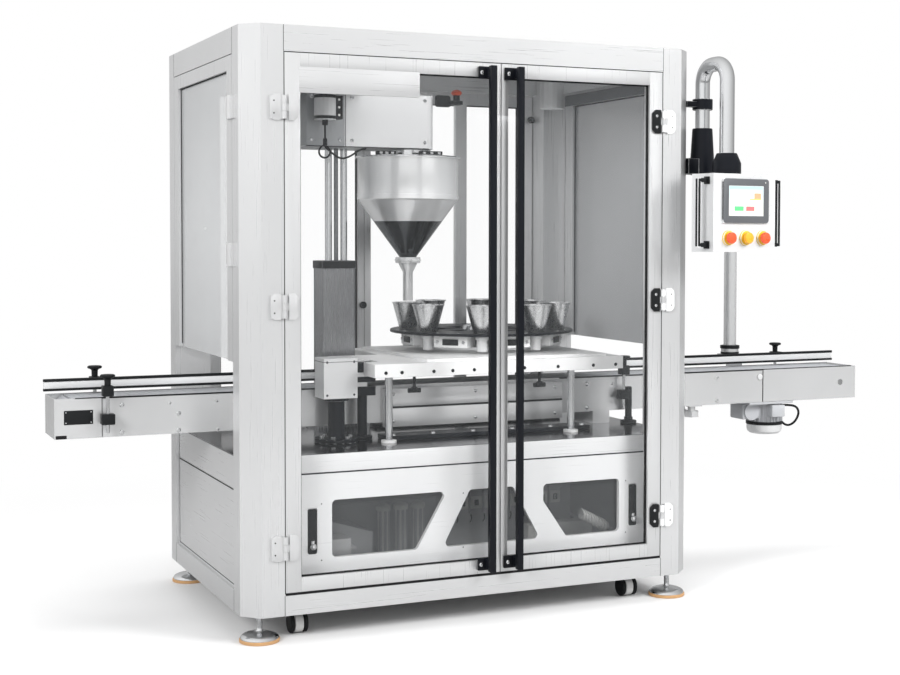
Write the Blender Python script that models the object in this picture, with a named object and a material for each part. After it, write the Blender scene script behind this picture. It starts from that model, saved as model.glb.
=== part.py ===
"""Auger powder filler: a glazed machine frame round a funnel turret, a lifting auger head and a
chain conveyor, with a control panel on a swivel arm. Lengths are metres, +Z is up and the front is -Y.
Pieces are drawn about the middle of the machine frame and set down about the middle of the whole."""

import math

import bmesh
import bpy
from mathutils import Matrix, Vector

# Middle of the whole object's footprint, from the middle of the machine frame
FOOTPRINT_MIDDLE_X = 0.256
FOOTPRINT_MIDDLE_Y = -0.0897

# Clearances, and how deep welded pieces run into each other
GAP = 0.0003
SINK = 0.001
OVERRUN = 0.005

# Facets
FINE_SIDES = 24
ROUND_SIDES = 16
SMALL_SIDES = 8
FUNNEL_SIDES = 12
HEX_SIDES = 6
CORNER_STEPS = 3
SHARP_EDGE_DEGREES = 35

# Machine frame
FRAME_WIDTH = 1.600
FRAME_DEPTH = 1.040
FRAME_TOP = 1.905
FRAME_BOTTOM = 0.085
POST = 0.127
POST_CHAMFER = 0.055
TOP_BEAM_HEIGHT = 0.081
BASE_BEAM_HEIGHT = 0.068
BEAM_DEPTH = 0.060
PAN_SHEET = 0.004
ROOF_DROP = 0.006
LAMP_PLACE = (0.560, 0.100)
LAMP_RADIUS = 0.045
LAMP_HEIGHT = 0.155

# Levelling feet
FOOT_PAD_RADIUS = 0.063
FOOT_PAD_HEIGHT = 0.010
FOOT_DOME_HEIGHT = 0.020
FOOT_DOME_TOP_RADIUS = 0.014
FOOT_STEM_RADIUS = 0.009
FOOT_NUT_RADIUS = 0.016
FOOT_NUT_HEIGHT = 0.014

# Casters
CASTER_INSET_X = 0.200
CASTER_INSET_Y = 0.090
CASTER_LIFT = 0.003
CASTER_WHEEL_RADIUS = 0.031
CASTER_WHEEL_WIDTH = 0.024
CASTER_TRAIL = 0.020
CASTER_PLATE = 0.062
CASTER_PLATE_SHEET = 0.004
CASTER_RACE_RADIUS = 0.024
CASTER_SHEET = 0.004
CASTER_SIDE_GAP = 0.0015
CASTER_AXLE_RADIUS = 0.005
CASTER_TREAD_ROUND = 0.006

# Hinges
HINGE_HEIGHT = 0.072
HINGE_LEAF = 0.044
HINGE_SHEET = 0.008
HINGE_KNUCKLE_RADIUS = 0.008
HINGE_PIN_RADIUS = 0.0035
HINGE_KNUCKLE_SHARE = 0.34

# Glazed doors
DOOR_SHEET = 0.030
DOOR_REVEAL = 0.003
DOOR_STILE = 0.050
DOOR_TOP_RAIL = 0.045
DOOR_BOTTOM_RAIL = 0.045
GLASS_SHEET = 0.006
GLASS_REBATE = 0.012
FRONT_SPLIT_X = 0.0605
FRONT_MEETING_STILE = 0.072
FRONT_HINGE_RISES = (0.1445, 0.8900)
FRONT_HINGE_DROP = 0.171
SIDE_DOOR_BOTTOM = 0.868
SIDE_DOOR_STILE = 0.060
SIDE_HINGE_RISE = 0.334
UPPER_HINGE_DROP = 0.166
REAR_SPLIT_X = -0.0475
REAR_MEETING_STILE = 0.025
REAR_MIDDLE_BAR = 0.048
REAR_BAR_SHARE = 0.55
REAR_HINGE_RISE = 0.624

# Long black pull bars of the front doors
PULL_WIDTH = 0.033
PULL_DEPTH = 0.030
PULL_STAND_OFF = 0.022
PULL_INSET = 0.0265
PULL_END_MARGIN = 0.012
PULL_FOOT_HEIGHT = 0.040
PULL_FOOT_WIDTH = 0.060
PULL_FOOT_SHEET = 0.008

# Cabinet below the table
TABLE_TOP = 0.571
TABLE_SHEET = 0.004
TABLE_BAND = 0.060
TABLE_SIDE_GAP = 0.013
TABLE_FRONT_INSET = 0.075
TABLE_FLANGE = 0.012
PANEL_SHEET = 0.018
PANEL_SETBACK = 0.012
PANEL_SEAM_Z = 0.463
PANEL_SEAM = 0.004
COVER_INSET = 0.008
COVER_SHEET = 0.016
COVER_REVEAL = 0.003
SILL_TOP = 0.181
SILL_DEPTH = 0.030
WINDOW_TOP = 0.422
WINDOW_BOTTOM = 0.238
WINDOW_LEFT_SHARES = (-0.7592, -0.1503, -0.3144)
WINDOW_MIDDLE_SHARES = (-0.0245, 0.2178, 0.3742, -0.1733)
WINDOW_RIGHT_SHARES = (0.3926, 0.8436, 0.5261)
WINDOW_RIGHT_NOTCH_Z = 0.364
WINDOW_CORNER = 0.014
WINDOW_PANE = 0.004
WINDOW_PANE_MARGIN = 0.022
LATCH_LEFT_INSET = 0.092
LATCH_RIGHT_INSET = 0.048
LATCH_WIDTH = 0.032
LATCH_BOTTOM = 0.255
LATCH_TOP = 0.400
LATCH_DEPTH = 0.009
LATCH_CORNER = 0.006
LATCH_BUTTON_RADIUS = 0.010
LATCH_BUTTON_RISE = 0.026

# Electrics behind the cover
RACK_Y = -0.060
RACK_SHEET = 0.004
RACK_INSET = 0.100
RACK_TOP = 0.500
RACK_FOOT = 0.120
RAIL_Z = (0.300, 0.420)
RAIL_DEPTH = 0.012
RAIL_HEIGHT = 0.035
MODULE_COUNT = 9
MODULE_WIDTH_SHARE = 0.865
MODULE_HEIGHT = 0.085
MODULE_DEPTH = 0.060
MODULE_PITCH_SHARE = 0.0929
MODULE_START_SHARE = 0.0357
CYLINDER_COUNT = 3
CYLINDER_RADIUS = 0.024
CYLINDER_HEIGHT = 0.240
CYLINDER_START_SHARE = -0.357
CYLINDER_PITCH_SHARE = 0.116
CYLINDER_FRONT = 0.060
TROUGH_SHARES = (-0.857, -0.518)
TROUGH_TOP = 0.270
TROUGH_LIP = 0.330
TROUGH_DEPTH = 0.200

# Conveyor
CONVEYOR_LEFT = -1.300
CONVEYOR_RIGHT = 1.820
CONVEYOR_FRONT = -0.115
CONVEYOR_WIDTH = 0.185
CONVEYOR_BOTTOM = 0.617
CONVEYOR_TOP = 0.745
CONVEYOR_SHEET = 0.004
CONVEYOR_LEG_INSET = 0.060
CONVEYOR_LEG_WIDTH = 0.070
CONVEYOR_LEFT_COVER = 0.148
CONVEYOR_RIGHT_COVER = 0.444
CONVEYOR_COVER_SHEET = 0.002
BED_SHEET = 0.004
CHAIN_WIDTH = 0.150
CHAIN_SHEET = 0.007
CHAIN_END_MARGIN = 0.012
CHAIN_DROP = 0.001
SPROCKET_TEETH = 12
SPROCKET_TOOTH = 0.004
SPROCKET_TIP_SHARES = (-0.22, 0.22)
SPROCKET_ROOT_SHARES = (0.32, 0.68)
SPROCKET_WIDTH = 0.040
SHAFT_RADIUS = 0.011
SHROUD_LEFT = -0.200
SHROUD_RIGHT = 0.485
SHROUD_TOP = 0.735
SHROUD_BOTTOM = 0.603
SHROUD_SHEET = 0.025
SHROUD_GROOVE_Z = 0.670
SHROUD_GROOVE = 0.005
GUIDE_BOTTOM = 0.7485
GUIDE_TOP = 0.784
GUIDE_SHEET = 0.012
GUIDE_LIP = 0.010
GUIDE_GROOVE = 0.003
GUIDE_Y = 0.036
GUIDE_LEFT = -1.310
GUIDE_RIGHT = 1.822
GUIDE_CLAMP_X = (-1.135, 1.588)
CLAMP_BLOCK = 0.034
CLAMP_HEIGHT = 0.030
CLAMP_ROD_RADIUS = 0.006
CLAMP_STAND_OFF = 0.035
KNOB_RADIUS = 0.024
KNOB_STEM_RADIUS = 0.011
KNOB_RIM = 0.009
KNOB_HEIGHT = 0.036
FRONT_CLAMP_LEFT_X = -1.139
FRONT_CLAMP_BESIDE_BED = 0.098
FRONT_CLAMP_TOP = 0.785
FRONT_CLAMP_ROD_BOTTOM = 0.634
FRONT_CLAMP_GRIP_Z = 0.678
FRONT_CLAMP_GRIP = 0.042
FRONT_CLAMP_STAND_OFF = 0.030
MOTOR_X = 1.448
MOTOR_RADIUS = 0.072
MOTOR_BOTTOM = 0.482
MOTOR_CAP_HEIGHT = 0.050
MOTOR_RIM_HEIGHT = 0.012
MOTOR_FIN = 0.005
GEARBOX_LENGTH = 0.060
GEARBOX_BOTTOM = 0.545
GEARBOX_WIDTH = 0.090
GEARBOX_PLATE = 0.010
MOTOR_FIN_COUNT = 12
LOBE_KNOB_X = 1.070
LOBE_KNOB_RADIUS = 0.030
LOBE_KNOB_DROP = 0.045
MAST_X = 1.368
MAST_Y = 0.104
MAST_RADIUS = 0.025
MAST_FOOT_Z = 0.790
MAST_TOP = 1.300
MAST_COLLAR_RADIUS = 0.036
MAST_COLLAR_HEIGHT = 0.022
MAST_BRACKET_SHEET = 0.008

# Filling axis, shared by the auger, the hopper and the waiting funnel
FILL_X = 0.030
FILL_BEHIND_TURRET = 0.110

# Lift column
COLUMN_LEFT = -0.315
COLUMN_RIGHT = -0.195
COLUMN_AHEAD = 0.045
COLUMN_DEPTH = 0.100
COLUMN_TOP_SHARE = 0.1570
COLUMN_CAP = 0.028
COLUMN_CAP_MARGIN = 0.004
COLUMN_FOOT = 0.016
COLUMN_FOOT_MARGIN = 0.025
LIFT_ROD_RADIUS = 0.0125
LIFT_ROD_X = (-0.277, -0.219)
LIFT_ROD_TOP_SHARE = 0.8467
SCREW_ROD_RADIUS = 0.008

# Filler head
HEAD_LEFT = -0.395
HEAD_RIGHT = 0.096
HEAD_AHEAD = 0.105
HEAD_DEPTH = 0.230
HEAD_BOTTOM_SHARE = 0.6947
HEAD_TOP_SHARE = 0.9394
HEAD_CORNER = 0.030
HEAD_HOLE_TOP_SHARE = 0.9023
HEAD_SENSOR_RADIUS = 0.038
HEAD_SENSOR_HEIGHT = 0.090
HEAD_SENSOR_X = -0.345
HEAD_SENSOR_STAND_OFF = 0.020
HEAD_SENSOR_TOP_SHARE = 0.9147

# Hopper, lid and filling tube
HOPPER_RADIUS = 0.185
HOPPER_TOP_SHARE = 0.6588
HOPPER_SHOULDER_SHARE = 0.4672
HOPPER_THROAT_SHARE = 0.2064
HOPPER_THROAT_RADIUS = 0.030
HOPPER_SHEET = 0.003
HOPPER_RIM = 0.009
HOPPER_BAND = 0.018
COLLAR_RADIUS = 0.046
COLLAR_HEIGHT = 0.022
REDUCER_RADIUS = 0.033
REDUCER_HEIGHT = 0.034
TUBE_RADIUS = 0.0185
TUBE_CLEARANCE = 0.006
LID_SHEET = 0.004
LID_BOSS_RADIUS = 0.085
LID_CLAMP_COUNT = 4
LID_CLAMP_WIDTH = 0.022
LID_CLAMP_HEIGHT = 0.022
LID_CLAMP_INSET = 0.006

# Auger and agitator
AUGER_SHAFT_RADIUS = 0.006
AUGER_PITCH_SHARE = 0.03955
AUGER_FLIGHT = 0.0025
AUGER_RUNNING_GAP = 0.0015
AUGER_TURNS = 6
AUGER_STEPS = 12
AUGER_TOP_SHARE = 0.7231
AUGER_TIP_MARGIN = 0.004
AGITATOR_SLEEVE_RADIUS = 0.014
AGITATOR_SLEEVE_BOTTOM_SHARE = 0.3523
AGITATOR_BLADE = 0.005
AGITATOR_BLADE_WIDTH = 0.016
AGITATOR_WALL_GAP = 0.008
AGITATOR_TOP_SHARE = 0.75

# Turret
TURRET_X = 0.280
TURRET_BACK_ROOM = 0.400
FUNNEL_COUNT = 8
FUNNEL_RIM_RADIUS = 0.056
FUNNEL_THROAT_RADIUS = 0.027
FUNNEL_RIM_Z = 1.015
FUNNEL_THROAT_Z = 0.921
FUNNEL_SHEET = 0.002
FUNNEL_LIP = 0.003
NOZZLE_RADIUS = 0.019
NOZZLE_BOTTOM = 0.852
RING_TOP = 0.917
RING_SHEET = 0.014
RING_MARGIN = 0.066
RING_INNER_SHARE = 0.62
BLOCK_DEPTH = 0.055
BLOCK_WIDTH_SHARE = 0.62
STAR_RADIUS_SHARE = 0.90
STAR_SHEET = 0.012
SPIDER_ARM_WIDTH = 0.036
HUB_RADIUS = 0.070
HUB_CAP_RISE = 0.018
CENTRE_POST_RADIUS = 0.035
CENTRE_POST_TOP = 0.900

# Turret bed above the conveyor
BED_PLATE_TOP = 0.835
BED_PLATE_SHEET = 0.044
BED_PLATE_LEFT = -0.330
BED_PLATE_RIGHT_ROOM = 0.160
BED_PLATE_FRONT = -0.310
BED_PLATE_BACK_ROOM = 0.100
BED_PLATE_STEP_X = -0.140
BED_PLATE_STEP_GAP = 0.095
BED_TAB_LEFT = -0.300
BED_NOTCH_RIGHT = -0.245
BED_NOTCH_FRONT = -0.202
BED_NOTCH_BACK = -0.118
STEP_PLATE_SHEET = 0.008
STEP_PLATE_INSET = 0.045
BED_RING_RADIUS = 0.215
BED_RING_HEIGHT = 0.010
BED_ROD_RADIUS = 0.0125
BED_ROD_INSET = 0.028
BED_ROD_FRONT_X = (-0.240, 0.445)
BED_ROD_BACK_LEFT_X = -0.080
BED_ROD_BACK_INSET = 0.040
BED_ROD_FOOT_RADIUS = 0.026
BED_ROD_FOOT_HEIGHT = 0.008

# Infeed drive box and its posts
INFEED_LEFT = -0.450
INFEED_RIGHT = -0.332
INFEED_FRONT = -0.230
INFEED_DEPTH = 0.095
INFEED_BOTTOM = 0.719
INFEED_TOP = 0.853
INFEED_POST_RADIUS = 0.028
INFEED_FLANGE_RADIUS = 0.072
INFEED_FLANGE_HEIGHT = 0.012
INFEED_NECK_RADIUS = 0.042
INFEED_NECK_HEIGHT = 0.010
INFEED_BOLT_COUNT = 6
INFEED_BOLT_RADIUS = 0.007
INFEED_BOLT_HEIGHT = 0.008
SLOT_BLOCK_WIDTH = 0.075
SLOT_BLOCK_DEPTH = 0.060
SLOT_BLOCK_TOP = 0.832
SLOT_BLOCK_BOTTOM = 0.722
SLOT_HEIGHT = 0.014
SLOT_DEPTH = 0.030
SLOT_Z_SHARES = (0.35, 0.65)
SLOT_BLOCK_BACK_SHARE = 0.85
SLIM_POST_RADIUS = 0.0165
SLIM_FOOT_RADIUS = 0.034
SLIM_FOOT_HEIGHT = 0.012

# Control panel on its arm
ARM_STAND_OFF = 0.072
ARM_FAR_INSET = 0.063
ARM_REACH = 0.155
ARM_PIPE_RADIUS = 0.0255
ARM_DROP = 0.047
ARM_BEND_RADIUS = 0.062
ARM_BEND_STEPS = 6
SOCKET_DROP = 0.427
SOCKET_HEIGHT = 0.162
SOCKET_BOTTOM_RADIUS = 0.041
SOCKET_TOP_RADIUS = 0.034
SOCKET_FLOOR = 0.010
SOCKET_BACK = 0.056
ARM_RING_DROP = 0.200
ARM_RING_HEIGHT = 0.038
ARM_RING_RADIUS = 0.035
ARM_RING_BACK = 0.030
PANEL_WIDTH = 0.280
PANEL_HEIGHT = 0.265
PANEL_DEPTH = 0.110
PANEL_DROP = 0.431
PANEL_TURN = 8.0
PANEL_OFFSET = 0.020
PANEL_FRONT_OFFSET = 0.070
CONE_HEIGHT = 0.071
CONE_TOP_RADIUS = 0.034
CONE_RADIUS = 0.048
CONE_SHOULDER = 0.036
CONE_FLOOR = 0.012
BEZEL_LEFT = 0.039
BEZEL_TOP_DROP = 0.017
BEZEL_WIDTH = 0.205
BEZEL_HEIGHT = 0.150
BEZEL_RISE = 0.007
SCREEN_MARGIN = 0.026
SCREEN_DROP = 0.002
BUTTON_COUNT = 3
BUTTON_START = 0.067
BUTTON_PITCH = 0.077
BUTTON_DROP = 0.218
BUTTON_HEAD_RADIUS = 0.020
BUTTON_HEAD_HEIGHT = 0.013
BUTTON_STEM_RADIUS = 0.011
BUTTON_TRAVEL = 0.005
BUTTON_COLLAR_RADIUS = 0.026
BUTTON_COLLAR_RISE = 0.007
BUTTON_BORE_DEPTH = 0.024
GRIP_STAND_OFF = 0.048
GRIP_BAR = 0.014
GRIP_HEIGHT = 0.232
GRIP_DEPTH_PLACE = 0.030

# Worked out from the sizes above
HALF_WIDTH = FRAME_WIDTH / 2
HALF_DEPTH = FRAME_DEPTH / 2
POST_INNER_X = HALF_WIDTH - POST
POST_INNER_Y = HALF_DEPTH - POST
BASE_TOP = FRAME_BOTTOM + BASE_BEAM_HEIGHT
TOP_BEAM_BOTTOM = FRAME_TOP - TOP_BEAM_HEIGHT
CASTER_X = HALF_WIDTH - CASTER_INSET_X
CASTER_Y = HALF_DEPTH - CASTER_INSET_Y
UPPER_HINGE_Z = TOP_BEAM_BOTTOM - UPPER_HINGE_DROP
FRONT_HINGES_Z = (*[BASE_TOP + rise for rise in FRONT_HINGE_RISES], TOP_BEAM_BOTTOM - FRONT_HINGE_DROP)
SIDE_HINGES_Z = (SIDE_DOOR_BOTTOM + SIDE_HINGE_RISE, UPPER_HINGE_Z)
REAR_HINGES_Z = (BASE_TOP + REAR_HINGE_RISE, UPPER_HINGE_Z)
TABLE_HALF_WIDTH = POST_INNER_X - TABLE_SIDE_GAP
TABLE_FRONT_Y = -HALF_DEPTH + TABLE_FRONT_INSET
COVER_HALF_WIDTH = TABLE_HALF_WIDTH - COVER_INSET
WINDOW_LEFT_X = [share * COVER_HALF_WIDTH for share in WINDOW_LEFT_SHARES]
WINDOW_MIDDLE_X = [share * COVER_HALF_WIDTH for share in WINDOW_MIDDLE_SHARES]
WINDOW_RIGHT_X = [share * COVER_HALF_WIDTH for share in WINDOW_RIGHT_SHARES]
LATCH_LEFT_X = -COVER_HALF_WIDTH + LATCH_LEFT_INSET
LATCH_RIGHT_X = COVER_HALF_WIDTH - LATCH_RIGHT_INSET
RACK_RIGHT = TABLE_HALF_WIDTH - RACK_INSET
RACK_LEFT = -RACK_RIGHT
MODULE_START_X = RACK_RIGHT * MODULE_START_SHARE
MODULE_PITCH = RACK_RIGHT * MODULE_PITCH_SHARE
MODULE_WIDTH = MODULE_PITCH * MODULE_WIDTH_SHARE
CYLINDER_X = RACK_RIGHT * CYLINDER_START_SHARE
CYLINDER_PITCH = RACK_RIGHT * CYLINDER_PITCH_SHARE
TROUGH_LEFT, TROUGH_RIGHT = [RACK_RIGHT * share for share in TROUGH_SHARES]
CONVEYOR_LEG_X = (-TABLE_HALF_WIDTH + CONVEYOR_LEG_INSET, TABLE_HALF_WIDTH)
TABLE_UNDERSIDE = TABLE_TOP - TABLE_SHEET
CONVEYOR_BACK = CONVEYOR_FRONT + CONVEYOR_WIDTH
CONVEYOR_MIDDLE_Y = (CONVEYOR_FRONT + CONVEYOR_BACK) / 2
CHAIN_TOP = CONVEYOR_TOP - CHAIN_DROP
CHAIN_RADIUS = (CHAIN_TOP - CONVEYOR_BOTTOM - CHAIN_DROP) / 2 - CHAIN_SHEET
CHAIN_Z = CHAIN_TOP - CHAIN_SHEET - CHAIN_RADIUS
CHAIN_LEFT_X = CONVEYOR_LEFT + CHAIN_END_MARGIN + CHAIN_RADIUS + CHAIN_SHEET
CHAIN_RIGHT_X = CONVEYOR_RIGHT - CHAIN_END_MARGIN - CHAIN_RADIUS - CHAIN_SHEET
TURRET_Y = HALF_DEPTH - TURRET_BACK_ROOM
FILL_Y = TURRET_Y + FILL_BEHIND_TURRET
COLUMN_FRONT = FILL_Y - COLUMN_AHEAD
HEAD_FRONT = FILL_Y - HEAD_AHEAD
BED_PLATE_BACK = HALF_DEPTH - BED_PLATE_BACK_ROOM
BED_PLATE_RIGHT = HALF_WIDTH - BED_PLATE_RIGHT_ROOM
BED_PLATE_STEP_Y = COLUMN_FRONT - BED_PLATE_STEP_GAP
BED_ROD_BACK_X = (BED_ROD_BACK_LEFT_X, BED_PLATE_RIGHT - BED_ROD_BACK_INSET)
FRONT_CLAMP_RIGHT_X = BED_PLATE_RIGHT + FRONT_CLAMP_BESIDE_BED
BED_PLATE_BOTTOM = BED_PLATE_TOP - BED_PLATE_SHEET
FUNNEL_RING_RADIUS = math.hypot(TURRET_X - FILL_X, TURRET_Y - FILL_Y)
FUNNEL_PHASE = math.atan2(FILL_Y - TURRET_Y, FILL_X - TURRET_X)
COLUMN_MIDDLE_Y = COLUMN_FRONT + COLUMN_DEPTH / 2
HINGE_AXIS_OFF = HINGE_KNUCKLE_RADIUS + GAP
ARM_X = HALF_WIDTH + ARM_STAND_OFF
ARM_FAR_Y = -HALF_DEPTH + ARM_FAR_INSET
ARM_NEAR_Y = ARM_FAR_Y - ARM_REACH
ARM_TOP = FRAME_TOP - ARM_DROP
SOCKET_BOTTOM = FRAME_TOP - SOCKET_DROP
SOCKET_TOP = SOCKET_BOTTOM + SOCKET_HEIGHT
ARM_RING_BOTTOM = FRAME_TOP - ARM_RING_DROP
ARM_RING_TOP = ARM_RING_BOTTOM + ARM_RING_HEIGHT
PANEL_TOP = FRAME_TOP - PANEL_DROP
CONE_TOP = PANEL_TOP + CONE_HEIGHT

# Heights of the filler, as shares of the room between the funnels and the top frame
FILL_ROOM = TOP_BEAM_BOTTOM - FUNNEL_RIM_Z
TUBE_BOTTOM = FUNNEL_RIM_Z + TUBE_CLEARANCE
COLUMN_TOP = FUNNEL_RIM_Z + FILL_ROOM * COLUMN_TOP_SHARE
LIFT_ROD_TOP = FUNNEL_RIM_Z + FILL_ROOM * LIFT_ROD_TOP_SHARE
HEAD_BOTTOM = FUNNEL_RIM_Z + FILL_ROOM * HEAD_BOTTOM_SHARE
HEAD_TOP = FUNNEL_RIM_Z + FILL_ROOM * HEAD_TOP_SHARE
HEAD_HOLE_TOP = FUNNEL_RIM_Z + FILL_ROOM * HEAD_HOLE_TOP_SHARE
HEAD_SENSOR_TOP = FUNNEL_RIM_Z + FILL_ROOM * HEAD_SENSOR_TOP_SHARE
HOPPER_TOP = FUNNEL_RIM_Z + FILL_ROOM * HOPPER_TOP_SHARE
HOPPER_SHOULDER = FUNNEL_RIM_Z + FILL_ROOM * HOPPER_SHOULDER_SHARE
HOPPER_THROAT = FUNNEL_RIM_Z + FILL_ROOM * HOPPER_THROAT_SHARE
AUGER_PITCH = FILL_ROOM * AUGER_PITCH_SHARE
AUGER_TOP = FUNNEL_RIM_Z + FILL_ROOM * AUGER_TOP_SHARE
AGITATOR_SLEEVE_BOTTOM = FUNNEL_RIM_Z + FILL_ROOM * AGITATOR_SLEEVE_BOTTOM_SHARE

BOX_FACES = ((0, 3, 2, 1), (4, 5, 6, 7), (0, 1, 5, 4), (1, 2, 6, 5), (2, 3, 7, 6), (3, 0, 4, 7))
AXIS_TURNS = {
    "X": Matrix(((0, 0, 1), (1, 0, 0), (0, 1, 0))),
    "Y": Matrix(((1, 0, 0), (0, 0, 1), (0, 1, 0))),
    "Z": Matrix.Identity(3),
}


# Finishes
def finish(name, colour, roughness, metallic=0.0, alpha=1.0):
    material = bpy.data.materials.new(name)
    material.use_nodes = True
    shader = material.node_tree.nodes["Principled BSDF"]
    shader.inputs["Base Color"].default_value = (*colour, 1.0)
    shader.inputs["Roughness"].default_value = roughness
    shader.inputs["Metallic"].default_value = metallic
    shader.inputs["Alpha"].default_value = alpha
    material.diffuse_color = (*colour, alpha)
    return material


def make_finishes():
    return {
        "steel": finish("brushed_steel", (0.62, 0.63, 0.64), 0.34, 1.0),
        "chrome": finish("polished_steel", (0.78, 0.79, 0.80), 0.10, 1.0),
        "white": finish("machined_aluminium", (0.80, 0.81, 0.82), 0.38, 0.9),
        "black": finish("black_plastic", (0.015, 0.016, 0.018), 0.42),
        "black_paint": finish("black_paint", (0.02, 0.021, 0.024), 0.30),
        "glass": finish("clear_glass", (0.90, 0.94, 0.95), 0.03, 0.0, 0.15),
        "smoke": finish("smoked_pane", (0.10, 0.11, 0.12), 0.08, 0.0, 0.45),
        "grey": finish("grey_motor_paint", (0.42, 0.44, 0.46), 0.45),
        "rubber": finish("black_rubber", (0.02, 0.02, 0.02), 0.70),
        "red": finish("red_button", (0.85, 0.12, 0.06), 0.35),
        "yellow": finish("yellow_button", (0.95, 0.55, 0.06), 0.35),
        "chain": finish("grey_chain_plastic", (0.33, 0.34, 0.36), 0.50),
        "parts": finish("electrical_parts", (0.55, 0.56, 0.57), 0.45),
    }


# Outlines in a plane
def rectangle(low_u, low_v, high_u, high_v):
    return [(low_u, low_v), (high_u, low_v), (high_u, high_v), (low_u, high_v)]


def rounded(outline, radius, steps=CORNER_STEPS):
    """The outline with each corner replaced by an arc of the given radius."""
    count = len(outline)
    points = []
    for index, corner in enumerate(outline):
        here = Vector(corner)
        before = (Vector(outline[index - 1]) - here).normalized()
        after = (Vector(outline[(index + 1) % count]) - here).normalized()
        half = before.angle(after) / 2
        centre = here + (before + after).normalized() * (radius / math.sin(half))
        first = here + before * (radius / math.tan(half)) - centre
        last = here + after * (radius / math.tan(half)) - centre
        for step in range(steps + 1):
            share = step / steps
            spoke = first.lerp(last, share).normalized() * radius
            points.append(tuple(centre + spoke))
    return points


def mirrored(outline):
    return [(-u, v) for u, v in reversed(outline)]


# Shells: each is one closed mesh
def placed(point, axis):
    return AXIS_TURNS[axis] @ Vector(point)


def close_shell(shell):
    bmesh.ops.recalc_face_normals(shell, faces=shell.faces)
    return shell


def box(low, high):
    shell = bmesh.new()
    floor = [(low[0], low[1]), (high[0], low[1]), (high[0], high[1]), (low[0], high[1])]
    corners = [shell.verts.new((x, y, z)) for z in (low[2], high[2]) for x, y in floor]
    for face in BOX_FACES:
        shell.faces.new([corners[index] for index in face])
    return close_shell(shell)


def prism(outline, low, high, axis="Z"):
    """An outline extruded along an axis. Along X its points are (y, z), along Y (x, z), along Z (x, y)."""
    shell = bmesh.new()
    ends = [[shell.verts.new(placed((u, v, level), axis)) for u, v in outline] for level in (low, high)]
    shell.faces.new(ends[0])
    shell.faces.new(list(reversed(ends[1])))
    for index in range(len(outline)):
        after = (index + 1) % len(outline)
        shell.faces.new((ends[0][index], ends[0][after], ends[1][after], ends[1][index]))
    return close_shell(shell)


def bridge_rings(shell, first, second):
    sides = max(len(first), len(second))
    for index in range(sides):
        after = (index + 1) % sides
        corners = [first[index % len(first)], first[after % len(first)]]
        corners += [second[after % len(second)], second[index % len(second)]]
        unique = list(dict.fromkeys(corners))
        if len(unique) > 2:
            shell.faces.new(unique)


def turned(profile, centre, sides=ROUND_SIDES, axis="Z"):
    """A profile of (radius, height) turned about an axis through the centre. Ends on the axis close it."""
    shell = bmesh.new()
    rings = []
    for radius, height in profile:
        count = 1 if radius == 0 else sides
        turns = [math.tau * index / sides for index in range(count)]
        spokes = [(radius * math.cos(turn), radius * math.sin(turn), height) for turn in turns]
        rings.append([shell.verts.new(Vector(centre) + placed(spoke, axis)) for spoke in spokes])
    for first, second in zip(rings, rings[1:]):
        bridge_rings(shell, first, second)
    if profile[0][0] > 0:
        bridge_rings(shell, rings[-1], rings[0])
    return close_shell(shell)


def rod(centre, radius, low, high, sides=SMALL_SIDES, axis="Z"):
    return turned([(0, low), (radius, low), (radius, high), (0, high)], centre, sides, axis)


def tube_along(points, radius, sides=ROUND_SIDES):
    """A round bar along points that lie in one plane of constant X."""
    shell = bmesh.new()
    side = Vector((1, 0, 0))
    rings = []
    for index, point in enumerate(points):
        before = points[max(index - 1, 0)]
        after = points[min(index + 1, len(points) - 1)]
        up = side.cross((after - before).normalized())
        turns = [math.tau * step / sides for step in range(sides)]
        ring = [point + (side * math.cos(turn) + up * math.sin(turn)) * radius for turn in turns]
        rings.append([shell.verts.new(corner) for corner in ring])
    for first, second in zip(rings, rings[1:]):
        bridge_rings(shell, first, second)
    shell.faces.new(rings[0])
    shell.faces.new(list(reversed(rings[-1])))
    return close_shell(shell)


def turn_shell(shell, angle, centre, axis="Z"):
    bmesh.ops.rotate(shell, verts=shell.verts, cent=centre, matrix=Matrix.Rotation(angle, 3, axis))
    return shell


def clear_bore(radius, sides, clearance=GAP):
    """Corner radius of a faceted bore whose flats clear a bar of the given radius."""
    return (radius + clearance) / math.cos(math.pi / sides)


# Joining shells into one solid
def helper_object(shells):
    mesh = bpy.data.meshes.new("helper")
    joined = bmesh.new()
    for shell in shells:
        part = bpy.data.meshes.new("helper_part")
        shell.to_mesh(part)
        shell.free()
        joined.from_mesh(part)
        bpy.data.meshes.remove(part)
    joined.to_mesh(mesh)
    joined.free()
    helper = bpy.data.objects.new("helper", mesh)
    bpy.context.scene.collection.objects.link(helper)
    return helper


def combine(target, shells, operation):
    """Unites the target with the shells, or cuts them from it, in one step."""
    if not shells:
        return
    several = len(shells) > 1
    helper = helper_object(shells)
    modifier = target.modifiers.new(operation.lower(), "BOOLEAN")
    modifier.operation = operation
    modifier.object = helper
    modifier.solver = "EXACT"
    modifier.use_self = several
    graph = bpy.context.evaluated_depsgraph_get()
    result = bpy.data.meshes.new_from_object(target.evaluated_get(graph))
    target.modifiers.clear()
    plain = target.data
    target.data = result
    bpy.data.meshes.remove(plain)
    spare = helper.data
    bpy.data.objects.remove(helper)
    bpy.data.meshes.remove(spare)


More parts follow.
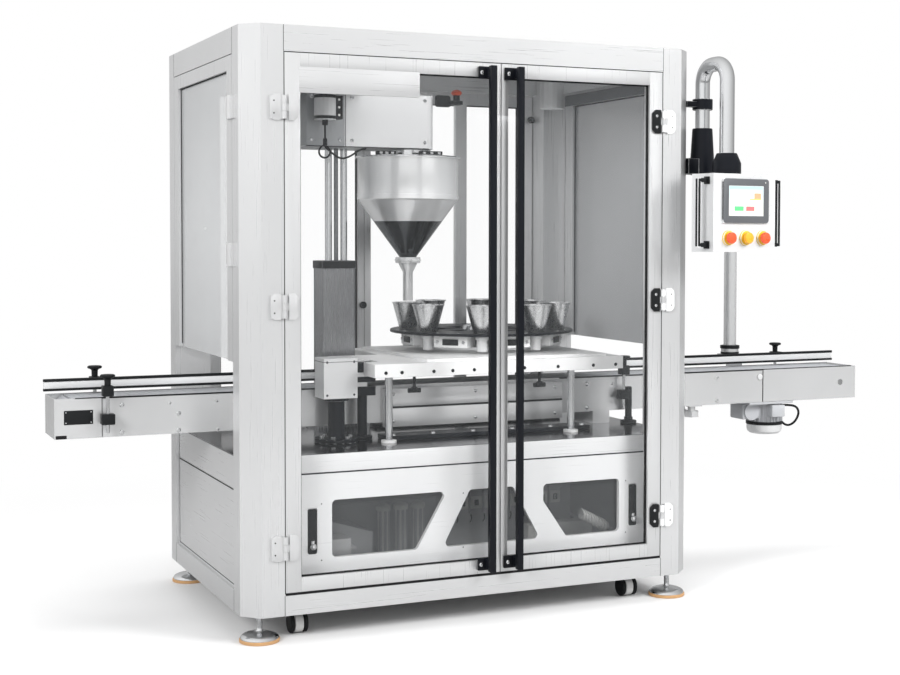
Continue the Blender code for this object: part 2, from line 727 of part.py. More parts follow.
def add_node(name, material, shells, cuts=(), origin=(0, 0, 0), fitted=()):
    """One solid sub-part: its shells united, the cuts taken out, the fitted shells united with what is
    left, and its origin on its joint."""
    node = helper_object(shells[:1])
    node.name = name
    combine(node, list(shells[1:]), "UNION")
    combine(node, list(cuts), "DIFFERENCE")
    combine(node, list(fitted), "UNION")
    mesh = node.data
    mesh.name = name
    mesh.transform(Matrix.Translation(-Vector(origin)))
    node.location = Vector(origin) - Vector((FOOTPRINT_MIDDLE_X, FOOTPRINT_MIDDLE_Y, 0))
    mesh.materials.clear()
    mesh.materials.append(material)
    mesh.shade_smooth()
    mesh.set_sharp_from_angle(angle=math.radians(SHARP_EDGE_DEGREES))


# Hinges on the doors and the posts
def hinge_spans(fixed):
    """Heights, from the middle of the hinge, that one leaf's knuckles take up."""
    half = HINGE_HEIGHT / 2
    end = HINGE_HEIGHT * HINGE_KNUCKLE_SHARE
    if fixed:
        return [(-half, end - half), (half - end, half)]
    return [(end - half + GAP, half - end - GAP)]


def hinge_leaf(axis_point, z, along, outward, fixed):
    """A leaf on a face, with its knuckles. along points from the pin over the face, outward off the face."""
    place = (*axis_point, z)
    spans = hinge_spans(fixed)
    half = HINGE_HEIGHT / 2
    near = HINGE_KNUCKLE_RADIUS + GAP
    root = HINGE_KNUCKLE_RADIUS - SINK
    plates = [(near, HINGE_LEAF, -half, half)]
    plates += [(root, near + SINK, low, high) for low, high in spans]
    shells = []
    for start, stop, low, high in plates:
        corners = []
        for reach in (start, stop):
            for depth in (-HINGE_AXIS_OFF - SINK, HINGE_SHEET - HINGE_AXIS_OFF):
                x = place[0] + along[0] * reach + outward[0] * depth
                y = place[1] + along[1] * reach + outward[1] * depth
                corners.append((x, y))
        xs, ys = zip(*corners)
        shells.append(box((min(xs), min(ys), z + low), (max(xs), max(ys), z + high)))
    if fixed:
        shells += [rod(place, HINGE_KNUCKLE_RADIUS, low, high) for low, high in spans]
        pin_low = spans[0][1] - SINK
        shells.append(rod(place, HINGE_PIN_RADIUS, pin_low, spans[1][0] + SINK))
        return shells
    bore = clear_bore(HINGE_PIN_RADIUS, SMALL_SIDES)
    low, high = spans[0]
    ring = [(bore, low), (HINGE_KNUCKLE_RADIUS, low), (HINGE_KNUCKLE_RADIUS, high), (bore, high)]
    shells.append(turned(ring, place, SMALL_SIDES))
    return shells


def front_axis(side):
    return (side * POST_INNER_X, -HALF_DEPTH - HINGE_AXIS_OFF)


def rear_axis(side):
    return (side * POST_INNER_X, HALF_DEPTH + HINGE_AXIS_OFF)


def side_axis(side):
    """The left side door hangs on the front post, the right one on the rear post."""
    return (side * (HALF_WIDTH + HINGE_AXIS_OFF), side * POST_INNER_Y)


# Frame
def add_posts(finishes):
    """Four upright tubes with a chamfered outer corner, each with the fixed halves of the door hinges."""
    for side, x_name in ((-1, "left"), (1, "right")):
        for end, y_name in ((-1, "front"), (1, "rear")):
            outer_x = side * HALF_WIDTH
            outer_y = end * HALF_DEPTH
            inner_x = side * POST_INNER_X
            inner_y = end * POST_INNER_Y
            outline = [
                (inner_x, inner_y),
                (outer_x, inner_y),
                (outer_x, outer_y - end * POST_CHAMFER),
                (outer_x - side * POST_CHAMFER, outer_y),
                (inner_x, outer_y),
            ]
            shells = [prism(outline, FRAME_BOTTOM, FRAME_TOP)]
            if end < 0:
                for z in FRONT_HINGES_Z:
                    shells += hinge_leaf(front_axis(side), z, (side, 0), (0, -1), True)
            else:
                for z in REAR_HINGES_Z:
                    shells += hinge_leaf(rear_axis(side), z, (side, 0), (0, 1), True)
            if side == end:
                for z in SIDE_HINGES_Z:
                    shells += hinge_leaf(side_axis(side), z, (0, end), (side, 0), True)
            if side > 0 and end < 0:
                shells += arm_holder_shells()
                add_node(f"post_{y_name}_{x_name}", finishes["steel"], shells, [arm_holder_bore()])
                continue
            add_node(f"post_{y_name}_{x_name}", finishes["steel"], shells)


def arm_holder_shells():
    """The tapered socket and the ring that carry the panel arm on the right front post."""
    centre = (ARM_X, ARM_FAR_Y, 0)
    socket = [
        (0, SOCKET_BOTTOM),
        (SOCKET_BOTTOM_RADIUS, SOCKET_BOTTOM),
        (SOCKET_BOTTOM_RADIUS, SOCKET_BOTTOM + SOCKET_BACK),
        (SOCKET_TOP_RADIUS, SOCKET_TOP),
        (0, SOCKET_TOP),
    ]
    half_back = SOCKET_BACK / 2
    shells = [turned(socket, centre, ROUND_SIDES)]
    shells.append(
        box(
            (HALF_WIDTH - SINK, ARM_FAR_Y - half_back, SOCKET_BOTTOM + SINK),
            (ARM_X, ARM_FAR_Y + half_back, SOCKET_BOTTOM + SOCKET_BACK - SINK),
        )
    )
    shells.append(rod(centre, ARM_RING_RADIUS, ARM_RING_BOTTOM, ARM_RING_TOP, ROUND_SIDES))
    half_ring = ARM_RING_BACK / 2
    ring_margin = (ARM_RING_TOP - ARM_RING_BOTTOM) / 4
    shells.append(
        box(
            (HALF_WIDTH - SINK, ARM_FAR_Y - half_ring, ARM_RING_BOTTOM + ring_margin),
            (ARM_X, ARM_FAR_Y + half_ring, ARM_RING_TOP - ring_margin),
        )
    )
    return shells


def arm_holder_bore():
    radius = clear_bore(ARM_PIPE_RADIUS, ROUND_SIDES)
    low = SOCKET_BOTTOM + SOCKET_FLOOR - GAP
    return rod((ARM_X, ARM_FAR_Y, 0), radius, low, ARM_RING_TOP + OVERRUN, ROUND_SIDES)


def beam_ring(low, high, sheet_low, sheet_high):
    """Four beams between the posts and the folded pan that ties them together."""
    reach_x = POST_INNER_X - GAP
    reach_y = POST_INNER_Y - GAP
    inner_x = HALF_WIDTH - BEAM_DEPTH
    inner_y = HALF_DEPTH - BEAM_DEPTH
    shells = []
    for side in (-1, 1):
        ys = sorted((side * HALF_DEPTH, side * inner_y))
        shells.append(box((-reach_x, ys[0], low), (reach_x, ys[1], high)))
        xs = sorted((side * HALF_WIDTH, side * inner_x))
        shells.append(box((xs[0], -reach_y, low), (xs[1], reach_y, high)))
    edge_x = inner_x + SINK
    edge_y = inner_y + SINK
    pan = [(reach_x, edge_y), (reach_x, reach_y), (edge_x, reach_y)]
    outline = []
    for sign_x, sign_y in ((1, 1), (1, -1), (-1, -1), (-1, 1)):
        corner = [(sign_x * x, sign_y * y) for x, y in pan]
        outline += corner if sign_x == sign_y else list(reversed(corner))
    shells.append(prism(outline, sheet_low, sheet_high))
    return shells


def add_top_frame(finishes):
    roof_top = FRAME_TOP - ROOF_DROP
    shells = beam_ring(TOP_BEAM_BOTTOM, FRAME_TOP, roof_top - PAN_SHEET, roof_top)
    lamp_bottom = roof_top - PAN_SHEET - LAMP_HEIGHT
    shells.append(rod((*LAMP_PLACE, 0), LAMP_RADIUS, lamp_bottom, roof_top - SINK, ROUND_SIDES))
    add_node("top_frame", finishes["steel"], shells)


def caster_places():
    return [(side * CASTER_X, end * CASTER_Y) for end in (-1, 1) for side in (-1, 1)]


def add_base_frame(finishes):
    """Base beams with the floor pan, the sill of the cabinet cover and the caster plates."""
    floor = FRAME_BOTTOM
    shells = beam_ring(floor, BASE_TOP, floor + SINK, floor + PAN_SHEET)
    sill_front = TABLE_FRONT_Y
    shells.append(
        box((-COVER_HALF_WIDTH, sill_front, floor + SINK), (COVER_HALF_WIDTH, sill_front + SILL_DEPTH, SILL_TOP))
    )
    half = CASTER_PLATE / 2
    plate_bottom = floor - CASTER_PLATE_SHEET
    race_bottom = plate_bottom - CASTER_PLATE_SHEET
    for x, y in caster_places():
        shells.append(box((x - half, y - half, plate_bottom), (x + half, y + half, floor + SINK + SINK)))
        shells.append(rod((x, y, 0), CASTER_RACE_RADIUS, race_bottom, floor, ROUND_SIDES))
    add_node("base_frame", finishes["steel"], shells)


def corner_name(x, y):
    return f"{'front' if y < 0 else 'rear'}_{'left' if x < 0 else 'right'}"


def add_feet(finishes):
    dome_bottom = FOOT_PAD_HEIGHT
    dome_top = dome_bottom + FOOT_DOME_HEIGHT
    stem_top = FRAME_BOTTOM - GAP
    nut_bottom = stem_top - FOOT_NUT_HEIGHT
    rim = FOOT_PAD_RADIUS - FOOT_DOME_TOP_RADIUS / 4
    waist = (FOOT_PAD_RADIUS + FOOT_DOME_TOP_RADIUS) / 2
    profile = [
        (0, 0),
        (FOOT_PAD_RADIUS, 0),
        (FOOT_PAD_RADIUS, dome_bottom),
        (rim, dome_bottom),
        (waist, (dome_bottom + dome_top) / 2),
        (FOOT_DOME_TOP_RADIUS, dome_top),
        (FOOT_STEM_RADIUS, dome_top + FOOT_STEM_RADIUS),
        (FOOT_STEM_RADIUS, stem_top),
        (0, stem_top),
    ]
    for side in (-1, 1):
        for end in (-1, 1):
            place = (side * (HALF_WIDTH - POST / 2), end * (HALF_DEPTH - POST / 2), 0)
            shells = [turned(profile, place, ROUND_SIDES)]
            shells.append(rod(place, FOOT_NUT_RADIUS, nut_bottom, stem_top - SINK, HEX_SIDES))
            add_node(f"foot_{corner_name(side, end)}", finishes["chrome"], shells)


def add_casters(finishes):
    """Swivel forks on the caster plates, each with a wheel on its axle. They trail to the rear."""
    crown_top = FRAME_BOTTOM - CASTER_PLATE_SHEET - CASTER_PLATE_SHEET - GAP
    crown_bottom = crown_top - CASTER_SHEET
    axle_z = CASTER_LIFT + CASTER_WHEEL_RADIUS
    inner = CASTER_WHEEL_WIDTH / 2 + CASTER_SIDE_GAP
    outer = inner + CASTER_SHEET
    for x, y in caster_places():
        axle_y = y + CASTER_TRAIL
        name = corner_name(x, y)
        lug = CASTER_AXLE_RADIUS + CASTER_AXLE_RADIUS
        cheek = [
            (y - CASTER_RACE_RADIUS, crown_top - SINK),
            (axle_y - lug, axle_z - lug),
            (axle_y + lug, axle_z - lug),
            (y + CASTER_RACE_RADIUS + CASTER_TRAIL / 2, crown_top - SINK),
        ]
        shells = [rod((x, y, 0), CASTER_RACE_RADIUS, crown_bottom, crown_top, ROUND_SIDES)]
        crown_front = y - CASTER_RACE_RADIUS
        crown_back = y + CASTER_RACE_RADIUS + CASTER_TRAIL / 2
        shells.append(box((x - outer, crown_front, crown_bottom), (x + outer, crown_back, crown_top - SINK)))
        for start, stop in ((-outer, -inner), (inner, outer)):
            shells.append(prism(cheek, x + start, x + stop, "X"))
        centre = (0, axle_y, axle_z)
        shells.append(rod(centre, CASTER_AXLE_RADIUS, x - inner - SINK, x + inner + SINK, SMALL_SIDES, "X"))
        add_node(f"caster_fork_{name}", finishes["black_paint"], shells, origin=(x, y, crown_top))
        bore = clear_bore(CASTER_AXLE_RADIUS, SMALL_SIDES)
        half = CASTER_WHEEL_WIDTH / 2
        flat = CASTER_WHEEL_RADIUS - CASTER_TREAD_ROUND
        wheel = [
            (bore, x - half),
            (flat, x - half),
            (CASTER_WHEEL_RADIUS, x - half + CASTER_TREAD_ROUND),
            (CASTER_WHEEL_RADIUS, x + half - CASTER_TREAD_ROUND),
            (flat, x + half),
            (bore, x + half),
        ]
        tyre = turned(wheel, centre, FINE_SIDES // 2 + FINE_SIDES // 4, "X")
        add_node(f"caster_wheel_{name}", finishes["rubber"], [tyre], origin=(x, axle_y, axle_z))


# Glazed doors
def door_frame(low, high, plane, sheet, left_stile, right_stile, top_rail, bottom_rail, axis):
    """The frame of a door in the plane that an axis is square to, and the cut for its pane. With no
    bottom rail the frame is open below and the pane ends flush with it."""
    frame = prism(rectangle(low[0], low[1], high[0], high[1]), plane, plane + sheet, axis)
    hole_bottom = low[1] + bottom_rail if bottom_rail else low[1] - OVERRUN
    hole = rectangle(low[0] + left_stile, hole_bottom, high[0] - right_stile, high[1] - top_rail)
    cut = prism(hole, plane - OVERRUN, plane + sheet + OVERRUN, axis)
    middle = plane + (sheet - GLASS_SHEET) / 2
    rebate_hole = rectangle(
        hole[0][0] - GLASS_REBATE,
        hole[0][1] - GLASS_REBATE,
        hole[2][0] + GLASS_REBATE,
        hole[2][1] + GLASS_REBATE,
    )
    rebate = prism(rebate_hole, middle - GAP, middle + GLASS_SHEET + GAP, axis)
    edge = GLASS_REBATE - GAP
    pane_bottom = hole_bottom - edge if bottom_rail else low[1]
    pane = prism(
        rectangle(hole[0][0] - edge, pane_bottom, hole[2][0] + edge, hole[2][1] + edge),
        middle,
        middle + GLASS_SHEET,
        axis,
    )
    return frame, [cut, rebate], pane


def add_door(name, finishes, frame_parts, leaves, origin, extra=()):
    frame, cuts, pane = frame_parts
    add_node(name, finishes["steel"], [frame, *extra], cuts, origin, leaves)
    add_node(f"{name}_glass", finishes["glass"], [pane], origin=origin)


def add_front_doors(finishes):
    low_z = BASE_TOP + DOOR_REVEAL
    high_z = TOP_BEAM_BOTTOM - DOOR_REVEAL
    edge = POST_INNER_X - DOOR_REVEAL
    half_reveal = DOOR_REVEAL / 2
    doors = (
        ("front_door_left", -1, -edge, FRONT_SPLIT_X - half_reveal),
        ("front_door_right", 1, FRONT_SPLIT_X + half_reveal, edge),
    )
    for name, side, low_x, high_x in doors:
        stiles = (DOOR_STILE, FRONT_MEETING_STILE)[:: -side]
        frame_parts = door_frame(
            (low_x, low_z), (high_x, high_z), -HALF_DEPTH, DOOR_SHEET, *stiles, DOOR_TOP_RAIL, DOOR_BOTTOM_RAIL, "Y"
        )
        leaves = []
        for z in FRONT_HINGES_Z:
            leaves += hinge_leaf(front_axis(side), z, (-side, 0), (0, -1), False)
        origin = (*front_axis(side), low_z)
        add_door(name, finishes, frame_parts, leaves, origin)
        meeting = high_x if side < 0 else low_x
        add_pull_bar(f"{name}_pull", finishes, side, meeting, low_z, high_z, origin)


def add_pull_bar(name, finishes, side, meeting, low_z, high_z, origin):
    """A full-height square bar that stands off the meeting stile on a foot at each end."""
    near = meeting + side * PULL_INSET
    far = near + side * PULL_WIDTH
    bar_x = sorted((near, far))
    face = -HALF_DEPTH - GAP
    bar_back = face - PULL_STAND_OFF
    bar_front = bar_back - PULL_DEPTH
    bottom = low_z + PULL_END_MARGIN
    top = high_z - PULL_END_MARGIN
    shells = [box((bar_x[0], bar_front, bottom), (bar_x[1], bar_back, top))]
    foot_x = sorted((near - side * PULL_INSET / 2, near - side * PULL_INSET / 2 + side * PULL_FOOT_WIDTH))
    for low, high in ((bottom, bottom + PULL_FOOT_HEIGHT), (top - PULL_FOOT_HEIGHT, top)):
        shells.append(box((foot_x[0], face - PULL_FOOT_SHEET, low), (foot_x[1], face, high)))
        inset = PULL_FOOT_SHEET / 2
        shells.append(
            box(
                (bar_x[0] + SINK, bar_back - SINK, low + inset),
                (bar_x[1] - SINK, face - PULL_FOOT_SHEET + SINK, high - inset),
            )
        )
    add_node(name, finishes["black_paint"], shells, origin=origin)


def add_side_doors(finishes):
    low = (-POST_INNER_Y + DOOR_REVEAL, SIDE_DOOR_BOTTOM)
    high = (POST_INNER_Y - DOOR_REVEAL, TOP_BEAM_BOTTOM - DOOR_REVEAL)
    for side, name in ((-1, "side_door_left"), (1, "side_door_right")):
        plane = -HALF_WIDTH if side < 0 else HALF_WIDTH - DOOR_SHEET
        frame_parts = door_frame(
            low, high, plane, DOOR_SHEET, SIDE_DOOR_STILE, SIDE_DOOR_STILE, DOOR_TOP_RAIL, 0, "X"
        )
        leaves = []
        for z in SIDE_HINGES_Z:
            leaves += hinge_leaf(side_axis(side), z, (0, -side), (side, 0), False)
        add_door(name, finishes, frame_parts, leaves, (*side_axis(side), SIDE_DOOR_BOTTOM))


def add_rear_doors(finishes):
    low_z = TABLE_TOP + DOOR_REVEAL
    high_z = TOP_BEAM_BOTTOM - DOOR_REVEAL
    edge = POST_INNER_X - DOOR_REVEAL
    half_reveal = DOOR_REVEAL / 2
    plane = HALF_DEPTH - DOOR_SHEET
    doors = (
        ("rear_door_left", -1, -edge, REAR_SPLIT_X - half_reveal),
        ("rear_door_right", 1, REAR_SPLIT_X + half_reveal, edge),
    )
    pane_face = plane + (DOOR_SHEET - GLASS_SHEET) / 2
    for name, side, low_x, high_x in doors:
        stiles = (SIDE_DOOR_STILE, REAR_MEETING_STILE)[:: -side]
        frame_parts = door_frame(
            (low_x, low_z), (high_x, high_z), plane, DOOR_SHEET, *stiles, DOOR_TOP_RAIL, DOOR_BOTTOM_RAIL, "Y"
        )
        meeting, hinge_side = (high_x, low_x) if side < 0 else (low_x, high_x)
        middle = meeting + (hinge_side - meeting) * REAR_BAR_SHARE
        half_bar = REAR_MIDDLE_BAR / 2
        bar = box(
            (middle - half_bar, plane - half_bar, low_z + SINK),
            (middle + half_bar, pane_face - SINK, high_z - SINK),
        )
        leaves = []
        for z in REAR_HINGES_Z:
            leaves += hinge_leaf(rear_axis(side), z, (-side, 0), (0, 1), False)
        add_door(name, finishes, frame_parts, leaves, (*rear_axis(side), low_z), [bar])


# Table and cabinet
def add_table(finishes):
    side_x = HALF_WIDTH - PANEL_SETBACK
    rear_y = HALF_DEPTH - PANEL_SETBACK
    post_x = POST_INNER_X - GAP
    post_y = POST_INNER_Y - GAP
    half = [
        (TABLE_HALF_WIDTH, TABLE_FRONT_Y),
        (TABLE_HALF_WIDTH, -post_y),
        (side_x, -post_y),
        (side_x, post_y),
        (post_x, post_y),
        (post_x, rear_y),
    ]
    shells = [prism(half + mirrored(half), TABLE_UNDERSIDE, TABLE_TOP)]
    shells.append(
        box(
            (-TABLE_HALF_WIDTH, TABLE_FRONT_Y, TABLE_TOP - TABLE_BAND),
            (TABLE_HALF_WIDTH, TABLE_FRONT_Y + TABLE_FLANGE, TABLE_TOP - SINK),
        )
    )
    add_node("table_top", finishes["chrome"], shells)


def add_lower_panels(finishes):
    low = BASE_TOP + GAP
    high = TABLE_UNDERSIDE - GAP
    post_y = POST_INNER_Y - GAP
    post_x = POST_INNER_X - GAP
    groove = PANEL_SEAM / 2
    for side, name in ((-1, "side_panel_left"), (1, "side_panel_right")):
        outer = side * (HALF_WIDTH - PANEL_SETBACK)
        xs = sorted((outer, outer - side * PANEL_SHEET))
        panel = box((xs[0], -post_y, low), (xs[1], post_y, high))
        cut_xs = sorted((outer - side * groove, outer + side * OVERRUN))
        cut = box(
            (cut_xs[0], -post_y - OVERRUN, PANEL_SEAM_Z - groove), (cut_xs[1], post_y + OVERRUN, PANEL_SEAM_Z + groove)
        )
        add_node(name, finishes["steel"], [panel], [cut])
    outer_y = HALF_DEPTH - PANEL_SETBACK
    panel = box((-post_x, outer_y - PANEL_SHEET, low), (post_x, outer_y, high))
    cut = box(
        (-post_x - OVERRUN, outer_y - groove, PANEL_SEAM_Z - groove),
        (post_x + OVERRUN, outer_y + OVERRUN, PANEL_SEAM_Z + groove),
    )
    add_node("rear_panel", finishes["steel"], [panel], [cut])


def window_outlines():
    left, left_top, left_bottom = WINDOW_LEFT_X
    top_left, top_right, bottom_right, bottom_left = WINDOW_MIDDLE_X
    right_edge, right, right_bottom = WINDOW_RIGHT_X
    low, high = WINDOW_BOTTOM, WINDOW_TOP
    return (
        [(left, low), (left_bottom, low), (left_top, high), (left, high)],
        [(bottom_left, low), (bottom_right, low), (top_right, high), (top_left, high)],
        [(right_bottom, low), (right, low), (right, high), (right_edge, high), (right_edge, WINDOW_RIGHT_NOTCH_Z)],
    )


def add_cabinet_cover(finishes):
    """The folded front cover with three window cut-outs and two recessed latches."""
    front = TABLE_FRONT_Y
    back = front + COVER_SHEET
    low = SILL_TOP + GAP
    high = TABLE_TOP - TABLE_BAND - COVER_REVEAL
    cover = box((-COVER_HALF_WIDTH, front, low), (COVER_HALF_WIDTH, back, high))
    cuts = []
    for outline in window_outlines():
        cuts.append(prism(rounded(outline, WINDOW_CORNER), front - OVERRUN, back + OVERRUN, "Y"))
    buttons = []
    floor = front + LATCH_DEPTH
    for x in (LATCH_LEFT_X, LATCH_RIGHT_X):
        half = LATCH_WIDTH / 2
        outline = rounded(rectangle(x - half, LATCH_BOTTOM, x + half, LATCH_TOP), LATCH_CORNER)
        cuts.append(prism(outline, front - OVERRUN, floor, "Y"))
        centre = (x, 0, LATCH_BOTTOM + LATCH_BUTTON_RISE)
        buttons.append(rod(centre, LATCH_BUTTON_RADIUS, front + SINK, floor + SINK, SMALL_SIDES, "Y"))
    add_node("cabinet_cover", finishes["steel"], [cover], cuts, fitted=buttons)
    margin = WINDOW_PANE_MARGIN
    pane = box(
        (WINDOW_LEFT_X[0] - margin, back + GAP, WINDOW_BOTTOM - margin),
        (WINDOW_RIGHT_X[1] + margin, back + GAP + WINDOW_PANE, WINDOW_TOP + margin),
    )
    add_node("cabinet_window", finishes["smoke"], [pane])


def add_control_rack(finishes):
    """The plate of electrics and air cylinders that stands on the floor pan behind the windows."""
    floor = FRAME_BOTTOM + PAN_SHEET + GAP
    back = RACK_Y + RACK_SHEET
    shells = [box((RACK_LEFT, RACK_Y, floor), (RACK_RIGHT, back, RACK_TOP))]
    shells.append(box((RACK_LEFT, RACK_Y - RACK_FOOT, floor), (RACK_RIGHT, back - SINK, floor + RACK_SHEET)))
    rail_face = RACK_Y - RAIL_DEPTH
    for z in RAIL_Z:
        rail_high = (RACK_RIGHT - RAIL_HEIGHT, RACK_Y + SINK, z + RAIL_HEIGHT)
        shells.append(box((RACK_LEFT + RAIL_HEIGHT, rail_face, z), rail_high))
        middle = z + RAIL_HEIGHT / 2
        for index in range(MODULE_COUNT):
            x = MODULE_START_X + index * MODULE_PITCH
            half = MODULE_HEIGHT / 2
            module_high = (x + MODULE_WIDTH, rail_face + SINK, middle + half)
            shells.append(box((x, rail_face - MODULE_DEPTH, middle - half), module_high))
    for index in range(CYLINDER_COUNT):
        centre = (CYLINDER_X + index * CYLINDER_PITCH, RACK_Y - CYLINDER_FRONT, 0)
        shells.append(rod(centre, CYLINDER_RADIUS, floor + SINK, floor + CYLINDER_HEIGHT))
    trough = [
        (TROUGH_LEFT, floor + SINK),
        (TROUGH_RIGHT, floor + SINK),
        (TROUGH_RIGHT, TROUGH_TOP),
        (TROUGH_LEFT, TROUGH_LIP),
    ]
    shells.append(prism(trough, RACK_Y - TROUGH_DEPTH, RACK_Y + SINK, "Y"))
    add_node("control_rack", finishes["parts"], shells)


# Conveyor
def add_conveyor_body(finishes):
    """Two side plates tied by the chain bed, with end plates, legs, a front shroud and cover plates."""
    front, back = CONVEYOR_FRONT, CONVEYOR_BACK
    low, high = CONVEYOR_BOTTOM, CONVEYOR_TOP
    sheet = CONVEYOR_SHEET
    shells = []
    for y in (front, back - sheet):
        shells.append(box((CONVEYOR_LEFT, y, low), (CONVEYOR_RIGHT, y + sheet, high)))
    inner_front = front + sheet - SINK
    inner_back = back - sheet + SINK
    bed_top = CHAIN_TOP - CHAIN_SHEET - GAP
    bed_right = CHAIN_RIGHT_X - CHAIN_RADIUS
    shells.append(box((CHAIN_LEFT_X, inner_front, bed_top - BED_SHEET), (bed_right, inner_back, bed_top)))
    for start, stop in ((CONVEYOR_LEFT, CONVEYOR_LEFT + sheet), (CONVEYOR_RIGHT - sheet, CONVEYOR_RIGHT)):
        shells.append(box((start, inner_front, low + SINK), (stop, inner_back, high - SINK)))
    covers = (
        (CONVEYOR_LEFT, CONVEYOR_LEFT + CONVEYOR_LEFT_COVER),
        (CONVEYOR_RIGHT - CONVEYOR_RIGHT_COVER, CONVEYOR_RIGHT),
    )
    for start, stop in covers:
        face = front - CONVEYOR_COVER_SHEET
        shells.append(box((start + SINK, face, low + SINK), (stop - SINK, front + SINK, high - CONVEYOR_COVER_SHEET)))
    for x in CONVEYOR_LEG_X:
        half = CONVEYOR_LEG_WIDTH / 2
        shells.append(box((x - half, front + SINK, TABLE_TOP + GAP), (x + half, back - SINK, low + SINK)))
    drum = CHAIN_RADIUS - GAP
    shells.append(rod((CHAIN_LEFT_X, 0, CHAIN_Z), drum, inner_front, inner_back, FINE_SIDES, "Y"))
    shells.append(
        box((SHROUD_LEFT, front - SHROUD_SHEET, SHROUD_BOTTOM), (SHROUD_RIGHT, front + SINK, SHROUD_TOP))
    )
    knob_y = front + LOBE_KNOB_RADIUS
    knob_top = low + SINK
    shells.append(
        box(
            (LOBE_KNOB_X - LOBE_KNOB_RADIUS, front + SINK, low - sheet),
            (LOBE_KNOB_X + LOBE_KNOB_RADIUS, knob_y + LOBE_KNOB_RADIUS, knob_top),
        )
    )
    shells += outfeed_mast_shells()
    knob = (LOBE_KNOB_X, knob_y, 0)
    shells.append(rod(knob, LOBE_KNOB_RADIUS / 2, low - LOBE_KNOB_DROP, low - SINK))
    shells.append(rod(knob, LOBE_KNOB_RADIUS, low - LOBE_KNOB_DROP, low - LOBE_KNOB_DROP / 2, HEX_SIDES))
    groove = SHROUD_GROOVE / 2
    bore = clear_bore(SHAFT_RADIUS, SMALL_SIDES)
    cuts = [
        box(
            (SHROUD_LEFT - OVERRUN, front - SHROUD_SHEET - OVERRUN, SHROUD_GROOVE_Z - groove),
            (SHROUD_RIGHT - SHROUD_SHEET, front - SHROUD_SHEET + SHROUD_GROOVE, SHROUD_GROOVE_Z + groove),
        ),
        rod((CHAIN_RIGHT_X, 0, CHAIN_Z), bore, front - OVERRUN, back + OVERRUN, SMALL_SIDES, "Y"),
    ]
    add_node("conveyor_body", finishes["steel"], shells, cuts)


def loop_outline(radius):
    """The outline of the chain loop, round both end drums."""
    steps = FINE_SIDES // 2
    points = []
    for step in range(steps + 1):
        turn = math.pi / 2 - math.pi * step / steps
        points.append((CHAIN_RIGHT_X + radius * math.cos(turn), CHAIN_Z + radius * math.sin(turn)))
    for step in range(steps + 1):
        turn = -math.pi / 2 - math.pi * step / steps
        points.append((CHAIN_LEFT_X + radius * math.cos(turn), CHAIN_Z + radius * math.sin(turn)))
    return points


def add_conveyor_drive(finishes):
    half = CHAIN_WIDTH / 2
    low = CONVEYOR_MIDDLE_Y - half
    high = CONVEYOR_MIDDLE_Y + half
    chain = prism(loop_outline(CHAIN_RADIUS + CHAIN_SHEET), low, high, "Y")
    hollow = prism(loop_outline(CHAIN_RADIUS), low - OVERRUN, high + OVERRUN, "Y")
    add_node("conveyor_chain", finishes["chain"], [chain], [hollow])
    outer = (CHAIN_RADIUS - GAP) * math.cos(math.pi / FINE_SIDES)
    outline = []
    for index in range(SPROCKET_TEETH):
        tips = [(share, outer) for share in SPROCKET_TIP_SHARES]
        roots = [(share, outer - SPROCKET_TOOTH) for share in SPROCKET_ROOT_SHARES]
        for offset_share, radius in tips + roots:
            turn = math.tau * (index + offset_share) / SPROCKET_TEETH
            outline.append((CHAIN_RIGHT_X + radius * math.cos(turn), CHAIN_Z + radius * math.sin(turn)))
    half = SPROCKET_WIDTH / 2
    centre = (CHAIN_RIGHT_X, 0, CHAIN_Z)
    shells = [prism(outline, CONVEYOR_MIDDLE_Y - half, CONVEYOR_MIDDLE_Y + half, "Y")]
    shells.append(rod(centre, SHAFT_RADIUS, CONVEYOR_FRONT, CONVEYOR_BACK, SMALL_SIDES, "Y"))
    add_node("drive_sprocket", finishes["chrome"], shells, origin=(CHAIN_RIGHT_X, CONVEYOR_MIDDLE_Y, CHAIN_Z))


def knob_shells(x, y, base):
    """A round hand knob on its stem, with its base at the given height."""
    top = base + KNOB_HEIGHT
    profile = [
        (0, base - SINK),
        (KNOB_STEM_RADIUS, base - SINK),
        (KNOB_STEM_RADIUS, top - KNOB_RIM),
        (KNOB_RADIUS, top - KNOB_RIM / 2),
        (KNOB_RADIUS, top - KNOB_RIM / 4),
        (0, top),
    ]
    return turned(profile, (x, y, 0), ROUND_SIDES)


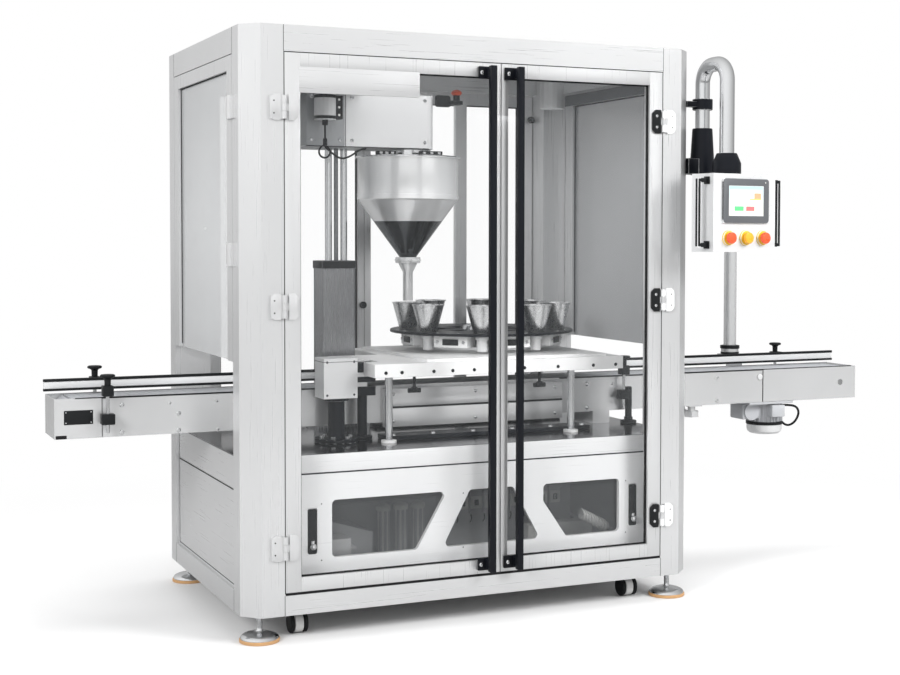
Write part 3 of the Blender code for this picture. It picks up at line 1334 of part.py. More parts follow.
def add_guide_rail(finishes):
    """The rear guide rail with black lips top and bottom, held off the side plate by two knob clamps."""
    front = GUIDE_Y
    back = GUIDE_Y + GUIDE_SHEET
    face = front + GUIDE_GROOVE
    outline = [
        (front, GUIDE_BOTTOM),
        (back, GUIDE_BOTTOM),
        (back, GUIDE_TOP),
        (front, GUIDE_TOP),
        (front, GUIDE_TOP - GUIDE_LIP),
        (face, GUIDE_TOP - GUIDE_LIP),
        (face, GUIDE_BOTTOM + GUIDE_LIP),
        (front, GUIDE_BOTTOM + GUIDE_LIP),
    ]
    shells = [prism(outline, GUIDE_LEFT, GUIDE_RIGHT, "X")]
    rod_y = CONVEYOR_BACK + CLAMP_STAND_OFF
    half = CLAMP_BLOCK / 2
    grip_low = GUIDE_TOP - CLAMP_HEIGHT
    foot_high = CONVEYOR_TOP - CLAMP_HEIGHT
    foot_low = foot_high - CLAMP_HEIGHT
    for x in GUIDE_CLAMP_X:
        shells.append(box((x - half, back - SINK, grip_low), (x + half, rod_y + half, GUIDE_TOP)))
        shells.append(rod((x, rod_y, 0), CLAMP_ROD_RADIUS, foot_low - CLAMP_HEIGHT, grip_low + SINK))
        shells.append(box((x - half, CONVEYOR_BACK + GAP, foot_low), (x + half, rod_y + half, foot_high)))
        shells.append(knob_shells(x, rod_y, GUIDE_TOP))
    add_node("guide_rail", finishes["steel"], shells)


def add_front_clamps(finishes):
    """The two knob clamps in front of the conveyor, with their rod, grip and stub on the side plate."""
    rod_y = CONVEYOR_FRONT - FRONT_CLAMP_STAND_OFF
    half = CLAMP_BLOCK / 2
    grip = FRONT_CLAMP_GRIP / 2
    for x, name in ((FRONT_CLAMP_LEFT_X, "left"), (FRONT_CLAMP_RIGHT_X, "right")):
        plate = CONVEYOR_FRONT - GAP
        low = FRONT_CLAMP_TOP - CLAMP_BLOCK
        shells = [box((x - half, rod_y - half, low), (x + half, rod_y + half, FRONT_CLAMP_TOP))]
        shells.append(rod((x, rod_y, 0), CLAMP_ROD_RADIUS, FRONT_CLAMP_ROD_BOTTOM, low + SINK))
        shells.append(
            box((x - grip, rod_y - half, FRONT_CLAMP_GRIP_Z - half), (x + grip, rod_y + half, FRONT_CLAMP_GRIP_Z + half))
        )
        shells.append(rod((x, 0, FRONT_CLAMP_GRIP_Z), CLAMP_ROD_RADIUS, rod_y, plate, SMALL_SIDES, "Y"))
        shells.append(knob_shells(x, rod_y, FRONT_CLAMP_TOP))
        add_node(f"front_clamp_{name}", finishes["black"], shells)


def add_conveyor_motor(finishes):
    """The worm gearbox on its mounting plate and the upright motor that hangs from it."""
    middle = CONVEYOR_MIDDLE_Y
    top = CONVEYOR_BOTTOM - GAP
    half = GEARBOX_WIDTH / 2
    left = MOTOR_X - MOTOR_RADIUS - GEARBOX_LENGTH
    plate_high = (MOTOR_X + MOTOR_RADIUS, CONVEYOR_BACK - SINK, top)
    shells = [box((left, CONVEYOR_FRONT + SINK, top - GEARBOX_PLATE), plate_high)]
    shells.append(box((left, middle - half, GEARBOX_BOTTOM), (MOTOR_X, middle + half, top - SINK)))
    centre = (MOTOR_X, middle, 0)
    cap_top = MOTOR_BOTTOM + MOTOR_CAP_HEIGHT
    rim_top = MOTOR_BOTTOM + MOTOR_RIM_HEIGHT
    profile = [
        (0, MOTOR_BOTTOM),
        (MOTOR_RADIUS - MOTOR_RIM_HEIGHT, MOTOR_BOTTOM),
        (MOTOR_RADIUS, rim_top),
        (MOTOR_RADIUS, cap_top),
        (MOTOR_RADIUS - MOTOR_FIN, cap_top),
        (MOTOR_RADIUS - MOTOR_FIN, top - GEARBOX_PLATE + SINK),
        (0, top - GEARBOX_PLATE + SINK),
    ]
    shells.append(turned(profile, centre, FINE_SIDES))
    for index in range(MOTOR_FIN_COUNT):
        turn = math.tau * (index + 1 / 2) / MOTOR_FIN_COUNT
        fin = box(
            (MOTOR_X + MOTOR_RADIUS - MOTOR_FIN - SINK, middle - MOTOR_FIN / 2, cap_top - SINK),
            (MOTOR_X + MOTOR_RADIUS, middle + MOTOR_FIN / 2, top - GEARBOX_PLATE - SINK),
        )
        shells.append(turn_shell(fin, turn, centre))
    add_node("conveyor_motor", finishes["grey"], shells)


def outfeed_mast_shells():
    """The polished mast behind the outfeed, on a bracket that is part of the conveyor's rear plate."""
    back = CONVEYOR_BACK - SINK
    half = MAST_COLLAR_RADIUS
    bracket = [
        (back, MAST_FOOT_Z),
        (back, CONVEYOR_BOTTOM + CONVEYOR_SHEET),
        (back + MAST_BRACKET_SHEET, CONVEYOR_BOTTOM + CONVEYOR_SHEET),
        (back + MAST_BRACKET_SHEET, MAST_FOOT_Z - MAST_BRACKET_SHEET),
        (MAST_Y + half, MAST_FOOT_Z - MAST_BRACKET_SHEET),
        (MAST_Y + half, MAST_FOOT_Z),
    ]
    collar_top = MAST_FOOT_Z + MAST_COLLAR_HEIGHT
    profile = [
        (0, MAST_FOOT_Z - SINK),
        (MAST_COLLAR_RADIUS - SINK, MAST_FOOT_Z - SINK),
        (MAST_COLLAR_RADIUS - SINK, collar_top),
        (MAST_RADIUS, collar_top + MAST_BRACKET_SHEET),
        (MAST_RADIUS, MAST_TOP),
        (0, MAST_TOP),
    ]
    return [
        prism(bracket, MAST_X - half, MAST_X + half, "X"),
        turned(profile, (MAST_X, MAST_Y, 0), FINE_SIDES),
    ]


# Lift and filler head
def lift_rod_places():
    return [(x, COLUMN_MIDDLE_Y, 0) for x in LIFT_ROD_X]


def add_lift_column(finishes):
    """The sheet cover of the lift on its foot, with its black cap, two guide rods and the lead screw."""
    left, right = COLUMN_LEFT, COLUMN_RIGHT
    front, back = COLUMN_FRONT, COLUMN_FRONT + COLUMN_DEPTH
    floor = TABLE_TOP + GAP
    foot = COLUMN_FOOT_MARGIN
    cap = COLUMN_CAP_MARGIN
    shells = [box((left, front, floor), (right, back, COLUMN_TOP + SINK))]
    shells.append(box((left - foot, front - foot, floor), (right + foot, back + foot, floor + COLUMN_FOOT)))
    shells.append(box((left - cap, front - cap, COLUMN_TOP), (right + cap, back + cap, COLUMN_TOP + COLUMN_CAP)))
    for place in lift_rod_places():
        shells.append(rod(place, LIFT_ROD_RADIUS, COLUMN_TOP, LIFT_ROD_TOP, ROUND_SIDES))
    screw = ((LIFT_ROD_X[0] + LIFT_ROD_X[1]) / 2, COLUMN_MIDDLE_Y, 0)
    shells.append(rod(screw, SCREW_ROD_RADIUS, COLUMN_TOP, LIFT_ROD_TOP))
    add_node("lift_column", finishes["steel"], shells)


def add_filler_head(finishes):
    """The housing of the auger drive, bored for the lift rods and for the agitator sleeve."""
    left, right = HEAD_LEFT, HEAD_RIGHT
    front, back = HEAD_FRONT, HEAD_FRONT + HEAD_DEPTH
    outline = rounded(rectangle(left, front, right, back), HEAD_CORNER)
    shells = [prism(outline, HEAD_BOTTOM, HEAD_TOP)]
    sensor_y = front - HEAD_SENSOR_STAND_OFF - HEAD_SENSOR_RADIUS
    sensor_low = HEAD_SENSOR_TOP - HEAD_SENSOR_HEIGHT
    sensor = (HEAD_SENSOR_X, sensor_y, 0)
    shells.append(rod(sensor, HEAD_SENSOR_RADIUS, sensor_low, HEAD_SENSOR_TOP, ROUND_SIDES))
    arm = HEAD_SENSOR_RADIUS / 2
    shells.append(
        box((HEAD_SENSOR_X, sensor_y, sensor_low + SINK), (HEAD_SENSOR_X + arm, front + SINK, HEAD_SENSOR_TOP - SINK))
    )
    cuts = []
    for place in lift_rod_places():
        radius = clear_bore(LIFT_ROD_RADIUS, ROUND_SIDES)
        cuts.append(rod(place, radius, HEAD_BOTTOM - OVERRUN, HEAD_HOLE_TOP, ROUND_SIDES))
    screw = ((LIFT_ROD_X[0] + LIFT_ROD_X[1]) / 2, COLUMN_MIDDLE_Y, 0)
    cuts.append(rod(screw, clear_bore(SCREW_ROD_RADIUS, SMALL_SIDES), HEAD_BOTTOM - OVERRUN, HEAD_HOLE_TOP))
    sleeve = clear_bore(AGITATOR_SLEEVE_RADIUS, ROUND_SIDES)
    cuts.append(rod((FILL_X, FILL_Y, 0), sleeve, HEAD_BOTTOM - OVERRUN, AUGER_TOP + OVERRUN, ROUND_SIDES))
    add_node("filler_head", finishes["white"], shells, cuts, (COLUMN_LEFT, COLUMN_MIDDLE_Y, HEAD_BOTTOM))


def add_hopper(finishes):
    """The hopper bowl, its cone, the clamp collar, the reducer and the filling tube, as one thin shell."""
    sheet = HOPPER_SHEET
    rim = HOPPER_RADIUS + HOPPER_RIM
    collar_bottom = HOPPER_THROAT - COLLAR_HEIGHT
    reducer_bottom = collar_bottom - REDUCER_HEIGHT
    inner_tube = TUBE_RADIUS - sheet
    outer = [
        (rim, HOPPER_TOP),
        (rim, HOPPER_TOP - sheet),
        (HOPPER_RADIUS, HOPPER_TOP - sheet),
        (HOPPER_RADIUS, HOPPER_SHOULDER + HOPPER_BAND),
        (HOPPER_RADIUS + sheet, HOPPER_SHOULDER + HOPPER_BAND),
        (HOPPER_RADIUS + sheet, HOPPER_SHOULDER),
        (HOPPER_RADIUS, HOPPER_SHOULDER),
        (HOPPER_THROAT_RADIUS, HOPPER_THROAT),
        (COLLAR_RADIUS, HOPPER_THROAT),
        (COLLAR_RADIUS, collar_bottom),
        (REDUCER_RADIUS, collar_bottom),
        (TUBE_RADIUS, reducer_bottom),
        (TUBE_RADIUS, TUBE_BOTTOM),
    ]
    inner = [
        (inner_tube, TUBE_BOTTOM),
        (inner_tube, reducer_bottom),
        (HOPPER_THROAT_RADIUS - sheet, collar_bottom),
        (HOPPER_THROAT_RADIUS - sheet, HOPPER_THROAT),
        (HOPPER_RADIUS - sheet, HOPPER_SHOULDER),
        (HOPPER_RADIUS - sheet, HOPPER_TOP),
    ]
    shell = turned(outer + inner, (FILL_X, FILL_Y, 0), FINE_SIDES)
    add_node("hopper", finishes["chrome"], [shell], origin=(FILL_X, FILL_Y, HOPPER_TOP))


def add_hopper_lid(finishes):
    low = HOPPER_TOP + GAP
    high = low + LID_SHEET
    top = HEAD_BOTTOM - GAP
    edge = HOPPER_RADIUS + HOPPER_RIM
    bore = clear_bore(AGITATOR_SLEEVE_RADIUS, ROUND_SIDES)
    profile = [
        (bore, low),
        (edge, low),
        (edge, high),
        (LID_BOSS_RADIUS, high),
        (LID_BOSS_RADIUS, top),
        (bore, top),
    ]
    shells = [turned(profile, (FILL_X, FILL_Y, 0), FINE_SIDES)]
    half = LID_CLAMP_WIDTH / 2
    for index in range(LID_CLAMP_COUNT):
        clamp = box(
            (FILL_X + edge - LID_CLAMP_INSET - LID_CLAMP_WIDTH, FILL_Y - half, high - SINK),
            (FILL_X + edge - LID_CLAMP_INSET, FILL_Y + half, high + LID_CLAMP_HEIGHT),
        )
        turn = math.tau * (index + 1 / 2) / LID_CLAMP_COUNT
        shells.append(turn_shell(clamp, turn, (FILL_X, FILL_Y, 0)))
    add_node("hopper_lid", finishes["chrome"], shells, origin=(FILL_X, FILL_Y, low))


def flight_shell(inner, outer, sheet, pitch, turns, start):
    """A helical flight: a four-cornered section carried round and up the shaft."""
    shell = bmesh.new()
    sections = []
    count = turns * AUGER_STEPS
    for step in range(count + 1):
        turn = math.tau * step / AUGER_STEPS
        rise = start + pitch * step / AUGER_STEPS
        corners = ((inner, rise), (outer, rise), (outer, rise + sheet), (inner, rise + sheet))
        spokes = [(radius * math.cos(turn) + FILL_X, radius * math.sin(turn) + FILL_Y, z) for radius, z in corners]
        sections.append([shell.verts.new(spoke) for spoke in spokes])
    for first, second in zip(sections, sections[1:]):
        bridge_rings(shell, first, second)
    shell.faces.new(sections[0])
    shell.faces.new(list(reversed(sections[-1])))
    return close_shell(shell)


def add_auger(finishes):
    low = TUBE_BOTTOM + AUGER_TIP_MARGIN
    outer = TUBE_RADIUS - HOPPER_SHEET - AUGER_RUNNING_GAP
    shells = [rod((FILL_X, FILL_Y, 0), AUGER_SHAFT_RADIUS, low, AUGER_TOP)]
    start = low + AUGER_FLIGHT
    inner = AUGER_SHAFT_RADIUS - SINK - SINK
    shells.append(flight_shell(inner, outer, AUGER_FLIGHT, AUGER_PITCH, AUGER_TURNS, start))
    add_node("auger", finishes["chrome"], shells, origin=(FILL_X, FILL_Y, low))


def add_agitator(finishes):
    """The sleeve round the auger shaft with two bent scraper arms that follow the bowl and the cone."""
    wall = HOPPER_SHEET + AGITATOR_WALL_GAP
    reach = HOPPER_RADIUS - wall
    top = HOPPER_SHOULDER + (HOPPER_TOP - HOPPER_SHOULDER) * AGITATOR_TOP_SHARE
    low = AGITATOR_SLEEVE_BOTTOM
    fall_share = (HOPPER_SHOULDER - low) / (HOPPER_SHOULDER - HOPPER_THROAT)
    low_reach = reach - (HOPPER_RADIUS - HOPPER_THROAT_RADIUS) * fall_share
    blade = AGITATOR_BLADE_WIDTH
    start = AGITATOR_SLEEVE_RADIUS - SINK
    scraper = [
        (start, top),
        (reach, top),
        (reach, HOPPER_SHOULDER),
        (low_reach, low),
        (low_reach - blade, low),
        (reach - blade, HOPPER_SHOULDER),
        (reach - blade, top - blade),
        (start, top - blade),
    ]
    bore = clear_bore(AUGER_SHAFT_RADIUS, SMALL_SIDES)
    sleeve_top = AUGER_TOP - SINK
    ring = [(bore, low), (AGITATOR_SLEEVE_RADIUS, low), (AGITATOR_SLEEVE_RADIUS, sleeve_top), (bore, sleeve_top)]
    centre = (FILL_X, FILL_Y, 0)
    shells = [turned(ring, centre, ROUND_SIDES)]
    half = AGITATOR_BLADE / 2
    for outline in (scraper, mirrored(scraper)):
        points = [(FILL_X + u, v) for u, v in outline]
        shells.append(prism(points, FILL_Y - half, FILL_Y + half, "Y"))
    add_node("agitator", finishes["chrome"], shells, origin=(FILL_X, FILL_Y, low))


# Turret
def add_turret_bed(finishes):
    """The thick bed plate above the conveyor on four rods, with its raised plates and the centre post."""
    left, right = BED_PLATE_LEFT, BED_PLATE_RIGHT
    front, back = BED_PLATE_FRONT, BED_PLATE_BACK
    step_x, step_y = BED_PLATE_STEP_X, BED_PLATE_STEP_Y
    outline = [
        (BED_TAB_LEFT, front),
        (right, front),
        (right, back),
        (step_x, back),
        (step_x, step_y),
        (left, step_y),
        (left, BED_NOTCH_BACK),
        (BED_NOTCH_RIGHT, BED_NOTCH_BACK),
        (BED_NOTCH_RIGHT, BED_NOTCH_FRONT),
        (BED_TAB_LEFT, BED_NOTCH_FRONT),
    ]
    top, bottom = BED_PLATE_TOP, BED_PLATE_BOTTOM
    shells = [prism(outline, bottom, top)]
    step_top = top + STEP_PLATE_SHEET
    inset = STEP_PLATE_INSET
    shells.append(box((step_x + inset, front + inset, top - SINK), (right - inset, back - inset, step_top)))
    centre = (TURRET_X, TURRET_Y, 0)
    shells.append(rod(centre, BED_RING_RADIUS, step_top - SINK, step_top + BED_RING_HEIGHT, FINE_SIDES))
    shells.append(rod(centre, CENTRE_POST_RADIUS, step_top, CENTRE_POST_TOP, ROUND_SIDES))
    floor = TABLE_TOP + GAP
    places = [(x, front + BED_ROD_INSET, 0) for x in BED_ROD_FRONT_X]
    places += [(x, back - BED_ROD_INSET, 0) for x in BED_ROD_BACK_X]
    for place in places:
        shells.append(rod(place, BED_ROD_RADIUS, floor, bottom + SINK, ROUND_SIDES))
        shells.append(rod(place, BED_ROD_FOOT_RADIUS, floor, floor + BED_ROD_FOOT_HEIGHT, ROUND_SIDES))
    add_node("turret_bed", finishes["white"], shells)


def funnel_places():
    places = []
    for index in range(FUNNEL_COUNT):
        turn = FUNNEL_PHASE + math.tau * index / FUNNEL_COUNT
        x = TURRET_X + FUNNEL_RING_RADIUS * math.cos(turn)
        y = TURRET_Y + FUNNEL_RING_RADIUS * math.sin(turn)
        places.append((x, y, 0))
    return places


def add_funnel_turret(finishes):
    """The turning table: hub, star, carrier blocks, black ring and eight open funnels with nozzles."""
    centre = (TURRET_X, TURRET_Y, 0)
    radius = FUNNEL_RING_RADIUS
    star_low = BED_PLATE_TOP + STEP_PLATE_SHEET + BED_RING_HEIGHT + GAP
    star_high = star_low + STAR_SHEET
    ring_low = RING_TOP - RING_SHEET
    hub_top = RING_TOP + HUB_CAP_RISE
    shells = [rod(centre, HUB_RADIUS, star_low, hub_top, FINE_SIDES)]
    shells.append(rod(centre, radius * STAR_RADIUS_SHARE, star_low + SINK, star_high, FINE_SIDES))
    ring = [
        (radius * RING_INNER_SHARE, ring_low),
        (radius + RING_MARGIN, ring_low),
        (radius + RING_MARGIN, RING_TOP),
        (radius * RING_INNER_SHARE, RING_TOP),
    ]
    shells.append(turned(ring, centre, FINE_SIDES + FINE_SIDES // 2))
    half_arm = SPIDER_ARM_WIDTH / 2
    half_block = BLOCK_WIDTH_SHARE * radius * math.sin(math.pi / FUNNEL_COUNT)
    for index in range(FUNNEL_COUNT):
        turn = FUNNEL_PHASE + math.tau * (index + 1 / 2) / FUNNEL_COUNT
        block = box(
            (TURRET_X + radius - BLOCK_DEPTH, TURRET_Y - half_block, star_high - SINK),
            (TURRET_X + radius, TURRET_Y + half_block, ring_low + SINK),
        )
        arm = box(
            (TURRET_X + HUB_RADIUS - SINK, TURRET_Y - half_arm, ring_low + SINK),
            (TURRET_X + radius * RING_INNER_SHARE + SINK, TURRET_Y + half_arm, RING_TOP - SINK),
        )
        shells += [turn_shell(block, turn, centre), turn_shell(arm, turn, centre)]
    bore = clear_bore(CENTRE_POST_RADIUS, ROUND_SIDES)
    cuts = [rod(centre, bore, star_low - OVERRUN, CENTRE_POST_TOP + GAP, ROUND_SIDES)]
    lip = FUNNEL_RIM_RADIUS + FUNNEL_LIP
    sheet = FUNNEL_SHEET
    for place in funnel_places():
        outer = [
            (0, NOZZLE_BOTTOM),
            (NOZZLE_RADIUS, NOZZLE_BOTTOM),
            (NOZZLE_RADIUS, RING_TOP + SINK),
            (FUNNEL_THROAT_RADIUS, FUNNEL_THROAT_Z),
            (FUNNEL_RIM_RADIUS, FUNNEL_RIM_Z - FUNNEL_LIP),
            (lip, FUNNEL_RIM_Z - FUNNEL_LIP),
            (lip, FUNNEL_RIM_Z),
            (0, FUNNEL_RIM_Z),
        ]
        inner = [
            (0, NOZZLE_BOTTOM - OVERRUN),
            (NOZZLE_RADIUS - sheet, NOZZLE_BOTTOM - OVERRUN),
            (NOZZLE_RADIUS - sheet, RING_TOP + SINK),
            (FUNNEL_THROAT_RADIUS - sheet, FUNNEL_THROAT_Z + sheet),
            (FUNNEL_RIM_RADIUS - sheet, FUNNEL_RIM_Z),
            (FUNNEL_RIM_RADIUS - sheet, FUNNEL_RIM_Z + OVERRUN),
            (0, FUNNEL_RIM_Z + OVERRUN),
        ]
        shells.append(turned(outer, place, FUNNEL_SIDES))
        cuts.append(turned(inner, place, FUNNEL_SIDES))
    add_node("funnel_turret", finishes["chrome"], shells, cuts, (TURRET_X, TURRET_Y, star_low))


# Infeed drive
def add_infeed_drive(finishes):
    """The infeed drive box on its round post, with the slotted block and slim post beside it."""
    left, right = INFEED_LEFT, INFEED_RIGHT
    front, back = INFEED_FRONT, INFEED_FRONT + INFEED_DEPTH
    floor = TABLE_TOP + GAP
    shells = [box((left, front, INFEED_BOTTOM), (right, back, INFEED_TOP))]
    middle = ((left + right) / 2, (front + back) / 2, 0)
    neck = INFEED_BOTTOM - INFEED_NECK_HEIGHT
    profile = [
        (0, floor),
        (INFEED_FLANGE_RADIUS, floor),
        (INFEED_FLANGE_RADIUS, floor + INFEED_FLANGE_HEIGHT),
        (INFEED_POST_RADIUS, floor + INFEED_FLANGE_HEIGHT),
        (INFEED_POST_RADIUS, neck),
        (INFEED_NECK_RADIUS, neck),
        (INFEED_NECK_RADIUS, INFEED_BOTTOM + SINK),
        (0, INFEED_BOTTOM + SINK),
    ]
    shells.append(turned(profile, middle, ROUND_SIDES))
    bolt_ring = (INFEED_FLANGE_RADIUS + INFEED_POST_RADIUS) / 2
    flange_top = floor + INFEED_FLANGE_HEIGHT
    for index in range(INFEED_BOLT_COUNT):
        turn = math.tau * index / INFEED_BOLT_COUNT
        place = (middle[0] + bolt_ring * math.cos(turn), middle[1] + bolt_ring * math.sin(turn), 0)
        shells.append(rod(place, INFEED_BOLT_RADIUS, flange_top - SINK, flange_top + INFEED_BOLT_HEIGHT, HEX_SIDES))
    block_right = right + SLOT_BLOCK_WIDTH
    block_front = front + (INFEED_DEPTH - SLOT_BLOCK_DEPTH) * SLOT_BLOCK_BACK_SHARE
    block_back = block_front + SLOT_BLOCK_DEPTH
    shells.append(box((right - SINK, block_front, SLOT_BLOCK_BOTTOM), (block_right, block_back, SLOT_BLOCK_TOP)))
    slim = (right + SLOT_BLOCK_WIDTH / 2, (block_front + block_back) / 2, 0)
    shells.append(rod(slim, SLIM_POST_RADIUS, floor, SLOT_BLOCK_BOTTOM + SINK, ROUND_SIDES))
    shells.append(rod(slim, SLIM_FOOT_RADIUS, floor, floor + SLIM_FOOT_HEIGHT, ROUND_SIDES))
    cuts = []
    for share in SLOT_Z_SHARES:
        z = SLOT_BLOCK_BOTTOM + (SLOT_BLOCK_TOP - SLOT_BLOCK_BOTTOM) * share
        low, high = z - SLOT_HEIGHT / 2, z + SLOT_HEIGHT / 2
        slot_high = (block_right + OVERRUN, block_back + OVERRUN, high)
        cuts.append(box((block_right - SLOT_DEPTH, block_front - OVERRUN, low), slot_high))
    add_node("infeed_drive", finishes["steel"], shells, cuts)


# Control panel and its arm
def add_panel_arm(finishes):
    """The polished gooseneck: up out of the post socket, over, and down into the panel."""
    rise = ARM_TOP - ARM_BEND_RADIUS
    points = [Vector((ARM_X, ARM_FAR_Y, SOCKET_BOTTOM + SOCKET_FLOOR))]
    for centre_y, start in ((ARM_FAR_Y - ARM_BEND_RADIUS, 0), (ARM_NEAR_Y + ARM_BEND_RADIUS, math.pi / 2)):
        for step in range(ARM_BEND_STEPS + 1):
            turn = start + math.pi / 2 * step / ARM_BEND_STEPS
            y = centre_y + ARM_BEND_RADIUS * math.cos(turn)
            points.append(Vector((ARM_X, y, rise + ARM_BEND_RADIUS * math.sin(turn))))
    points.append(Vector((ARM_X, ARM_NEAR_Y, PANEL_TOP + CONE_FLOOR + GAP)))
    shell = tube_along(points, ARM_PIPE_RADIUS)
    add_node("panel_arm", finishes["chrome"], [shell], origin=(ARM_X, ARM_FAR_Y, SOCKET_BOTTOM))


def panel_box(low, high):
    """A box in the panel's own directions, measured from its swivel axis."""
    place = Vector((ARM_X, ARM_NEAR_Y, 0))
    shell = box(place + Vector(low), place + Vector(high))
    return turn_shell(shell, math.radians(PANEL_TURN), place)


def panel_rod(across, z, radius, low, high, sides=ROUND_SIDES, top_radius=None):
    """A round boss square to the panel front, from depth low to depth high."""
    place = Vector((ARM_X + across, ARM_NEAR_Y, z))
    profile = [(0, low), (top_radius or radius, low), (radius, high), (0, high)]
    shell = turned(profile, place, sides, "Y")
    return turn_shell(shell, math.radians(PANEL_TURN), (ARM_X, ARM_NEAR_Y, 0))


def button_places():
    start = PANEL_OFFSET - PANEL_WIDTH / 2 + BUTTON_START
    return [(start + index * BUTTON_PITCH, PANEL_TOP - BUTTON_DROP) for index in range(BUTTON_COUNT)]


def add_panel(finishes):
    """The control box with its cone socket, bezel, screen recess, button collars and two grips."""
    left = PANEL_OFFSET - PANEL_WIDTH / 2
    right = left + PANEL_WIDTH
    front = -PANEL_FRONT_OFFSET
    back = front + PANEL_DEPTH
    bottom = PANEL_TOP - PANEL_HEIGHT
    shells = [panel_box((left, front, bottom), (right, back, PANEL_TOP))]
    cone = [
        (0, PANEL_TOP - SINK),
        (CONE_RADIUS, PANEL_TOP - SINK),
        (CONE_RADIUS, PANEL_TOP + CONE_SHOULDER),
        (CONE_TOP_RADIUS, CONE_TOP),
        (0, CONE_TOP),
    ]
    axis = (ARM_X, ARM_NEAR_Y, 0)
    shells.append(turned(cone, axis, ROUND_SIDES))
    bezel_left = left + BEZEL_LEFT
    bezel_top = PANEL_TOP - BEZEL_TOP_DROP
    bezel_right = bezel_left + BEZEL_WIDTH
    bezel_bottom = bezel_top - BEZEL_HEIGHT
    face = front - BEZEL_RISE
    shells.append(panel_box((bezel_left, face, bezel_bottom), (bezel_right, front + SINK, bezel_top)))
    for across, z in button_places():
        shells.append(panel_rod(across, z, BUTTON_COLLAR_RADIUS, front - BUTTON_COLLAR_RISE, front + SINK))
    half_bar = GRIP_BAR / 2
    grip_y = front + GRIP_DEPTH_PLACE
    grip_top = (bottom + PANEL_TOP) / 2 + GRIP_HEIGHT / 2
    grip_bottom = grip_top - GRIP_HEIGHT
    for side, edge in ((-1, left), (1, right)):
        reach = edge + side * GRIP_STAND_OFF
        xs = sorted((reach, reach - side * GRIP_BAR))
        shells.append(panel_box((xs[0], grip_y - half_bar, grip_bottom), (xs[1], grip_y + half_bar, grip_top)))
        xs = sorted((reach - side * GRIP_BAR / 2, edge - side * SINK))
        for low in (grip_bottom + SINK, grip_top - GRIP_BAR + SINK):
            high = low + GRIP_BAR - SINK - SINK
            shells.append(panel_box((xs[0], grip_y - half_bar + SINK, low), (xs[1], grip_y + half_bar - SINK, high)))
    margin = SCREEN_MARGIN
    cuts = [
        panel_box(
            (bezel_left + margin, face - OVERRUN, bezel_bottom + margin),
            (bezel_right - margin, face + SCREEN_DROP, bezel_top - margin),
        )
    ]
    for across, z in button_places():
        bore = BUTTON_STEM_RADIUS + GAP
        bore_low = front - BUTTON_COLLAR_RISE - OVERRUN
        cuts.append(panel_rod(across, z, bore, bore_low, front + BUTTON_BORE_DEPTH, SMALL_SIDES))
    bore = clear_bore(ARM_PIPE_RADIUS, ROUND_SIDES)
    cuts.append(rod(axis, bore, PANEL_TOP + CONE_FLOOR, CONE_TOP + OVERRUN, ROUND_SIDES))
    add_node("panel_box", finishes["steel"], shells, cuts, (ARM_X, ARM_NEAR_Y, PANEL_TOP))


def add_buttons(finishes):
    front = -PANEL_FRONT_OFFSET
    head_back = front - BUTTON_COLLAR_RISE - BUTTON_TRAVEL - GAP
    head_front = head_back - BUTTON_HEAD_HEIGHT
    names = ("left", "middle", "right")
    turn = Matrix.Rotation(math.radians(PANEL_TURN), 3, "Z")
    for (across, z), name in zip(button_places(), names):
        dome = BUTTON_HEAD_RADIUS - BUTTON_HEAD_HEIGHT / 2
        shells = [panel_rod(across, z, BUTTON_HEAD_RADIUS, head_front, head_back, ROUND_SIDES, dome)]
        stem_end = front + BUTTON_BORE_DEPTH - BUTTON_TRAVEL - BUTTON_TRAVEL / 2
        shells.append(panel_rod(across, z, BUTTON_STEM_RADIUS, head_back - SINK, stem_end, SMALL_SIDES))
        place = Vector((ARM_X, ARM_NEAR_Y, z)) + turn @ Vector((across, head_back, 0))
        colour = finishes["yellow"] if name == "middle" else finishes["red"]
        add_node(f"button_{name}", colour, shells, origin=place)


def clear_scene():
    for item in list(bpy.data.objects):
        bpy.data.objects.remove(item, do_unlink=True)


def main():
    clear_scene()
    finishes = make_finishes()
    builders = (
        add_posts,
        add_top_frame,
        add_base_frame,
        add_feet,
        add_casters,
        add_front_doors,
        add_side_doors,
        add_rear_doors,
        add_table,
        add_lower_panels,
        add_cabinet_cover,
        add_control_rack,
        add_conveyor_body,
        add_conveyor_drive,
        add_guide_rail,
        add_front_clamps,
        add_conveyor_motor,
        add_lift_column,
        add_filler_head,
        add_hopper,
        add_hopper_lid,
        add_auger,
        add_agitator,
        add_turret_bed,
        add_funnel_turret,
        add_infeed_drive,
        add_panel_arm,
        add_panel,
        add_buttons,
    )
    for build in builders:
        build(finishes)


main()
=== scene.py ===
"""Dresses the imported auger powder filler: finishes, fittings, studio and camera."""

import logging
import math
from dataclasses import dataclass
from enum import Enum

import bpy
from mathutils import Matrix, Vector


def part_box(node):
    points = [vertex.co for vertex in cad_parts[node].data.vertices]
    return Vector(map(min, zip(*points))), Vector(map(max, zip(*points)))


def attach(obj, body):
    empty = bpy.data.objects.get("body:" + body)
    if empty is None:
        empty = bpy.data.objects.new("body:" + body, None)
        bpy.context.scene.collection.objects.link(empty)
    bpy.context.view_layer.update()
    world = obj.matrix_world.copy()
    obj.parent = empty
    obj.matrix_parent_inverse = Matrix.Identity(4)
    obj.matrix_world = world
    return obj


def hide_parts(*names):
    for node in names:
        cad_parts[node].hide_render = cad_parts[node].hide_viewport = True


logging.basicConfig(level=logging.INFO, format="%(message)s")
LOG = logging.getLogger("powder_filler")

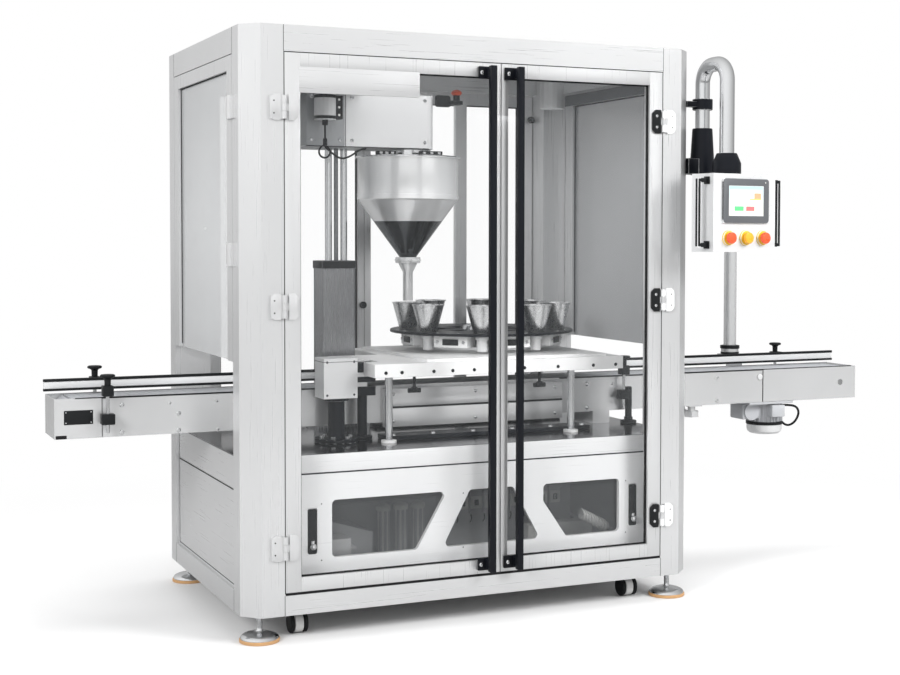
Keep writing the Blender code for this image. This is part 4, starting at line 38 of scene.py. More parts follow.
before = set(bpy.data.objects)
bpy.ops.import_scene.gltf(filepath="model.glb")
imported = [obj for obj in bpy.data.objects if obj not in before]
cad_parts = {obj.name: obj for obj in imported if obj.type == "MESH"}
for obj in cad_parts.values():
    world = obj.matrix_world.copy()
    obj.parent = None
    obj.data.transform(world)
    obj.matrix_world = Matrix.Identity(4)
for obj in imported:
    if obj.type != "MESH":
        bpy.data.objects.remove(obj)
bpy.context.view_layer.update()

# The machine frame's middle, seen from the middle of the whole footprint
SHIFT = Vector((-0.256, 0.0897, 0.0))

Piece = bpy.types.Object
Socket = bpy.types.NodeSocket
Point = tuple[float, float, float]
Span = tuple[float, float]
Profile = list[Span]


class Axis(Enum):
    """Direction a round piece or a grain runs along."""

    X = "X"
    Y = "Y"
    Z = "Z"


class Grain(Enum):
    """How the brushing of a metal runs."""

    ALONG_X = (0.6, 90.0, 90.0)
    ALONG_Y = (90.0, 0.6, 90.0)
    ALONG_Z = (90.0, 90.0, 0.6)
    NONE = (14.0, 14.0, 14.0)


def at(x: float, y: float, z: float) -> Vector:
    """A point of the machine frame as a point of the row frame."""
    return Vector((x, y, z)) + SHIFT


def home(x: float, y: float, z: float) -> Point:
    """A point measured from the row frame's origin, for a model that is copied to its places."""
    return x - SHIFT.x, y - SHIFT.y, z


def around(centre: Point, radius: float, count: int, phase: float = 0.0) -> list[Point]:
    """Places spaced evenly on a level circle.

    Args:
        centre: middle of the circle.
        radius: its radius.
        count: how many places.
        phase: angle of the first one.

    Returns:
        The places.
    """
    x, y, z = centre
    turns = [phase + math.tau * index / count for index in range(count)]
    return [(x + radius * math.cos(turn), y + radius * math.sin(turn), z) for turn in turns]


# Finishes
class NodeBook:
    """Builds the node tree of one material around its Principled shader."""

    def __init__(self, name: str) -> None:
        """Starts a material with a Principled shader and object coordinates."""
        self.material = bpy.data.materials.new(name)
        self.material.use_nodes = True
        self.tree = self.material.node_tree
        self.shader = self.tree.nodes["Principled BSDF"]
        self.coords = self.tree.nodes.new("ShaderNodeTexCoord").outputs["Object"]

    def link(self, source: Socket, target: Socket) -> None:
        """Joins two sockets."""
        self.tree.links.new(source, target)

    def noise(self, scale: tuple[float, float, float], detail: float = 4.0, size: float = 1.0) -> Socket:
        """Noise over stretched object coordinates.

        Args:
            scale: stretch of the coordinates along X, Y and Z.
            detail: octaves of the noise.
            size: the noise's own scale.

        Returns:
            The noise's factor socket.
        """
        mapping = self.tree.nodes.new("ShaderNodeMapping")
        mapping.inputs["Scale"].default_value = scale
        self.link(self.coords, mapping.inputs["Vector"])
        noise = self.tree.nodes.new("ShaderNodeTexNoise")
        noise.inputs["Scale"].default_value = size
        noise.inputs["Detail"].default_value = detail
        self.link(mapping.outputs["Vector"], noise.inputs["Vector"])
        return noise.outputs["Fac"]

    def spread(self, factor: Socket, low: float, high: float) -> Socket:
        """Maps the middle of a noise onto the range from low to high.

        Args:
            factor: the noise.
            low: value at the dark end.
            high: value at the bright end.

        Returns:
            The mapped value.
        """
        ranged = self.tree.nodes.new("ShaderNodeMapRange")
        ranged.inputs["From Min"].default_value = 0.3
        ranged.inputs["From Max"].default_value = 0.7
        ranged.inputs["To Min"].default_value = low
        ranged.inputs["To Max"].default_value = high
        self.link(factor, ranged.inputs["Value"])
        return ranged.outputs["Result"]

    def shades(self, factor: Socket, dark: Point, light: Point) -> Socket:
        """Runs a colour between two shades by a noise.

        Args:
            factor: the noise.
            dark: colour at its low end.
            light: colour at its high end.

        Returns:
            The colour socket.
        """
        ramp = self.tree.nodes.new("ShaderNodeValToRGB")
        ramp.color_ramp.elements[0].position = 0.32
        ramp.color_ramp.elements[1].position = 0.68
        ramp.color_ramp.elements[0].color = (*dark, 1.0)
        ramp.color_ramp.elements[1].color = (*light, 1.0)
        self.link(factor, ramp.inputs["Fac"])
        return ramp.outputs["Color"]

    def bump(self, factor: Socket, strength: float, depth: float) -> None:
        """Presses a noise into the shading normal."""
        bump = self.tree.nodes.new("ShaderNodeBump")
        bump.inputs["Strength"].default_value = strength
        bump.inputs["Distance"].default_value = depth
        self.link(factor, bump.inputs["Height"])
        self.link(bump.outputs["Normal"], self.shader.inputs["Normal"])


def tint(colour: Point, share: float) -> Point:
    """A colour made lighter or darker by a share of itself."""
    return tuple(min(1.0, channel * (1.0 + share)) for channel in colour)


@dataclass(frozen=True)
class Finish:
    """A surface: its colour, sheen, the grain of its wear and how strong that is."""

    name: str
    slot: str
    colour: Point
    roughness: float
    metallic: float = 0.0
    grain: Grain = Grain.NONE
    variation: float = 0.04
    gloss_spread: float = 0.05
    relief: float = 0.08
    relief_depth: float = 0.0002
    coat: float = 0.0
    specular: float = 0.5

    def make(self) -> bpy.types.Material:
        """Builds the finish's material, once.

        Returns:
            The material.
        """
        known = bpy.data.materials.get(self.name)
        if known:
            return known
        book = NodeBook(self.name)
        shader = book.shader
        shader.inputs["Metallic"].default_value = self.metallic
        shader.inputs["Coat Weight"].default_value = self.coat
        shader.inputs["Specular IOR Level"].default_value = self.specular
        cloud = book.noise((1.0, 1.0, 1.0), 3.0, 2.6)
        dark, light = tint(self.colour, -self.variation), tint(self.colour, self.variation)
        book.link(book.shades(cloud, dark, light), shader.inputs["Base Color"])
        grain = book.noise(self.grain.value, 5.0, 6.0)
        low, high = max(0.02, self.roughness - self.gloss_spread), self.roughness + self.gloss_spread
        book.link(book.spread(grain, low, high), shader.inputs["Roughness"])
        book.bump(grain, self.relief, self.relief_depth)
        return book.material


@dataclass(frozen=True)
class ClearPane:
    """A see-through pane that mirrors more at a glancing angle."""

    name: str
    slot: str
    colour: Point
    facing: float
    glancing: float
    roughness: float = 0.03

    def make(self) -> bpy.types.Material:
        """Builds the pane's material, once.

        Returns:
            The material.
        """
        known = bpy.data.materials.get(self.name)
        if known:
            return known
        book = NodeBook(self.name)
        shader = book.shader
        smear = book.noise((0.8, 0.8, 2.4), 3.0, 1.4)
        book.link(book.shades(smear, tint(self.colour, -0.03), self.colour), shader.inputs["Base Color"])
        book.link(book.spread(smear, self.roughness * 0.6, self.roughness * 1.8), shader.inputs["Roughness"])
        weight = book.tree.nodes.new("ShaderNodeLayerWeight")
        weight.inputs["Blend"].default_value = 0.35
        ranged = book.tree.nodes.new("ShaderNodeMapRange")
        ranged.inputs["To Min"].default_value = self.facing
        ranged.inputs["To Max"].default_value = self.glancing
        book.link(weight.outputs["Facing"], ranged.inputs["Value"])
        book.link(ranged.outputs["Result"], shader.inputs["Alpha"])
        return book.material


STEEL_X = Finish(
    "brushed_steel_along_x", "brushed_steel", (0.77, 0.775, 0.78), 0.30, 0.65, Grain.ALONG_X, 0.02, 0.03, 0.03
)
STEEL_Y = Finish(
    "brushed_steel_along_y", "brushed_steel", (0.77, 0.775, 0.78), 0.30, 0.65, Grain.ALONG_Y, 0.02, 0.03, 0.03
)
STEEL_Z = Finish(
    "brushed_steel_along_z", "brushed_steel", (0.77, 0.775, 0.78), 0.30, 0.65, Grain.ALONG_Z, 0.02, 0.03, 0.03
)
BRIGHT_SHEET = Finish(
    "bright_sheet", "brushed_steel", (0.80, 0.805, 0.81), 0.30, 0.30, Grain.ALONG_X, 0.02, 0.03, 0.03
)
PLATE_STEEL = Finish(
    "smooth_plate_steel", "brushed_steel", (0.76, 0.765, 0.77), 0.24, 0.60, Grain.ALONG_X, 0.02, 0.03, 0.02
)
POLISHED = Finish(
    "polished_steel_finish", "polished_steel", (0.80, 0.81, 0.82), 0.14, 1.0, Grain.NONE, 0.02, 0.03, 0.01
)
BOWL_STEEL = Finish(
    "smooth_bowl_steel", "polished_steel", (0.90, 0.905, 0.91), 0.20, 0.55, Grain.ALONG_Z, 0.02, 0.03, 0.01
)
BRUSHED_BOWL = Finish(
    "brushed_funnel_steel", "polished_steel", (0.76, 0.765, 0.77), 0.28, 1.0, Grain.ALONG_Z, 0.04, 0.04, 0.04
)
DARK_POLISH = Finish(
    "dark_polished_steel", "polished_steel", (0.30, 0.31, 0.32), 0.14, 1.0, Grain.ALONG_Z, 0.05, 0.04, 0.01
)
# Near-black polished steel for the hopper's cone: the dark colour is painted reflection of the dark parts round it
CONE_PAINTED_REFLECTION = Finish(
    "cone_steel_painted_dark_reflection", "polished_steel", (0.085, 0.09, 0.095), 0.18, 1.0, Grain.ALONG_Z, 0.10, 0.04, 0.01
)
TABLE_STEEL = Finish(
    "reflective_table_steel", "polished_steel", (0.20, 0.205, 0.215), 0.13, 1.0, Grain.ALONG_X, 0.05, 0.03, 0.01
)
MACHINED = Finish("machined_aluminium_finish", "machined_aluminium", (0.84, 0.845, 0.85), 0.32, 0.4, Grain.ALONG_X)
BED_WHITE = Finish("bright_bed_plate", "machined_aluminium", (0.90, 0.90, 0.90), 0.34, 0.1, Grain.ALONG_X, 0.02)
HOUSING = Finish("white_housing_sheet", "machined_aluminium", (0.88, 0.885, 0.885), 0.42, 0.0, Grain.NONE, 0.02)
COLUMN_GREY = Finish(
    "grey_column_steel", "brushed_steel", (0.36, 0.365, 0.375), 0.26, 0.9, Grain.ALONG_Z, 0.10, 0.03, 0.02
)
HEAD_SHEET = Finish("pale_head_sheet", "machined_aluminium", (0.66, 0.665, 0.67), 0.38, 0.2, Grain.NONE, 0.03)
HOUSING_GREY = Finish("grey_housing_sheet", "machined_aluminium", (0.34, 0.35, 0.36), 0.36, 0.3, Grain.NONE, 0.04)
BLACK_PLASTIC = Finish("black_plastic_finish", "black_plastic", (0.010, 0.011, 0.012), 0.45, relief=0.2, specular=0.25)
BLACK_PAINT = Finish(
    "black_paint_finish", "black_paint", (0.006, 0.007, 0.010), 0.34, gloss_spread=0.02, relief=0.02, specular=0.2
)
RUBBER = Finish("black_rubber_finish", "black_rubber", (0.012, 0.012, 0.013), 0.66, relief=0.3, specular=0.25)
MOTOR_GREY = Finish("grey_motor_enamel", "grey_motor_paint", (0.50, 0.51, 0.53), 0.42, relief=0.15)
CHAIN_GREY = Finish("grey_chain_finish", "grey_chain_plastic", (0.36, 0.37, 0.39), 0.46, relief=0.2)
PARTS_GREY = Finish("electrical_grey", "electrical_parts", (0.60, 0.61, 0.62), 0.45)
DUCT_WHITE = Finish("duct_white", "electrical_parts", (0.86, 0.86, 0.84), 0.5)
BEZEL_GREY = Finish("dark_grey_bezel", "black_plastic", (0.115, 0.120, 0.128), 0.38)
BUTTON_RED = Finish("orange_red_button", "red_button", (0.86, 0.10, 0.03), 0.30, coat=0.4)
BUTTON_AMBER = Finish("amber_button", "yellow_button", (0.93, 0.42, 0.03), 0.30, coat=0.4)
COLLAR_YELLOW = Finish("yellow_collar", "yellow_button", (0.90, 0.62, 0.05), 0.38)
FOOT_TAN = Finish("tan_foot_ring", "black_rubber", (0.62, 0.36, 0.17), 0.55)
HUB_WHITE = Finish("white_hub", "grey_motor_paint", (0.80, 0.80, 0.79), 0.40)
LAMP_WHITE = Finish("lamp_diffuser", "clear_glass", (0.93, 0.94, 0.95), 0.30)
CLEAR_GLASS = ClearPane("clear_door_glass", "clear_glass", (0.72, 0.75, 0.77), 0.012, 0.12)
HAZY_PANE = ClearPane("hazy_side_pane", "clear_glass", (0.70, 0.71, 0.72), 0.40, 0.70, 0.16)
GREY_PANE = ClearPane("grey_side_pane", "clear_glass", (0.34, 0.35, 0.36), 0.62, 0.80, 0.12)
SMOKED_PANE = ClearPane("smoked_cabinet_pane", "smoked_pane", (0.10, 0.105, 0.11), 0.22, 0.42, 0.08)


# Modelling
class Maker:
    """Models pieces with Blender's own tools and hands them over finished."""

    @staticmethod
    def clear_selection() -> None:
        """Leaves edit mode and selects nothing."""
        if bpy.context.object and bpy.context.object.mode != "OBJECT":
            bpy.ops.object.mode_set(mode="OBJECT")
        bpy.ops.object.select_all(action="DESELECT")

    @staticmethod
    def only(piece: Piece) -> None:
        """Makes one object the selected and active one."""
        Maker.clear_selection()
        piece.select_set(True)
        bpy.context.view_layer.objects.active = piece

    @staticmethod
    def settle(piece: Piece) -> Piece:
        """Applies an object's place, turn and size to its mesh.

        Args:
            piece: the object.

        Returns:
            The same object.
        """
        Maker.only(piece)
        bpy.ops.object.transform_apply(location=True, rotation=True, scale=True)
        return piece

    @staticmethod
    def soften(piece: Piece, width: float, segments: int = 2) -> Piece:
        """Rounds the sharp edges by a small bevel and applies it.

        Args:
            piece: the object.
            width: width of the bevel.
            segments: steps across it.

        Returns:
            The same object.
        """
        Maker.only(piece)
        bevel = piece.modifiers.new("edge", "BEVEL")
        bevel.width = width
        bevel.segments = segments
        bevel.limit_method = "ANGLE"
        bpy.ops.object.modifier_apply(modifier=bevel.name)
        bpy.ops.object.shade_smooth_by_angle(angle=math.radians(35))
        return piece

    @staticmethod
    def block(name: str, low: Point, high: Point, edge: float = 0.0008) -> Piece:
        """A box between two corners with softened edges.

        Args:
            name: name of the piece.
            low: lowest corner in the machine frame.
            high: highest corner.
            edge: width of the edge bevel, or 0 for sharp edges.

        Returns:
            The piece.
        """
        Maker.clear_selection()
        middle = (at(*low) + at(*high)) / 2
        bpy.ops.mesh.primitive_cube_add(size=1.0, location=middle)
        piece = bpy.context.object
        piece.name = name
        piece.scale = [high[axis] - low[axis] for axis in range(3)]
        Maker.settle(piece)
        return Maker.soften(piece, edge) if edge else piece

    @staticmethod
    def span(name: str, xs: Span, ys: Span, zs: Span, edge: float = 0.0) -> Piece:
        """A box between two bounds along each axis, given in any order.

        Args:
            name: name of the piece.
            xs: bounds along X in the machine frame.
            ys: bounds along Y.
            zs: bounds along Z.
            edge: width of the edge bevel, or 0 for sharp edges.

        Returns:
            The piece.
        """
        low, high = zip(*(sorted(bounds) for bounds in (xs, ys, zs)))
        return Maker.block(name, low, high, edge)

    @staticmethod
    def cut(piece: Piece, tools: list[Piece]) -> None:
        """Cuts tools out of a piece and removes them.

        Args:
            piece: the piece that is cut.
            tools: the pieces that are cut away.
        """
        for tool in tools:
            Maker.only(piece)
            boolean = piece.modifiers.new("cut", "BOOLEAN")
            boolean.operation, boolean.solver, boolean.object = "DIFFERENCE", "EXACT", tool
            bpy.ops.object.modifier_apply(modifier=boolean.name)
            bpy.data.objects.remove(tool, do_unlink=True)

    @staticmethod
    def clipped(
        name: str, low: Point, high: Point, corner: float, axis: Axis = Axis.Y, side: int = 0, steps: int = 1
    ) -> Piece:
        """A plate whose corners, seen along an axis, are cut off or rounded.

        Args:
            name: name of the piece.
            low: lowest corner in the machine frame.
            high: highest corner.
            corner: width of the cut at each corner.
            axis: the axis the cut edges run along.
            side: -1 or 1 to cut only the corners on that side along X, 0 for all four.
            steps: 1 for a straight cut, more for a round corner.

        Returns:
            The piece.
        """
        piece = Maker.block(name, low, high, 0.0)
        Maker.only(piece)
        bpy.ops.object.mode_set(mode="EDIT")
        bpy.ops.mesh.select_mode(type="EDGE")
        bpy.ops.mesh.select_all(action="DESELECT")
        bpy.ops.object.mode_set(mode="OBJECT")
        along, middle = "XYZ".index(axis.value), (at(*low).x + at(*high).x) / 2
        for line in piece.data.edges:
            start, stop = (piece.data.vertices[index].co for index in line.vertices)
            runs = abs((stop - start)[along]) > 1e-5
            line.select = runs and (side == 0 or (start.x - middle) * side > 0)
        bpy.ops.object.mode_set(mode="EDIT")
        bpy.ops.mesh.bevel(offset=corner, segments=steps, affect="EDGES")
        bpy.ops.mesh.select_mode(type="VERT")
        bpy.ops.object.mode_set(mode="OBJECT")
        return Maker.soften(piece, 0.0006)

    @staticmethod
    def turned(
        name: str, profile: Profile, centre: Point, axis: Axis = Axis.Z, steps: int = 48, angle: float = 32.0
    ) -> Piece:
        """A profile of (radius, height) carried round an axis, drawn ring by ring.

        Args:
            name: name of the piece.
            profile: the points, from one end of the piece to the other.
            centre: the point heights are measured from, in the machine frame.
            axis: the axis it is turned about.
            steps: sides of each ring.
            angle: edges sharper than this stay crisp.

        Returns:
            The piece.
        """
        Maker.clear_selection()
        tip = 0.00002
        radius, height = max(profile[0][0], tip), profile[0][1]
        bpy.ops.mesh.primitive_circle_add(vertices=steps, radius=radius, location=(0.0, 0.0, height))
        piece = bpy.context.object
        piece.name = name
        bpy.ops.object.transform_apply(location=True, rotation=True, scale=True)
        bpy.ops.object.mode_set(mode="EDIT")
        bpy.ops.mesh.select_all(action="SELECT")
        for next_radius, next_height in profile[1:]:
            next_radius = max(next_radius, tip)
            rise = (0.0, 0.0, next_height - height)
            bpy.ops.mesh.extrude_edges_move(TRANSFORM_OT_translate={"value": rise})
            share = next_radius / radius
            bpy.ops.transform.resize(value=(share, share, 1.0), center_override=(0.0, 0.0, next_height))
            radius, height = next_radius, next_height
        bpy.ops.mesh.select_all(action="SELECT")
        bpy.ops.mesh.remove_doubles(threshold=0.00006)
        bpy.ops.mesh.select_all(action="SELECT")
        bpy.ops.mesh.normals_make_consistent(inside=False)
        bpy.ops.object.mode_set(mode="OBJECT")
        if axis is Axis.X:
            piece.rotation_euler = (0.0, math.radians(90), 0.0)
        if axis is Axis.Y:
            piece.rotation_euler = (math.radians(-90), 0.0, 0.0)
        piece.location = at(*centre)
        Maker.settle(piece)
        bpy.ops.object.shade_smooth_by_angle(angle=math.radians(angle))
        return piece

    @staticmethod
    def rod(
        name: str,
        radius: float,
        start: Point,
        length: float,
        axis: Axis = Axis.Z,
        edge: float = 0.0008,
        steps: int = 32,
    ) -> Piece:
        """A round bar with chamfered ends.

        Args:
            name: name of the piece.
            radius: its radius.
            start: middle of its first end, in the machine frame.
            length: its length along the axis.
            axis: the axis it runs along.
            edge: chamfer of both ends.
            steps: sides of the bar.

        Returns:
            The piece.
        """
        profile = [(0.0, 0.0), (radius - edge, 0.0), (radius, edge)]
        profile += [(radius, length - edge), (radius - edge, length), (0.0, length)]
        return Maker.turned(name, profile, start, axis, steps)

    @staticmethod
    def swept(name: str, points: list[Point], radius: float, smooth: bool = True, steps: int = 4) -> Piece:
        """A round tube or cable along points, made as a curve and turned into a mesh.

        Args:
            name: name of the piece.
            points: the route in the machine frame.
            radius: radius of the tube.
            smooth: True for a curve through the points, False for straight runs.
            steps: resolution of the round section.

        Returns:
            The piece.
        """
        Maker.clear_selection()
        curve = bpy.data.curves.new(name, "CURVE")
        curve.dimensions = "3D"
        curve.bevel_depth = radius
        curve.bevel_resolution = steps
        curve.use_fill_caps = True
        curve.resolution_u = 8
        spline = curve.splines.new("NURBS" if smooth else "POLY")
        spline.points.add(len(points) - 1)
        for place, point in zip(spline.points, points):
            place.co = (*at(*point), 1.0)
        if smooth:
            spline.order_u = 3
            spline.use_endpoint_u = True
        piece = bpy.data.objects.new(name, curve)
        bpy.context.scene.collection.objects.link(piece)
        Maker.only(piece)
        bpy.ops.object.convert(target="MESH")
        bpy.ops.object.shade_smooth_by_angle(angle=math.radians(40))
        return bpy.context.object

    @staticmethod
    def joined(name: str, pieces: list[Piece]) -> Piece:
        """Several objects as one.

        Args:
            name: name of the result.
            pieces: the objects, all with their place in their meshes.

        Returns:
            The joined piece.
        """
        Maker.only(pieces[0])
        for piece in pieces:
            piece.select_set(True)
        bpy.context.view_layer.objects.active = pieces[0]
        bpy.ops.object.join()
        result = bpy.context.object
        result.name = name
        return result

    @staticmethod
    def scattered(name: str, model: Piece, places: list[Point], turns: list[Matrix] | None = None) -> Piece:
        """Copies of a small piece, modelled at the row frame's origin, set at places and joined.

        Args:
            name: name of the result.
            model: the piece to copy. It is used up.
            places: where the copies go, in the machine frame.
            turns: a turn for each copy, or None.

        Returns:
            The joined piece.
        """
        copies = []
        for index, place in enumerate(places):
            copy = model.copy()
            copy.data = model.data.copy()
            bpy.context.scene.collection.objects.link(copy)
            turn = turns[index] if turns else Matrix.Identity(4)
            copy.data.transform(Matrix.Translation(at(*place)) @ turn)
            copies.append(copy)
        bpy.data.objects.remove(model, do_unlink=True)
        return Maker.joined(name, copies)

    @staticmethod
    def spun(name: str, model: Piece, place: Point, turns: list[float]) -> Piece:
        """Copies of a piece, modelled at the row frame's origin, at one place with several turns about Z.

        Args:
            name: name of the result.
            model: the piece to copy. It is used up.
            place: where the origin goes, in the machine frame.
            turns: the angles.

        Returns:
            The joined piece.
        """
        spins = [Matrix.Rotation(turn, 4, "Z") for turn in turns]
        return Maker.scattered(name, model, [place] * len(spins), spins)

    @staticmethod
    def screw(radius: float, height: float, axis: Axis = Axis.Y, outward: float = -1.0) -> Piece:
        """A domed screw head with a socket, at the row frame's origin, for Maker.scattered.

        Args:
            radius: radius of the head.
            height: height of the dome.
            axis: axis it stands along.
            outward: sign of the side the head faces.

        Returns:
            The model of the screw.
        """
        socket = radius * 0.42
        dome = [(0.0, -0.4), (radius, -0.4), (radius, 0.35), (radius * 0.8, 0.8), (socket, 1.0), (socket, 0.45)]
        profile = [(reach, height * rise * outward) for reach, rise in [*dome, (0.0, 0.45)]]
        return Maker.turned("screw", profile, tuple(-SHIFT), axis, 12, 40.0)


def dress(piece: Piece, finish: Finish | ClearPane, body: str = "machine") -> Piece:
    """Gives a piece its finish and fixes it to a body.

    Args:
        piece: the new piece.
        finish: its finish.
        body: the body it moves with.

    Returns:
        The same piece.
    """
    piece.data.materials.clear()
    piece.data.materials.append(finish.make())
    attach(piece, body)
    LOG.info("made %s", piece.name)
    return piece


def maths(tree: bpy.types.NodeTree, operation: str, left: Socket, right: Socket | float) -> Socket:
    """Sets one sum of two values in a node tree.

    Args:
        tree: the node tree.
        operation: the kind of sum.
        left: the first value.
        right: the second value, from another node or as a number.

    Returns:
        The result.
    """
    node = tree.nodes.new("ShaderNodeMath")
    node.operation = operation
    tree.links.new(left, node.inputs[0])
    if isinstance(right, float):
        node.inputs[1].default_value = right
    else:
        tree.links.new(right, node.inputs[1])
    return node.outputs[0]


def fit(name: str, parts: list[Piece], finish: Finish | ClearPane, body: str = "machine", node: str = "") -> None:
    """Joins parts to one piece, dresses it and lets it stand for a node.

    Args:
        name: name of the piece.
        parts: what it is made of.
        finish: its finish.
        body: the body it moves with.
        node: the node it replaces, or nothing.
    """
    piece = dress(Maker.joined(name, parts), finish, body)
    if node:
        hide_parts(node)


def screws(name: str, size: Span, spots: list[Point], finish: Finish, body: str = "machine") -> None:
    """Sets one kind of screw head, facing the front, at several spots.

    Args:
        name: name of the piece.
        size: radius and height of the head.
        spots: the places in the machine frame.
        finish: their finish.
        body: the body they move with.
    """
    dress(Maker.scattered(name, Maker.screw(*size), spots), finish, body)


def coat(nodes: list[str], finish: Finish | ClearPane) -> None:
    """Gives carried-over nodes a finish."""
    for name in nodes:
        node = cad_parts[name]
        node.data.materials.clear()
        node.data.materials.append(finish.make())


# Sub-assemblies
@dataclass
class MachineFrame:
    """Posts, beams and sheet panels, with the lamp face under the roof."""

    lamp: Point = (0.560, 0.100, 1.7385)
    lamp_radius: float = 0.043
    lamp_face: float = 0.0055
    reveal_x: float = 0.673
    posts: tuple[str, ...] = ("post_front_left", "post_front_right", "post_rear_left", "post_rear_right")
    beams: tuple[str, ...] = ("top_frame", "base_frame", "rear_panel")
    sides: tuple[str, ...] = ("side_panel_left", "side_panel_right")

    def build(self) -> None:
        """Coats the members and adds the lamp face."""
        coat(list(self.posts), STEEL_Z)
        coat(list(self.beams), STEEL_X)
        coat(list(self.sides), STEEL_Y)
        dress(Maker.rod("lamp_face", self.lamp_radius, self.lamp, self.lamp_face), LAMP_WHITE)
        self.make_reveals()
        self.make_seams()

    def make_reveals(self) -> None:
        """Makes the black seals in the gaps round the front doors."""
        edge, depth, top = self.reveal_x, (-0.5192, -0.512), 1.8242
        strips = []
        for side in (-1, 1):
            across = (side * (edge + 0.0002), side * (edge - 0.0029))
            strips.append(Maker.span("seal", across, depth, (0.156, 1.8238)))
        strips.append(Maker.span("seal", (-0.670, 0.670), depth, (1.8212, top)))
        strips.append(Maker.span("seal", (-0.671, 0.671), (-0.5206, depth[1]), (0.1480, 0.1557)))
        fit("door_seals", strips, RUBBER)

    def make_seams(self) -> None:
        """Makes the fine dark joint lines between posts, beams and side panels."""
        lines = []
        base_low, roof = 0.0855, (1.8242, 1.9046)
        for side in (-1, 1):
            x, outer, panel = side * self.reveal_x, (side * 0.8003, side * 0.7990), (side * 0.7884, side * 0.7872)
            for heights in ((base_low, 0.148), roof):
                lines.append(Maker.span("line", (x - 0.0008, x + 0.0008), (-0.5203, -0.5190), heights))
            for y in (-0.393, 0.393):
                for heights in ((base_low, 0.1533), roof):
                    lines.append(Maker.span("line", outer, (y - 0.0008, y + 0.0008), heights))
            for y in (-0.386, 0.386):
                lines.append(Maker.span("line", panel, (y - 0.0014, y + 0.0014), (0.160, 0.560)))
            for z in (0.160, 0.4605):
                lines.append(Maker.span("line", panel, (-0.386, 0.386), (z - 0.0014, z + 0.0014)))
        fit("frame_seams", lines, RUBBER)


@dataclass
class FeetAndCasters:
    """Levelling feet with their domes, rings and threads, and the transport casters."""

    foot_x: float = 0.7365
    foot_y: float = 0.4565
    pad_radius: float = 0.063
    pad_height: float = 0.010
    stem_radius: float = 0.009
    stem_top: float = 0.0847
    thread_pitch: float = 0.0026
    thread_start: float = 0.040
    nut_radius: float = 0.016
    nut_low: float = 0.0707
    caster_x: float = 0.600
    caster_y: float = 0.430
    trail: float = 0.020
    axle_z: float = 0.034
    wheel_radius: float = 0.031
    wheel_half: float = 0.0145
    cheek: float = 0.0285

    def build(self) -> None:
        """Makes the feet and the wheels of all four corners."""
        for side, side_name in ((-1, "left"), (1, "right")):
            for end, end_name in ((-1, "front"), (1, "rear")):
                corner = f"{end_name}_{side_name}"
                self.make_foot(corner, (side * self.foot_x, end * self.foot_y, 0.0))
                self.make_wheel(corner, (side * self.caster_x, end * self.caster_y + self.trail, self.axle_z))
                self.make_hood(corner, (side * self.caster_x, end * self.caster_y, 0.0))

    def make_foot(self, corner: str, place: Point) -> None:
        """Makes one foot: tan ring, chrome dome, threaded stem and nut.

        Args:
            corner: name of the corner.
            place: middle of the foot on the floor.
        """
        pad, height, stem = self.pad_radius, self.pad_height, self.stem_radius
        ring = Maker.rod(f"foot_ring_{corner}", pad, place, height, edge=0.001, steps=48)
        dress(ring, FOOT_TAN)
        dome = [(0.0, height), (pad - 0.003, height), (pad - 0.003, height + 0.002)]
        for step in range(1, 9):
            turn = math.pi / 2 * step / 8
            dome.append((0.0145 + (pad - 0.0175) * math.cos(turn), height + 0.002 + 0.018 * math.sin(turn)))
        dome += [(0.0115, height + 0.022), (stem, height + 0.027)]
        z = self.thread_start
        while z < self.nut_low:
            dome += [(stem, z), (stem - 0.0009, z + self.thread_pitch / 2)]
            z += self.thread_pitch
        dome += [(stem, self.stem_top), (0.0, self.stem_top)]
        foot = Maker.turned(f"foot_dome_{corner}", dome, place, angle=50.0)
        nut = Maker.rod("nut", self.nut_radius, (place[0], place[1], self.nut_low), 0.013, edge=0.0012, steps=6)
        foot = Maker.joined(f"foot_dome_{corner}", [foot, nut])
        dress(foot, POLISHED)
        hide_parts(f"foot_{corner}")

    def make_wheel(self, corner: str, centre: Point) -> None:
        """Makes one caster wheel: a rounded pale tread with a dark hub on each side.

        Args:
            corner: name of the corner.
            centre: middle of the wheel.
        """
        half, outer, bore = self.wheel_half, self.wheel_radius, 0.0150
        side = [(bore, half - 0.0015), (0.0250, half), (0.0290, half - 0.0010), (outer, half - 0.0045)]
        tread = [(radius, -depth) for radius, depth in side]
        tread += list(reversed(side)) + [(bore, -half + 0.0015)]
        body = f"caster_wheel_{corner}"
        tread_piece = dress(Maker.turned(f"tread_{corner}", tread, centre, Axis.X), HUB_WHITE, body)
        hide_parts(body)
        hub = [(0.0, half - 0.0006), (0.008, half - 0.0006), (0.010, half - 0.003), (0.0140, half - 0.004)]
        hub.append((bore, half - 0.0015))
        profile = [(radius, -depth) for radius, depth in hub] + list(reversed(hub))
        dress(Maker.turned(f"hub_{corner}", profile, centre, Axis.X), RUBBER, body)

    def make_hood(self, corner: str, pivot: Point) -> None:
        """Makes the swivelling fork: two round black cheeks under a bridge and a top plate.

        Args:
            corner: name of the corner.
            pivot: foot of the swivel axis on the floor.
        """
        x, y, _ = pivot
        wheel_y, inner = y + self.trail, self.wheel_half + 0.0015
        cheek = [(0.0, 0.0), (0.030, 0.0), (0.0325, 0.002), (0.0325, 0.010), (0.030, 0.012), (0.0, 0.012)]
        starts = [(side, wheel_y, self.axle_z + 0.0005) for side in (x - inner - 0.012, x + inner)]
        parts = [Maker.turned("cheek", cheek, start, Axis.X) for start in starts]
        half = self.cheek - 0.001
        parts.append(Maker.span("bridge", (x - half, x + half), (y - 0.012, wheel_y + 0.018), (0.0662, 0.0725), 0.002))
        parts.append(Maker.rod("race", 0.0235, (x, y, 0.0718), 0.0047, edge=0.001, steps=40))
        fit(f"fork_{corner}", parts, BLACK_PLASTIC, f"caster_swivel_{corner}", node=f"caster_fork_{corner}")


